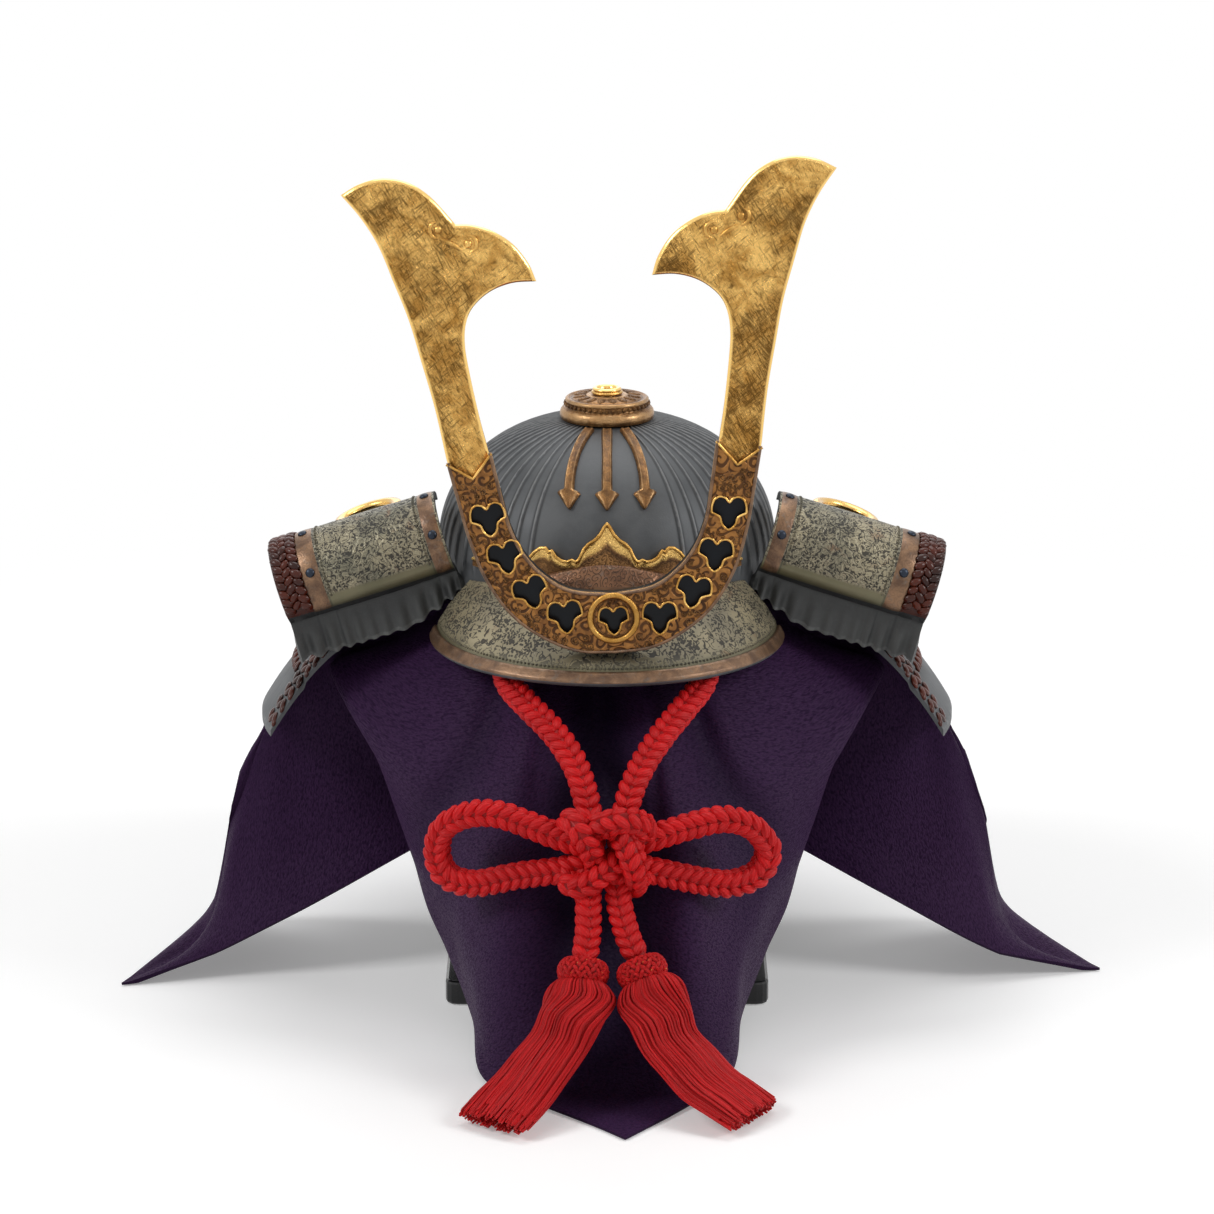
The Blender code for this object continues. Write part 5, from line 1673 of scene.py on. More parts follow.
@dataclass
class Visor:
    """Visor with an engraved field, a beaded line and a raised copper rim."""

    bowl: BowlShape = field(default_factory=BowlShape)
    radius: float = 73 * MM
    centre_y: float = -40 * MM
    edge_z: float = 151.5 * MM
    root_z: float = 181 * MM
    root_angle: float = 53.0
    thick: float = 3 * MM
    rim: float = 6 * MM
    columns: int = 200

    def frame(self, turn: float) -> tuple[Vector, Vector, Vector, Vector]:
        """Root, edge, slope and normal of the visor's section at an angle."""
        phi = math.radians(turn)
        azimuth = math.radians(turn * self.root_angle / 90)
        root = Vector(((self.bowl.radius_x + 0.3 * MM) * math.sin(azimuth),
                       -(self.bowl.radius_y + 0.3 * MM) * math.cos(azimuth),
                       self.root_z - 4.5 * MM * (1 - math.cos(phi))))
        edge = Vector(
            (self.radius * math.sin(phi), self.centre_y - self.radius * math.cos(phi), self.edge_z))
        slope = (edge - root).normalized()
        side = Vector((slope.y, -slope.x, 0)).normalized()
        normal = side.cross(slope)
        return root, edge, slope, normal if normal.z > 0 else -normal

    def section(self, turn: float) -> tuple[Row, Row]:
        """Upper and lower points of the section at an angle."""
        root, edge, slope, normal = self.frame(turn)
        flat = edge - slope * self.rim
        length = (edge - root).length
        upper: Row = []
        swell = ((0.0, 0.0), (0.25, 0.9), (0.5, 1.3), (0.74, 0.8), ((length - self.rim) / length, 0.1))
        for step in range(15):
            share = (length - self.rim) / length * step / 14
            upper.append(root + slope * length * share + normal * table(swell, share) * MM)
        for out, lift in ((0.25, 0.1), (0.45, 0.7), (0.9, 1.1), (1.8, 1.15), (3.2, 0.95), (4.4, 0.85),
                          (5.0, 0.75), (5.5, 0.45), (5.85, 0.0), (6.0, -0.5)):
            upper.append(flat + slope * out * MM + normal * lift * MM)
        lower: Row = []
        for step in range(15):
            lower.append(upper[step] - normal * self.thick)
        lower[0] = root - Vector((0, 0, self.thick / normal.z))
        for out, drop in ((0.3, 2.9), (0.8, 2.9), (1.6, 2.85), (2.6, 2.8), (3.6, 2.75), (4.4, 2.65),
                          (5.0, 2.55), (5.6, 2.3), (5.9, 1.9), (6.05, 1.2)):
            lower.append(flat + slope * out * MM - normal * drop * MM)
        return upper, lower

    def build(self, shop: Workshop) -> None:
        """Make the visor and its beaded line."""
        outer, inner = [], []
        for k in range(self.columns + 1):
            upper, lower = self.section(-90 + 180 * k / self.columns)
            outer.append(upper)
            inner.append(lower)
        outer = [list(column) for column in zip(*outer)]
        inner = [list(column) for column in zip(*inner)]
        draft = Draft()

        def place(i: int, j: int) -> Pair:
            """Surface coordinates along the rim and down the slope."""
            turn = math.radians(-90 + 180 * j / self.columns)
            return (turn * 0.062, 0.0024 * i)

        shell(draft, outer, inner, False, place,
              {"hollow": lambda i, j: 0.9 * bump(15, 1.6, i), "wear": lambda i, j: 0.7 * bump(17.5, 1.6, i)
               + 0.6 * bump(22, 1.5, i), "plain": lambda i, j: bump(14, 1.5, i)},
              lambda row: 1 if row >= 15 and row < 23 else (0 if row < 15 else 2), under=2)
        palette = shop.palette
        settle(draft.build("visor_fine", [palette.punched, palette.copper, palette.bisque], 50),
               "engraved_bisque", "visor")
        line: Row = []
        for k in range(400):
            root, edge, slope, normal = self.frame(-89 + 178 * k / 399)
            line.append(edge - slope * (self.rim + 1.3 * MM) + normal * 0.25 * MM)
        fine = even_line(line, 1.75 * MM)
        spots = [Spot(point, (fine[min(i + 1, len(fine) - 1)] - fine[max(i - 1, 0)]).normalized(),
                      Vector((0, 0, 1))) for i, point in enumerate(fine)]
        settle(shop.stamps("visor_beads", spots, Stamp.BEAD, (0.62 * MM, 0.5 * MM, 0.62 * MM),
                           palette.engraved), "engraved_bisque")


@dataclass
class NeckGuard:
    """Laced lames that flare round the sides and the back."""

    reach_x: float = 75 * MM
    reach_y: float = 69 * MM
    root_x: float = 70.3 * MM
    root_y: float = 74.3 * MM
    root_z: float = 173 * MM
    lames: int = 5
    thick: float = 3 * MM
    columns: int = 420
    scale_pitch: float = 3.4 * MM
    lacing_pitch: float = 7.5 * MM
    pair_half: float = 1.3 * MM
    end_rows: int = 11
    end_insets: tuple[float, ...] = (2.2, 5.6, 9.0)

    def height(self, share: float) -> float:
        """Height of the umbrella curve."""
        return self.root_z - (22 * share + 30 * share ** 2.2 + 11 * share ** 4) * MM

    def point(self, share: float, azimuth: float, lift: float = 0.0) -> Vector:
        """Point of the guard; azimuth from the front."""
        return Vector(
            ((self.root_x + self.reach_x * share) * math.sin(azimuth),
             -(self.root_y + self.reach_y * share) * math.cos(azimuth), self.height(share) + lift))

    def start(self, share: float) -> float:
        """Azimuth at which a lame ends at the front."""
        reach = -37 * MM - 4 * MM * max(0.0, (share - 0.65) / 0.35)
        return math.acos(-reach / (self.root_y + self.reach_y * share))

    def build(self, shop: Workshop) -> None:
        """Make the lames and lace them."""
        shares: list[tuple[float, float, int]] = []
        for lame in range(self.lames):
            begin = lame / self.lames + (0.012 if lame else 0.0)
            end = (lame + 1) / self.lames
            for step in range(7):
                along = step / 6
                shares.append((begin + (end - begin) * along, 1.4 * MM * along ** 0.8, step))
        outer: list[Row] = []
        for share, lift, step in shares:
            first = self.start(share)
            row: Row = []
            for k in range(self.columns + 1):
                azimuth = first + (2 * math.pi - 2 * first) * k / self.columns
                scale = 110.0 * math.pi * 2 * MM * (azimuth / (2 * math.pi)) / self.scale_pitch
                flute = 0.28 * MM * abs(math.sin(math.pi * scale)) * (step / 6) ** 0.5
                row.append(self.point(share, azimuth, lift - 0.3 * MM + flute))
            outer.append(row)
        inner = [[p - Vector((0, 0, self.thick - 0.2 * MM)) for p in row] for row in outer]
        draft = Draft()
        shell(draft, outer, inner, False, lambda i, j: (0.0018 * j, 0.0022 * i),
              {"wear": lambda i, j: 0.55 if shares[i][2] == 6 else 0.05,
               "hollow": lambda i, j: 0.8 if shares[i][2] == 0 and i
               else (0.3 if shares[i][2] == 1 else 0.0)})
        settle(draft.build("neck_guard_fine", [shop.palette.bisque], 60), "grey_bisque", "neck_guard")
        self.lace(shop)

    def lace(self, shop: Workshop) -> None:
        """Slanted pairs of lacing over each step, and dense lacing at the front ends."""
        chance = Random(11)
        spots = []
        for lame in range(1, self.lames):
            share = lame / self.lames
            first = self.start(share) + 0.14
            radius = self.root_x + self.reach_x * share
            count = int((2 * math.pi - 2 * first) * radius / self.lacing_pitch)
            for k in range(count + 1):
                azimuth = first + (2 * math.pi - 2 * first) * k / count
                for hand in (-1, 1):
                    spots.append(self.stitch(share + 0.006, azimuth + hand * self.pair_half / radius,
                                             hand * 0.5, 1.5, chance))
        for side in (-1, 1):
            for share in (0.5 + 0.047 * k for k in range(self.end_rows)):
                radius = self.root_x + self.reach_x * share
                for column, inset in enumerate(self.end_insets):
                    azimuth = self.start(share) + inset * MM / radius
                    azimuth = azimuth if side > 0 else 2 * math.pi - azimuth
                    spots.append(self.stitch(share, azimuth, side * (0.75 if column % 2 else -0.75), 1.3,
                                             chance, 1.25))
        settle(shop.stamps("guard_lacing", spots, Stamp.STITCH, (1.25 * MM, 0.95 * MM, 3.0 * MM),
                           shop.palette.lacing), "engraved_bisque")

    def stitch(self, share: float, azimuth: float, slant: float, lift: float, chance: Random,
               size: float = 1.0) -> Spot:
        """One pass of lacing on the guard's upper face."""
        here = self.point(share, azimuth, lift * MM)
        down = (self.point(share + 0.02, azimuth) - self.point(share - 0.02, azimuth)).normalized()
        across = (self.point(share, azimuth + 0.01) - self.point(share, azimuth - 0.01)).normalized()
        axis = (down * math.cos(slant) + across * math.sin(slant)).normalized()
        out = across.cross(down).normalized()
        return Spot(here, axis, axis.cross(out), size, chance.uniform(0.1, 0.9))


@dataclass
class TurnBack:
    """Rolled panel with strips, beads, lacing and a fluted skirt."""

    side: Side
    inner_end: Vector = field(default_factory=lambda: mm(-65.5, -27, 190.5))
    outer_end: Vector = field(default_factory=lambda: mm(-134, -27, 168.5))
    radius: float = 19.5 * MM
    thick: float = 3 * MM
    columns: int = 170
    flutes: int = 11
    first_turn: float = 120.0
    last_turn: float = -30.0
    arc_rows: int = 36
    lacing_shares: tuple[float, ...] = (0.868, 0.918, 0.965)
    bead_shares: tuple[float, ...] = (0.712, 0.124)
    rivet_shares: tuple[float, ...] = (0.787, 0.055)
    lacing_step: float = 10.4
    bead_step: float = 4.6
    ring_share: float = 0.42
    ring_radius: float = 12.2 * MM

    @property
    def up(self) -> Vector:
        """Upward direction across the panel."""
        axis = (self.outer_end - self.inner_end).normalized()
        return Vector((axis.z, 0, -axis.x))

    def reach(self, share: float) -> float:
        """Radius of the roll at a share of its length."""
        return self.radius * (1 + 0.03 * math.sin(math.pi * share))

    def on_roll(self, share: float, turn: float, lift: float = 0.0) -> Vector:
        """Point on the roll, lifted outwards, on the panel's own side."""
        centre = self.inner_end.lerp(self.outer_end, share)
        angle = math.radians(turn)
        point = centre + (Vector((0, -1, 0)) * math.cos(angle) + self.up * math.sin(angle)) * (
            self.reach(share) + lift)
        return self.flip(point)

    def flip(self, point: Vector) -> Vector:
        """The point on the panel's own side."""
        return Vector((point.x * -self.side.value, point.y, point.z))

    def section(self, share: float) -> Row:
        """Points of the outer face from the top edge to the skirt's hem."""
        centre = self.inner_end.lerp(self.outer_end, share)
        reach = self.reach(share)
        forward = Vector((0, -1, 0))
        row: Row = []
        in_lacing = ease(0.835, 0.85, share)
        strip = max(bump(0.785, 0.055, share), bump(0.055, 0.045, share)) ** 0.4
        for step in range(self.arc_rows + 1):
            turn = self.first_turn + (self.last_turn - self.first_turn) * step / self.arc_rows
            angle = math.radians(turn)
            lift = 0.35 * MM * min(strip, 1.0) - 0.5 * MM * in_lacing
            moulding = 0.55 * MM * bump(-21, 4.5, turn) - 0.35 * MM * bump(-28.5, 2.5, turn)
            row.append(centre + (forward * math.cos(angle) + self.up * math.sin(angle))
                       * (reach + lift + moulding))
        low = centre - self.up * (reach * 0.5 + 1.6 * MM)
        phase = self.flutes * share + 0.3 * math.sin(9.0 * share + 0.6)
        wave = math.cos(2 * math.pi * phase) * (0.75 + 0.4 * math.sin(7.0 * share + 1.0))
        fall = (8.5 + 8.5 * min(1.0, share * 3)) * MM
        hem = 0.7 * MM * wave
        for step in range(1, 15):
            along = step / 14
            out = (13.2 + 2.3 * along ** 1.4) * MM + 1.25 * MM * wave * ease(0.0, 0.75, along)
            row.append(low + forward * out - self.up * ((fall + hem) * along - 0.2 * MM))
        return [self.flip(point) for point in row]

    def build(self, shop: Workshop) -> None:
        """Make the panel, its ornament and its gilt ring."""
        outer = [self.section(k / self.columns) for k in range(self.columns + 1)]
        depth = normals_of(outer)
        sign = self.side.value
        inner = [[p - n * self.thick * sign for p, n in zip(row, line)] for row, line in zip(outer, depth)]
        rows = self.arc_rows

        def finish_of(column: int) -> int:
            """Material of the band that starts at a column."""
            share = (column + 0.5) / self.columns
            if share > 0.84:
                return 2
            return 1 if 0.735 < share < 0.84 or 0.012 < share < 0.1 else 0

        draft = Draft()
        masks = {
            "hollow": lambda i, j: max(0.95 * bump(rows + 0.4, 1.5, j),
                                       0.8 * bump(0.842 * self.columns, 2.2, i),
                                       0.7 * bump(0.728 * self.columns, 1.4, i),
                                       0.7 * bump(0.107 * self.columns, 1.4, i)),
            "plain": lambda i, j: 1.0 if j > rows - 5 else 0.0,
            "wear": lambda i, j: 0.6 if j >= rows + 13 or j == 0 or i in (0, self.columns) else 0.1,
            "tone": lambda i, j: 0.1}
        shell(draft, outer, inner, False, lambda i, j: (0.000424 * i, 0.0014 * j), masks, finish_of,
              under=3)
        for number, corner in enumerate(draft.faces):
            if max(corner) < len(outer) * len(outer[0]) and corner[0] % len(outer[0]) >= rows:
                draft.slots[number] = 3
        palette = shop.palette
        word = self.side.word
        finishes = [palette.engraved, palette.copper, palette.lacing, palette.pleats]
        made = draft.build("turnback_fine_" + word, finishes, 50)
        settle(made, "engraved_bisque", "turnback_" + word)
        self.ornament(shop)

    def ornament(self, shop: Workshop) -> None:
        """Lacing at the outer end, beaded lines, rivets and the ring."""
        palette = shop.palette
        word = self.side.word
        chance = Random(23 + self.side.value)
        spots = []
        for column, share in enumerate(self.lacing_shares):
            turn = 112.0 if column % 2 else 118.0
            while turn > -18:
                slant = 0.85 if column % 2 else -0.85
                spots.append(self.roll_spot(share, turn, 0.15 * MM, slant, chance.uniform(0.9, 1.12),
                                            chance.uniform(0.0, 1.0)))
                turn -= self.lacing_step
        settle(shop.stamps("turnback_lacing_" + word, spots, Stamp.STITCH,
                           (1.75 * MM, 1.35 * MM, 2.7 * MM), palette.lacing), "engraved_bisque")
        spots = []
        for share in self.bead_shares:
            turn = 116.0
            while turn > -17:
                spots.append(self.roll_spot(share, turn, 0.05 * MM, 0.0, 1.0, 0.5))
                turn -= self.bead_step
        settle(shop.stamps("turnback_beads_" + word, spots, Stamp.BEAD, (0.55 * MM, 0.45 * MM, 0.62 * MM),
                           palette.engraved), "engraved_bisque")
        spots = [self.roll_spot(share, turn, 0.45 * MM, 0.0, 1.0, 0.4)
                 for share in self.rivet_shares for turn in (82.0, 20.0)]
        settle(shop.stamps("turnback_rivets_" + word, spots, Stamp.RIVET, (2.0 * MM, 1.0 * MM, 2.0 * MM),
                           palette.rivet), "engraved_bisque")
        centre = self.inner_end.lerp(self.outer_end, self.ring_share) + self.up * 16.0 * MM + Vector(
            (0, 16.0 * MM, 0))
        axis = (self.outer_end - self.inner_end).normalized()
        rows = []
        for k in range(72):
            turn = 2 * math.pi * k / 72
            out = axis * math.cos(turn) + Vector((0, 1, 0)) * math.sin(turn)
            rows.append([self.flip(centre + out * (self.ring_radius + 2.4 * MM * math.cos(a))
                                   + self.up * 1.7 * MM * math.sin(a))
                         for a in (2 * math.pi * s / 14 for s in range(14))])
        draft = Draft()
        numbers = draft.grid(rows, True, lambda i, j: (0.001 * i, 0.001 * j), {"polish": lambda i, j: 0.6})
        draft.strip(numbers[-1], numbers[0], True)
        settle(draft.build("turnback_ring_" + word, [palette.bright_gold], 60), "burnished_gold")

    def roll_spot(self, share: float, turn: float, lift: float, slant: float, size: float,
                  tone: float) -> Spot:
        """Spot on the roll, its axis turned in the surface by a slant."""
        here = self.on_roll(share, turn, lift)
        along = (self.on_roll(share + 0.01, turn) - self.on_roll(share - 0.01, turn)).normalized()
        down = (self.on_roll(share, turn - 1) - self.on_roll(share, turn + 1)).normalized()
        axis = (down * math.cos(slant) + along * math.sin(slant)).normalized()
        out = (self.on_roll(share, turn, 1 * MM) - self.on_roll(share, turn)).normalized()
        return Spot(here, axis, axis.cross(out), size, tone)


@dataclass
class Crest:
    """Holder with leaf openings and two gilt horns."""

    y: float = -102.5 * MM
    foot: float = 162.3 * MM
    middle: float = 2.6 * MM
    plate: float = 2.0 * MM
    horn_thick: float = 3.4 * MM
    lean: float = math.radians(3.2)
    lap: float = 70 * MM
    outer: tuple[Pair, ...] = (
        (0, 0), (14.5, 1.2), (28, 7.2), (40.2, 17.2), (49.6, 31.9), (55.4, 48.7), (59, 65.2),
        (62.3, 81.2))
    inner: tuple[Pair, ...] = (
        (44.3, 84.7), (40.6, 64.2), (38.2, 53.2), (33.6, 42.6), (26.2, 33.6), (15.7, 27), (0, 24.7))
    notch: Pair = (52.2, 74.7)
    leaf_size: float = 6.6 * MM
    attempts: int = 9000
    ring_radii: Pair = (9.3, 7.7)
    leaf: tuple[Pair, ...] = (
        (90, 0.52), (74, 0.8), (57, 1.02), (38, 1.1), (19, 1.05), (4, 1.02), (-6, 1.0), (-14, 0.82),
        (-30, 0.66), (-46, 0.68), (-60, 0.84), (-75, 1.0), (-90, 1.12), (-105, 1.0), (-120, 0.84),
        (-134, 0.68), (-150, 0.66), (-166, 0.82), (-174, 1.0), (-184, 1.02), (-199, 1.05), (-218, 1.1),
        (-237, 1.02), (-254, 0.8))

    @property
    def front(self) -> float:
        """Y of the holder's front face."""
        return self.y - self.horn_thick / 2 - 0.3 * MM - self.plate

    def matrix(self) -> Matrix:
        """Lean of the crest about its pivot."""
        pivot = Vector((self.middle, self.y, self.foot + 14.5 * MM))
        return Matrix.Translation(pivot) @ Matrix.Rotation(-self.lean, 4, "Y") @ Matrix.Translation(-pivot)

    def half(self, points: Iterable[Vector], mirror: int) -> Row:
        """Points of the right half in their place, or mirrored to the left with -1."""
        return [Vector((self.middle + mirror * p.x, self.foot + p.y, 0)) for p in points]

    def mirrored(self, half: Sequence[Vector]) -> Row:
        """Full outline from the right half, in X and height."""
        return self.half(half, 1) + self.half([p for p in reversed(half) if p.x > 1e-6], -1)

    def plate_mesh(self, name: str, outlines: Sequence[Row], front: float, back: float, edge: float,
                   finish: Material) -> Object:
        """Flat plate with openings and rounded edges, leaning with the crest.

        Args:
            name: Name of the piece.
            outlines: The outline and its openings, in X and height.
            front: Y of the front face.
            back: Y of the back face.
            edge: Radius of its edges.
            finish: Its material.

        Returns:
            The plate, at the origin.
        """
        data = bpy.data.curves.new(name, "CURVE")
        data.dimensions = "2D"
        data.fill_mode = "BOTH"
        data.extrude = abs(back - front) / 2 - edge
        data.bevel_depth = edge
        data.bevel_resolution = 2
        data.offset = -edge
        for outline in outlines:
            spline = data.splines.new("POLY")
            spline.points.add(len(outline) - 1)
            spline.use_cyclic_u = True
            for point, place in zip(spline.points, outline):
                point.co = (place.x, place.y, 0.0, 1.0)
        obj = new_object(name + "_curve", data)
        bpy.context.view_layer.update()
        mesh = bpy.data.meshes.new_from_object(obj.evaluated_get(bpy.context.evaluated_depsgraph_get()))
        bpy.data.objects.remove(obj, do_unlink=True)
        upright = Matrix(((1, 0, 0, 0), (0, 0, -1, (front + back) / 2), (0, 1, 0, 0), (0, 0, 0, 1)))
        mesh.transform(upright)
        work = bmesh.new()
        work.from_mesh(mesh)
        bmesh.ops.remove_doubles(work, verts=work.verts, dist=2e-6)
        turn_faces_out(work)
        layer = work.loops.layers.uv.get("surface") or work.loops.layers.uv.new("surface")
        polish = work.verts.layers.float.new("polish")
        wear = work.verts.layers.float.new("wear")
        low, high = min(front, back), max(front, back)
        for vert in work.verts:
            on_face = min(abs(vert.co.y - low), abs(vert.co.y - high)) < 0.02 * MM
            vert[polish] = 0.0 if on_face else 1.0
            vert[wear] = 0.25 if on_face else 0.8
        for face in work.faces:
            for loop in face.loops:
                loop[layer].uv = (loop.vert.co.x, loop.vert.co.z)
        work.to_mesh(mesh)
        work.free()
        mesh.transform(self.matrix())
        mesh.name = name
        mesh.materials.clear()
        mesh.materials.append(finish)
        mesh.shade_smooth()
        mesh.set_sharp_from_angle(angle=math.radians(50))
        return new_object(name, mesh)

    def leaf_line(self, centre: Vector, turn: float, size: float) -> Row:
        """Outline of a leaf opening about a centre, in X and height."""
        points = []
        for degrees, reach in self.leaf:
            angle = math.radians(degrees) + turn
            points.append(centre + spoke(angle) * reach * size)
        return smooth_line(points, 3, True)

    def leaves(self) -> list[Sized]:
        """Centre, turn and size of every leaf, in X and height before the lean."""
        lean_back = self.matrix().inverted()
        made = []
        for x, z, turn in ((-47.0, 217.9, 0.12), (-40.4, 202.4, 0.2), (-30.5, 188.1, 0.3),
                           (-16.7, 178.2, 0.08), (21.0, 177.8, -0.05), (34.5, 188.5, -0.25),
                           (43.1, 203.7, -0.15), (48.2, 220.8, -0.08)):
            place = lean_back @ mm(x, -106.5, z)
            made.append((Vector((place.x, place.z, 0)), turn, self.leaf_size))
        place = lean_back @ mm(2.6, -106.5, 176.6)
        made.append((Vector((place.x, place.z, 0)), 0.0, self.leaf_size * 0.86))
        return made

    def upright(self, line: Iterable[Vector], y: float) -> Row:
        """Points given in X and height, stood up at a Y and leaning."""
        return turn_about((Vector((p.x, y, p.y)) for p in line), self.matrix())

    def build(self, shop: Workshop) -> None:
        """Make the holder, its ornament and the horns."""
        palette = shop.palette
        front = self.front
        lap = self.y - self.horn_thick / 2 - 0.3 * MM
        back = self.y + self.horn_thick / 2
        right_outer = smooth_line([mm(a, b, 0) for a, b in self.outer], 8)
        right_inner = smooth_line([mm(a, b, 0) for a, b in self.inner], 8)
        outline = self.mirrored(right_outer + [mm(*self.notch, 0)] + right_inner)
        leaves = self.leaves()
        openings = [self.leaf_line(centre, turn, size) for centre, turn, size in leaves]
        plate = self.plate_mesh(
            "holder_front_plate", [outline] + openings, front, lap, 0.45 * MM, palette.bronze)
        low = [p for p in right_outer if p.y < self.lap - 0.3 * MM] + [mm(60, 69.7, 0), mm(41.5, 69.7, 0)]
        low += [p for p in right_inner if p.y < self.lap - 0.3 * MM]
        rear = self.plate_mesh(
            "holder_rear_plate", [self.mirrored(low)], lap + 0.02 * MM, back, 0.4 * MM, palette.recess)
        settle(plate, "bronze_lustre", "crest_holder")
        settle(rear, "bronze_lustre")
        self.trim(shop, leaves, right_outer, right_inner)
        self.scrolls(shop, leaves)
        self.horns(shop)
        self.bracket(shop)

    def trim(self, shop: Workshop, leaves: Sequence[Sized], right_outer: Row, right_inner: Row) -> None:
        """Leaf wires, rims, notch wires, finials and the central ring."""
        palette = shop.palette
        front = self.front
        wires = [self.upright(self.leaf_line(centre, turn, size * 1.03), front - 0.15 * MM) for centre,
                 turn, size in leaves]
        settle(shop.threads("leaf_wires", wires, 0.5 * MM, palette.bright_gold, 8, True), "burnished_gold")
        lines = []
        for line in (right_outer, right_inner):
            moved = []
            for i, point in enumerate(line):
                run = (line[min(i + 1, len(line) - 1)] - line[max(i - 1, 0)]).normalized()
                moved.append(point + Vector((-run.y, run.x, 0)) * 0.75 * MM)
            lines += [self.upright(self.half(moved, mirror), front + 0.05 * MM) for mirror in (1, -1)]
        settle(shop.threads("holder_rims", lines, 0.62 * MM, palette.copper, 8), "bronze_lustre")
        notches = []
        for mirror in (1, -1):
            corner = [self.outer[-1], self.notch, self.inner[0]]
            path = [Vector((self.middle + mirror * a * MM, self.foot + b * MM, 0)) for a, b in corner]
            fine = [path[0].lerp(path[1], k / 8) for k in range(9)] + [
                path[1].lerp(path[2], k / 8) for k in range(1, 9)]
            drop = [p - Vector((0, 0.35 * MM, 0)) for p in fine]
            notches.append(self.upright(drop, front + 0.05 * MM))
        settle(shop.threads("notch_wires", notches, 0.6 * MM, palette.bright_gold, 8), "burnished_gold")
        spots = []
        for centre, turn, size in leaves:
            for step in (-1, 0, 1):
                angle = math.radians(90) + turn + step * 0.32
                place = centre + spoke(angle) * size * (1.04 if step else 1.26)
                here = self.upright([place], front - 0.1 * MM)[0]
                spots.append(Spot(here, Vector((0, 0, 1)), Vector((1, 0, 0)), 1.0))
        settle(shop.stamps("leaf_finials", spots, Stamp.BEAD, (0.9 * MM, 0.75 * MM, 0.95 * MM),
                           palette.bronze), "bronze_lustre")
        ring_centre = leaves[-1][0] + Vector((0, 0.4 * MM, 0))
        ring, fine_ring = ([ring_centre + spoke(2 * math.pi * k / 64) * reach * MM for k in range(64)]
                           for reach in self.ring_radii)
        settle(shop.threads("central_ring", [self.upright(ring, front - 0.2 * MM)], 1.25 * MM,
                            palette.bright_gold, 12, True), "burnished_gold")
        settle(shop.threads("central_ring_lip", [self.upright(fine_ring, front - 0.1 * MM)], 0.5 * MM,
                            palette.fine_bronze, 8, True), "bronze_lustre")

    def scrolls(self, shop: Workshop, leaves: Sequence[Sized]) -> None:
        """Small raised spirals over the holder, kept clear of the leaves and the rims."""
        chance = Random(5)
        right_outer = smooth_line([mm(a, b, 0) for a, b in self.outer], 10)
        right_inner = smooth_line([mm(a, b, 0) for a, b in self.inner], 10)
        inner_up = list(reversed(right_inner))
        edges = self.mirrored(right_outer + right_inner)
        spirals = []
        taken: list[tuple[Vector, float]] = [(centre, size * 1.22) for centre, turn, size in leaves[:-1]]
        taken.append((leaves[-1][0], 11.2 * MM))
        for _ in range(self.attempts):
            share = chance.random()
            across = chance.uniform(0.1, 0.9)
            a = right_outer[min(int(share * (len(right_outer) - 1)), len(right_outer) - 1)]
            b = inner_up[min(int(share * (len(inner_up) - 1)), len(inner_up) - 1)]
            local = a.lerp(b, across)
            mirror = 1 if chance.random() < 0.5 else -1
            place = Vector((self.middle + mirror * local.x, self.foot + local.y, 0))
            size = chance.uniform(1.15, 2.3) * MM
            if abs(local.x - self.notch[0] * MM) < 10 * MM and local.y > self.notch[1] * MM - 3 * MM:
                continue
            if any((place - other).length < size + reach for other, reach in taken):
                continue
            if any((place - edge).length < size + 1.15 * MM for edge in edges[::2]):
                continue
            taken.append((place, size))
            start = chance.uniform(0, 2 * math.pi)
            hand = chance.choice((-1, 1))
            line = []
            for k in range(26):
                t = k / 25
                angle = start + hand * t * 2 * math.pi * 1.45
                reach = size * (0.16 + 0.84 * t ** 0.85)
                line.append(place + spoke(angle) * reach)
            spirals.append(self.upright(line, self.front - 0.02 * MM))
        settle(shop.threads("holder_scrolls", spirals, 0.3 * MM, shop.palette.fine_bronze, 5, False,
                            lambda t: 1.25 - 0.6 * t),
               "bronze_lustre")

    def horn_line(self) -> Row:
        """Outline of the right horn, in X and height above the foot."""
        bottom = [mm(42.4, 70, 0), mm(59.9, 70, 0)]
        outer = smooth_line(
            [mm(a, b, 0) for a, b in ((62.3, 82.2), (65.6, 103.2), (69.7, 122.2), (73.4, 138.6),
                                      (78.4, 154.2), (83.3, 168.7), (89.5, 180.2), (96.5, 189.6))], 8)
        top = smooth_line(
            [mm(a, b, 0) for a, b in ((96.5, 189.6), (89, 193.5), (80, 195.2), (70.5, 193.2), (62, 187.2),
                                      (52.7, 175.6))], 8)
        lobe = smooth_line([mm(a, b, 0) for a, b in ((52.7, 175.6), (46.2, 175), (38.6, 172.2), (31, 166.7),
                                                     (25.3, 158.7), (22.6, 151.4))], 8)
        under = smooth_line(
            [mm(a, b, 0) for a, b in ((22.6, 151.4), (32.2, 151.2), (41, 148.2), (47.9, 142.5),
                                      (51.1, 136), (52, 127.5), (51, 117), (48.3, 99.2), (45.6, 85.2))],
            8)
        return bottom + outer[:-1] + top[:-1] + lobe[:-1] + under

    def horns(self, shop: Workshop) -> None:
        """Gilt horns with a polished edge and their dimples."""
        palette = shop.palette
        line = self.horn_line()
        for side in Side:
            outline = self.half(line, side.value)
            if side is Side.LEFT:
                outline.reverse()
            made = self.plate_mesh("horn_fine_" + side.word, [outline], self.y - self.horn_thick / 2,
                                   self.y + self.horn_thick / 2, 1.35 * MM, palette.gold)
            settle(made, "burnished_gold", "horn_" + side.word)
            self.dimples(shop, side)

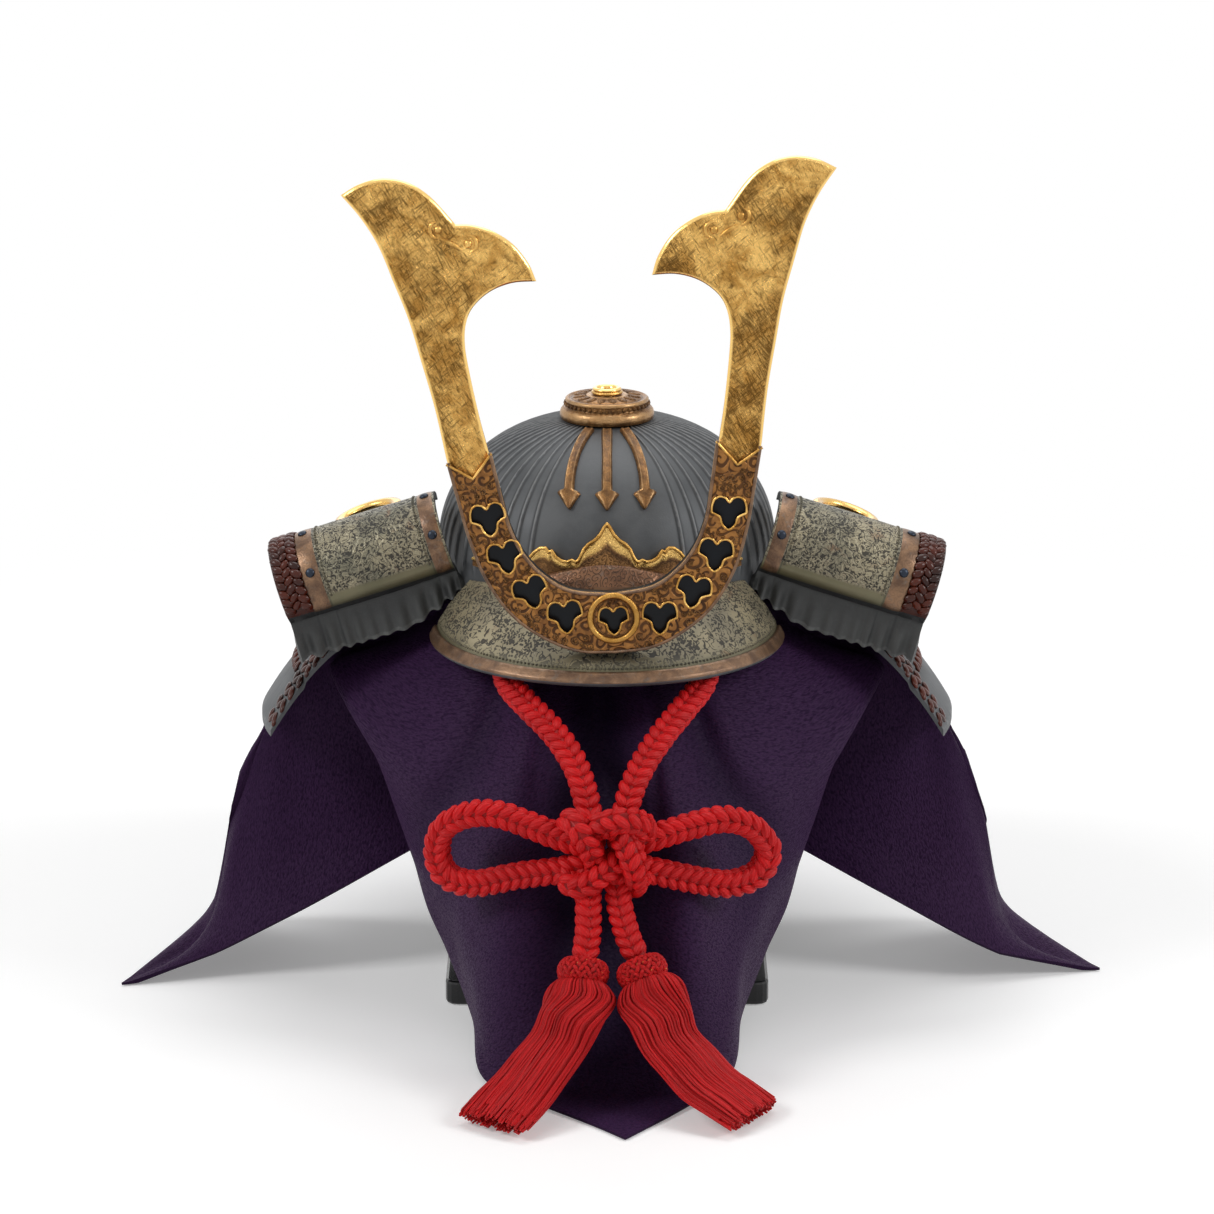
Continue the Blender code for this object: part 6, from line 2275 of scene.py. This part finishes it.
    def dimples(self, shop: Workshop, side: Side) -> None:
        """A pair of raised C shapes joined by a curved line."""
        pair = (mm(-65.8, 332.8, 0), mm(-54.1, 327.3, 0)) if side is Side.LEFT else (
            mm(52.1, 338.3, 0), mm(41.6, 332.8, 0))
        face = self.y - self.horn_thick / 2 + 0.05 * MM
        lines = []
        for number, centre in enumerate(pair):
            begin = 2.0 if number == 0 else -1.1
            arc = []
            for k in range(20):
                turn = begin + 3.0 * k / 19 - 0.2
                turn = math.pi - turn if side is Side.RIGHT else turn
                arc.append(centre + spoke(turn) * 3.3 * MM)
            lines.append([Vector((p.x, face, p.y)) for p in arc])
        first, second = pair
        inward = 1.0 if side is Side.LEFT else -1.0
        curve = smooth_line(
            [first + mm(0.4 * inward, -3.2, 0), first.lerp(second, 0.5) + mm(-0.8 * inward, -2.6, 0),
             second + mm(-2.2 * inward, -2.6, 0)], 8)
        lines.append([Vector((p.x, face, p.y)) for p in curve])
        settle(shop.threads("horn_dimples_" + side.word, lines, 0.85 * MM, shop.palette.bright_gold, 8,
                            False, lambda t: 0.35 + 0.85 * math.sin(math.pi * t)), "burnished_gold")
        spots = [Spot(Vector((p.x, face, p.y)), Vector((0, 0, 1)), Vector((1, 0, 0)), 1.0) for p in pair]
        settle(shop.stamps("horn_studs_" + side.word, spots, Stamp.BEAD, (1.7 * MM, 1.0 * MM, 1.7 * MM),
                           shop.palette.bright_gold),
               "burnished_gold")

    def bracket(self, shop: Workshop) -> None:
        """Give the bracket behind the holder its finish; its solid stays."""
        shop.dress_node("crest_bracket", shop.palette.copper)


@dataclass
class DisplayCloth:
    """Square crepe cloth that falls from the head of the stand in soft folds."""

    side: float = 455 * MM
    thick: float = 1.2 * MM
    head_radius: float = 36 * MM
    head_base: float = 200 * MM
    head_top: float = 227.6 * MM
    head_rings: tuple[float, ...] = (84, 78, 70, 61, 52, 42, 27, 12)
    columns_each: int = 12
    waves: tuple[Triple, ...] = ((-19, 0, 15), (7, 29, 8), (6.5, -33, 9), (-8, 50, 9), (-6, -54, 9))
    folds: tuple[tuple[float, tuple[Triple, ...]], ...] = (
        (0.0, ((0, -56, 168), (0, -82, 150), (0, -116, 115), (0, -139, 76), (0, -179, 3),
               (7, -222, 1.6))),
        (11.5, ((11, -55, 168), (20, -80, 149), (28, -111, 114), (34, -132, 76), (42, -158, 14),
                (47, -162, 1.6))),
        (22.5, ((21, -52, 168), (42, -72, 147), (54, -98, 112), (56, -108, 80), (58, -116, 46),
                (55, -117, 13))),
        (32.0, ((30, -47, 168), (66, -54, 145), (86, -62, 112), (80, -72, 84), (72, -82, 56),
                (66, -82, 28))),
        (40.7, ((38, -41, 168), (84, -30, 147), (116, -19, 131), (99, -28, 103), (89, -38, 79),
                (77, -46, 49))),
        (50.0, ((46, -32, 168), (88, -19, 147), (114, -10, 128), (84, -6, 100), (66, -2, 80),
                (52, 0, 62))),
        (64.0, ((53, -21, 168), (100, -12, 146), (127, -8, 125), (126, -8, 88), (118, -15, 56),
                (114, -27, 37))),
        (78.0, ((56, -11, 168), (108, -8, 142), (138, -5, 114), (152, -4, 74), (160, -16, 38),
                (166, -35, 12))),
        (90.0, ((57, 0, 168), (114, -3, 138), (141, 0, 109), (161, 2, 64), (173, -12, 14),
                (204, -43, 1.6))))

    def fold_lines(self) -> list[tuple[float, Row]]:
        """All fold lines round the cloth, with their flat angles."""
        lines = [(angle, [mm(*p) for p in stations]) for angle, stations in self.folds]
        for angle, stations in self.folds[-2::-1]:
            back = [mm(p[0], -p[1] * 0.96, p[2]) for p in stations]
            back[1].z -= 6 * MM * (90 - angle) / 90
            lines.append((180 - angle, back))
        for angle, stations in list(lines)[-2:0:-1]:
            lines.append((360 - angle, [Vector((-p.x, p.y, p.z)) for p in stations]))
        corner = lines[8][1][-1]
        corner.x += 5 * MM
        corner.y += 19 * MM
        return lines

    def columns(self) -> list[tuple[float, Row]]:
        """Each fold line from the crown of the head to the hem, with its flat angle."""
        made = []
        for angle, stations in self.fold_lines():
            turn = math.atan2(stations[0].x, -stations[0].y)
            head = []
            for ring in self.head_rings:
                ring_angle = math.radians(ring)
                grow = 1.8 * MM
                radius = (self.head_radius + grow) * math.cos(ring_angle) + 1.4 * MM
                height = self.head_base + (self.head_top - self.head_base + grow) * math.sin(ring_angle)
                head.append(Vector((radius * math.sin(turn), -radius * math.cos(turn), height)))
            drop = [head[-1].lerp(stations[0], k / 5) for k in range(1, 5)]
            made.append((angle, head + drop + smooth_line(stations, 10)))
        return made

    def grid(self) -> tuple[list[Row], list[list[Pair]]]:
        """Rows of points down the cloth, and the same points on the flat cloth."""
        lines = self.columns()
        count = len(lines)
        angles = [angle for angle, line in lines]
        rows: list[Row] = []
        for station in range(len(lines[0][1])):
            knots = [line[station] for angle, line in lines]
            ring = smooth_line(knots, self.columns_each, True)
            sharp = ease(len(lines[0][1]) - 16, len(lines[0][1]) - 2, station)
            for j in range(len(ring)):
                line, step = divmod(j, self.columns_each)
                if line % 8 in (0, 7):
                    straight = knots[line].lerp(knots[(line + 1) % count], step / self.columns_each)
                    ring[j] = ring[j].lerp(straight, sharp)
            for point in ring:
                point.z = max(point.z, self.thick + 0.1 * MM)
            rows.append(ring)
        flat: list[list[Pair]] = []
        runs = [0.0] * len(rows[0])
        for i, row in enumerate(rows):
            places = []
            for j, point in enumerate(row):
                if i:
                    runs[j] += (point - rows[i - 1][j]).length
                else:
                    runs[j] = math.hypot(point.x, point.y)
                line, step = divmod(j, self.columns_each)
                after = angles[(line + 1) % count] if line + 1 < count else 360.0
                angle = math.radians(angles[line] + (after - angles[line]) * step / self.columns_each)
                places.append((runs[j] * math.sin(angle), -runs[j] * math.cos(angle)))
            flat.append(places)
        return rows, flat

    def build(self, shop: Workshop) -> Object:
        """Make the cloth with its wrinkles and its rolled hem."""
        rows, flat = self.grid()
        normals = normals_of(rows, True)
        last = len(rows) - 1
        valleys = [[0.0] * len(row) for row in rows]
        for i, row in enumerate(rows):
            depth = ease(8, 22, i) * (1 - ease(last - 5, last, i) * 0.6)
            for j, point in enumerate(row):
                u, v = flat[i][j]
                reach = math.hypot(u, v)
                bearing = math.atan2(u, -v)
                soft = noise.noise(Vector((bearing * 3.2, reach * 9, 3.7)))
                fine = noise.noise(Vector((bearing * 9.0, reach * 16, 8.1)))
                loose = 1 + 1.2 * ease(24, 38, i)
                shift = (-1.5 + loose * (1.5 * soft + 0.6 * fine)) * MM * depth
                point -= normals[i][j] * shift
                swing = self.gather(
                    point.x / MM, math.degrees(bearing), 0.68 + 0.62 * ease(20, last - 16, i))
                swing *= self.hang(i, last)
                point.y += swing
                valleys[i][j] = min(max(swing / (13 * MM), 0.0), 1.0)
                point.z = max(point.z, self.thick + 0.1 * MM)
        normals = normals_of(rows, True)
        lower = []
        for i, row in enumerate(rows):
            hem = 1 + 0.6 * ease(last - 2.5, last - 0.5, i)
            lower.append([point + n * self.thick * hem for point, n in zip(row, normals[i])])
            for point in lower[-1]:
                point.z = max(point.z, 0.0002)
        draft = Draft()
        wide = len(rows[0])
        shell(draft, rows, lower, True, lambda i, j: flat[i][j % wide],
              {"hollow": lambda i, j: valleys[i][j % wide]})
        draft.cap(range(wide))
        draft.cap(range(len(rows) * wide, len(rows) * wide + wide))
        kept = [k for k, face in enumerate(draft.faces) if not self.rim_face(face, wide, len(rows))]
        for part in (draft.faces, draft.corners, draft.slots):
            part[:] = [part[k] for k in kept]
        made = draft.build("draped_cloth", [shop.palette.crepe], 70)
        area = sum((rows[i][j] - rows[i + 1][j]).cross(rows[i][(j + 1) % wide] - rows[i][j]).length
                   for i in range(last) for j in range(wide))
        LOG.info("cloth: area %.4f m2, %d columns", area, wide)
        settle(made, "purple_crepe", "display_cloth")
        return made

    @staticmethod
    def hang(row: int, last: int) -> float:
        """How freely the cloth hangs at a row, from the guard to the floor."""
        return ease(14, 30, row) * (1 - 0.85 * ease(last - 18, last - 8, row))

    def gather(self, x: float, bearing: float, spread: float) -> float:
        """Swing of the front and back panels: a deep valley between ridges that spread downwards."""
        front = 1 - ease(26, 42, abs(bearing))
        back = 1 - ease(26, 42, 180 - abs(bearing))
        x = (x + 4.0) / spread
        swing = sum(height * math.exp(-((x - centre) / width) ** 2) for height, centre, width in self.waves)
        return swing * MM * (0.55 * back - front)

    @staticmethod
    def rim_face(face: tuple[int, ...], wide: int, rows: int) -> bool:
        """Whether a face is the wall at the cloth's middle, which its caps replace."""
        if len(face) != 4:
            return False
        upper = [n for n in face if n < wide]
        lower = [n for n in face if rows * wide <= n < rows * wide + wide]
        return len(upper) == 2 and len(lower) == 2


@dataclass
class TiedCord:
    """Braided cord: two leads that run on as tails, two bow loops and the knot."""

    diameter: float = 11 * MM
    pitch: float = 4.35 * MM
    columns: int = 4
    leads: dict[str, tuple[Triple, ...]] = field(
        default_factory=lambda: {"left": ((-42.3, -76.4, 155.8), (-40.5, -88, 146.5), (-33, -102, 141),
                                          (-21, -115, 132), (-12.5, -125, 121.5), (-8.2, -133, 110),
                                          (-6.6, -138, 101), (-5.4, -141.5, 90), (-6.4, -145.5, 81),
                                          (-7.4, -149, 74), (-7.3, -155, 64), (-8.8, -162.6, 53)),
                                 "right": ((41.4, -75.4, 156.8), (39.5, -88, 146.5), (32, -102, 140),
                                           (22, -115, 131), (14, -125, 121.5), (8.8, -133, 111),
                                           (6.4, -138, 101), (4.6, -141.5, 90), (4.2, -145.5, 81),
                                           (4.6, -149, 74), (7, -155, 64), (12, -162.6, 53))})
    loops: dict[str, tuple[Triple, ...]] = field(
        default_factory=lambda: {"left": ((-5, -142, 93), (-16, -141, 96), (-31, -138, 101),
                                          (-43, -137, 105), (-54, -135, 104.5), (-64, -132, 98.5),
                                          (-67.5, -131, 88.5), (-64, -132, 78.5), (-53, -135, 75.5),
                                          (-36, -139, 80), (-17, -143, 84), (-5, -144, 87.5)),
                                 "right": ((5, -142, 93), (16, -141, 96), (31.5, -138, 100),
                                           (46, -137, 103), (57, -134, 99), (64, -131, 88.5),
                                           (59.5, -132, 78.5), (48, -135, 75.5), (32, -139, 79),
                                           (16.5, -143, 84), (5, -144, 87.5))})
    bights: tuple[tuple[Triple, ...], ...] = (
        ((-15, -139, 102), (-13.2, -146, 104.5), (-10.5, -150.5, 102.5), (-7.5, -151.5, 97.5),
         (-5.2, -148.5, 91.5), (-4.5, -142, 88)), ((-5.5, -141, 100), (-3.6, -148, 103), (2.4, -151, 106),
                                                   (9.0, -150.5, 106.5), (14, -146.5, 103.5),
                                                   (15.5, -140, 98)),
        ((3.5, -141, 101), (6.0, -148.5, 99.5), (9.2, -152, 93.5), (11.8, -151.5, 86), (11.8, -147, 79.5),
         (9, -140, 77.5)), ((-14, -139.5, 85), (-15.2, -146, 81), (-10.5, -151, 79.8), (-4, -152, 83.5),
                            (2.0, -149.5, 87.5), (6.0, -143, 90.5)))

    def braid(self, shop: Workshop, name: str, knots: Sequence[Triple], slim: float = 1.0,
              seed: int = 3) -> tuple[Object, Row]:
        """Braid a cord along a route.

        Args:
            shop: The workshop.
            name: Name of the piece.
            knots: Points of the route, in millimetres.
            slim: Share of the full diameter.
            seed: Seed of the tones.

        Returns:
            The cord, and the evenly spaced points of its route.
        """
        route = even_line(smooth_line([mm(*p) for p in knots], 14), 1.2 * MM)
        frames = carried_frames(route, Vector((0, -1, 0)))
        total = line_length(route)
        radius = self.diameter / 2 * slim
        chance = Random(seed)
        spots = []
        count = int(total / (self.pitch * slim))
        for column in range(self.columns):
            turn = math.pi / 4 + column * 2 * math.pi / self.columns
            hand = 1 if column % 2 else -1
            for k in range(count + 1):
                share = (k + 0.5) * self.pitch * slim / total
                if share > 0.995:
                    continue
                at = share * (len(route) - 1)
                low = min(int(at), len(route) - 2)
                here = route[low].lerp(route[low + 1], at - low)
                run, outward, across = frames[low]
                out = outward * math.cos(turn) + across * math.sin(turn)
                flat = run.cross(out)
                axis = (run * math.cos(0.72) + flat * hand * math.sin(0.72)).normalized()
                axis = (axis - out * 0.1).normalized()
                spots.append(Spot(here + out * radius * 0.57, axis, out, slim * chance.uniform(0.97, 1.03),
                                  chance.uniform(0.35, 1.0)))
        stitches = shop.stamps(
            name, spots, Stamp.STITCH, (2.8 * MM, 2.15 * MM, 4.1 * MM), shop.palette.braid)
        core = shop.threads(name + "_core", [route], radius * 0.7, shop.palette.core, 10)
        return join(stitches, core), route

    def build(self, shop: Workshop, tassels: dict[str, list[Object]]) -> None:
        """Args:
            shop: The workshop.
            tassels: Pieces on the far end of each side.
        """
        knot, route = self.braid(shop, "cord_knot_fine", self.bights[0], 0.96, 30)
        for number, knots in enumerate(self.bights[1:]):
            other, route = self.braid(shop, "cord_knot_bight", knots, 0.96, 31 + number)
            knot = join(knot, other)
        knot.name = "cord_knot_fine"
        settle(knot, "red_braid", "cord_knot")
        for number, side in enumerate(Side):
            word = side.word
            cord, route = self.braid(shop, "braided_cord_" + word, self.leads[word], 1.0, 3 + number)
            settle(cord, "red_braid", "cord_lead_" + word, "cord_tail_" + word)
            tuple(route[0])
            line_length(route)
            [tuple(p) for p in route]
            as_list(tassels[word])
            loop, route = self.braid(shop, "bow_loop_fine_" + word, self.loops[word], 1.0, 13 + number)
            settle(loop, "red_braid", "bow_loop_" + word)
            tuple(route[0])
            line_length(route)
            [tuple(p) for p in route]


@dataclass
class Tassel:
    """Knitted head and a skirt of silk threads, lying on the cloth and the floor."""

    side: Side
    head_radius: float = 10 * MM
    head_half: float = 4.6 * MM
    threads: int = 430
    rings: int = 6
    ring_stitches: int = 26
    tails: dict[str, tuple[Triple, Triple]] = field(default_factory=lambda: {
        "left": ((-7.3, -155, 64), (-8.8, -162.6, 53)), "right": ((7, -155, 64), (12, -162.6, 53))})
    skirts: dict[str, tuple[tuple[float, float, float, float, float], ...]] = field(
        default_factory=lambda: {"left": ((-19, -181, 25, 14, 6.5), (-32, -196, 12.5, 15.5, 5.5),
                                          (-43, -210, 5.2, 16, 3.4)),
                                 "right": ((25, -180, 25, 15, 6.5), (39.5, -192, 12.5, 17, 5.5),
                                           (55, -202, 5.2, 17.5, 3.4))})

    @property
    def run(self) -> Vector:
        """Direction in which the tail ends."""
        first, last = self.tails[self.side.word]
        return (mm(*last) - mm(*first)).normalized()

    @property
    def middle(self) -> Vector:
        """Centre of the head."""
        return mm(*self.tails[self.side.word][1]) + self.run * (0.3 * MM + self.head_half)

    def build(self, shop: Workshop) -> list[Object]:
        """Make the head and the skirt, and give the pieces."""
        head, sparks = self.head(shop)
        return [head, *self.skirt(shop), sparks]

    def head(self, shop: Workshop) -> tuple[Object, Object]:
        """Knitted turban over a core, with glints of gold thread."""
        palette = shop.palette
        run = self.run
        side = run.orthogonal().normalized()
        other = run.cross(side)
        chance = Random(40 + self.side.value)
        spots, glints = [], []
        for ring in range(self.rings):
            level = math.radians(-62 + 124 * ring / (self.rings - 1))
            for k in range(self.ring_stitches):
                turn = 2 * math.pi * (k + 0.5 * (ring % 2)) / self.ring_stitches
                out = side * math.cos(turn) + other * math.sin(turn)
                flat = run.cross(out)
                reach = (self.head_radius - 3.4 * MM) + 2.9 * MM * math.cos(level)
                lift = (self.head_half - 0.5 * MM) * math.sin(level)
                normal = (out * math.cos(level) + run * math.sin(level)).normalized()
                down = (run * math.cos(level) - out * math.sin(level)).normalized()
                hand = 1 if k % 2 else -1
                axis = (down * 0.75 + flat * hand * 0.66).normalized()
                here = self.middle + out * reach + run * lift
                spots.append(Spot(here, axis, normal, 1.0, chance.uniform(0.3, 1.0)))
                if chance.random() < 0.28:
                    glints.append(Spot(here + normal * 0.55 * MM + flat * 0.5 * MM, axis, normal,
                                       chance.uniform(0.6, 1.1)))
        word = self.side.word
        made = shop.stamps(
            "tassel_head_fine_" + word, spots, Stamp.STITCH, (0.95 * MM, 0.85 * MM, 1.55 * MM),
            palette.braid)
        profile = [(0.5, -4.2), (6.0, -4.2), (8.2, -3.2), (9.2, -1.2), (9.2, 1.2), (8.2, 3.2), (6.0, 4.2),
                   (0.5, 4.2)]
        draft = Draft()
        lathe(draft, [(r * MM, h * MM) for r, h in profile], 32, {"tone": lambda i, j: 0.2})
        core = draft.build("tassel_head_core", [palette.core], 60)
        core.data.transform(
            Matrix.Translation(self.middle) @ run.to_track_quat("Z", "Y").to_matrix().to_4x4())
        made = join(made, core)
        settle(made, "red_braid", "tassel_head_" + word)
        sparks = shop.stamps("tassel_glints_" + word, glints, Stamp.BEAD, (0.28 * MM, 0.22 * MM, 0.42 * MM),
                             palette.bright_gold)
        settle(sparks, "burnished_gold")
        return made, sparks

    def stations(self) -> list[Sized]:
        """Centre, half width and half thickness down the skirt."""
        start = self.middle + self.run * (self.head_half - 1.2 * MM)
        made = [(start, 8.0, 7.0), (self.middle + self.run * (self.head_half + 2.0 * MM), 12.0, 9.0),
                (self.middle + self.run * (self.head_half + 7.0 * MM), 14.0, 9.2)]
        for x, y, z, wide, thick in self.skirts[self.side.word]:
            place = mm(x, y, z)
            last = made[-1]
            made.append((last[0].lerp(place, 0.5), (last[1] + wide) / 2 + 0.3, (last[2] + thick) / 2))
            made.append((place, wide, thick))
        return made

    def skirt(self, shop: Workshop) -> list[Object]:
        """Threads over a plain core."""
        stations = self.stations()
        centres = [place for place, wide, thick in stations]
        axes = []
        for k in range(len(stations)):
            along = (centres[min(k + 1, len(centres) - 1)] - centres[max(k - 1, 0)]).normalized()
            across = Vector((along.y, -along.x, 0)).normalized()
            if k < 3:
                across = (Vector((1, 0, 0)) - self.run * self.run.x).normalized()
            elif across.x < 0:
                across = -across
            normal = across.cross(along).normalized()
            axes.append((across, normal if normal.y < 0 or normal.z > 0 else -normal))
        chance = Random(70 + self.side.value)
        lines = []
        for number in range(self.threads):
            turn = 2 * math.pi * (number + chance.uniform(-0.5, 0.5)) / self.threads * 3.0
            depth = chance.uniform(0.78, 1.0) if number % 3 else chance.uniform(0.5, 0.9)
            wander = [chance.uniform(-1, 1) for step in range(3)]
            points = []
            for k, (place, wide, thick) in enumerate(stations):
                share = k / (len(stations) - 1)
                angle = turn + 0.16 * wander[0] * share * math.sin(3 * share + wander[1] * 3)
                across, normal = axes[k]
                x = math.cos(angle) * wide * depth * MM + wander[2] * 1.0 * MM * share * math.sin(5 * share)
                y = math.sin(angle) * thick * depth * MM
                points.append(place + across * x + normal * y)
            fine = smooth_line(points, 3)
            tail = (fine[-1] - fine[-2]).normalized()
            fine.append(fine[-1] + tail * chance.uniform(0.5, 3.6) * MM)
            if chance.random() < 0.35:
                fine = fine[:-2]
            for point in fine:
                point.z = max(point.z, 0.9 * MM)
            lines.append(fine)
        word = self.side.word
        made = shop.threads(
            "tassel_threads_" + word, lines, 0.44 * MM, shop.palette.thread, 5, False, None, 900.0, 9)
        settle(made, "red_braid", "tassel_skirt_" + word)
        draft = Draft()
        rows = []
        for (a, wide_a, thick_a), (b, wide_b, thick_b), (across, normal) in zip(stations, stations[1:],
                                                                                axes):
            for t in (0.0, 1 / 3, 2 / 3):
                wide, thick = wide_a + (wide_b - wide_a) * t, thick_a + (thick_b - thick_a) * t
                rows.append(
                    [a.lerp(b, t) + (across * math.cos(turn) * wide + normal * math.sin(turn) * thick)
                     * 0.72 * MM for turn in (2 * math.pi * s / 20 for s in range(20))])
        numbers = draft.grid(rows, True, None, {"tone": lambda i, j: 0.1})
        draft.cap(numbers[0])
        draft.cap(numbers[-1])
        core = draft.build("tassel_filling_" + word, [shop.palette.core], 60)
        settle(core, "red_braid")
        return [made, core]


@dataclass
class Stand:
    """Black lacquered board, post and head, which keep their own solids."""

    nodes: tuple[str, ...] = ("stand_board", "stand_post", "stand_head")

    def build(self, shop: Workshop) -> None:
        """Give each node its lacquer."""
        for name in self.nodes:
            shop.dress_node(name, shop.palette.lacquer)


@dataclass
class Studio:
    """Pale floor, plain soft light and the camera at the photograph's angle."""

    distance: float = 2.0
    elevation: float = math.radians(15)
    target: Vector = field(default_factory=lambda: Vector((0.0, 0.0, 0.153)))
    lens: float = 141.2
    shade: float = 0.2
    lit: Triple = (0, 0, 120)
    floor_half: float = 3.0
    floor_drop: float = 0.3 * MM
    lamps: tuple[tuple[str, Triple, float, float], ...] = (
        ("key", (-1.5, -0.7, 1.4), 0.7, 15.5), ("fill", (1.6, -0.6, 1.2), 0.7, 14.0),
        ("top", (0.1, 0.5, 1.7), 1.2, 11.0), ("back", (-0.2, 1.6, 0.9), 1.0, 3.0))

    def camera(self) -> None:
        """Make the camera and look at the target."""
        data = bpy.data.cameras.new("photo_camera")
        data.lens = self.lens
        data.sensor_width = 36.0
        data.clip_start = 0.05
        obj = new_object("photo_camera", data)
        obj.location = self.target + Vector((0, -math.cos(self.elevation),
                                             math.sin(self.elevation))) * self.distance
        obj.rotation_euler = (self.target - obj.location).to_track_quat("-Z", "Y").to_euler()
        bpy.context.scene.camera = obj

    def build(self, shop: Workshop) -> None:
        """Make the floor, the world and the lamps."""
        size = self.floor_half
        data = bpy.data.meshes.new("studio_floor")
        data.from_pydata(
            [(-size, -size, 0), (size, -size, 0), (size, size, 0), (-size, size, 0)], [], [(0, 1, 2, 3)])
        data.materials.append(shop.palette.floor)
        floor = new_object("studio_floor", data)
        floor.location.z = -self.floor_drop
        floor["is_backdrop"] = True
        world = bpy.data.worlds.new("studio_world")
        world.use_nodes = True
        graph = Graph(world.node_tree)
        world.node_tree.nodes.clear()
        strength = graph.blend(graph.seen(), self.shade, 1.0)
        sky = graph.node("ShaderNodeBackground", {"Color": (1, 1, 1, 1), "Strength": strength})
        output = graph.node("ShaderNodeOutputWorld")
        graph.feed(output.inputs["Surface"], sky.outputs[0])
        bpy.context.scene.world = world
        for name, place, side, power in self.lamps:
            lamp = bpy.data.lights.new("lamp_" + name, "AREA")
            lamp.shape = "SQUARE"
            lamp.size = side
            lamp.energy = power
            obj = new_object("lamp_" + name, lamp)
            obj.location = place
            obj.rotation_euler = (mm(*self.lit) - obj.location).to_track_quat("-Z", "Y").to_euler()


def corners() -> list[list[float]]:
    """The shown object's box as plain lists."""
    return [[float(value) for value in corner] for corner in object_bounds()]


def main() -> None:
    """Build every sub-assembly in order and report it."""
    logging.basicConfig(level=logging.INFO, format="%(name)s: %(message)s")
    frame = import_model()
    bpy.context.scene.view_settings.view_transform = "Standard"
    studio = Studio()
    studio.camera()
    shop = Workshop(Palette(), frame["nodes"])
    tassels = {side.word: Tassel(side).build(shop) for side in Side}
    TiedCord().build(shop, tassels)
    Stand().build(shop)
    Bowl().build(shop)
    CrownFitting().build(shop)
    Arrows().build(shop)
    BrowBand().build(shop)
    Visor().build(shop)
    NeckGuard().build(shop)
    for side in Side:
        TurnBack(side).build(shop)
    Crest().build(shop)
    DisplayCloth().build(shop)
    studio.build(shop)


if __name__ == "__main__":
    main()
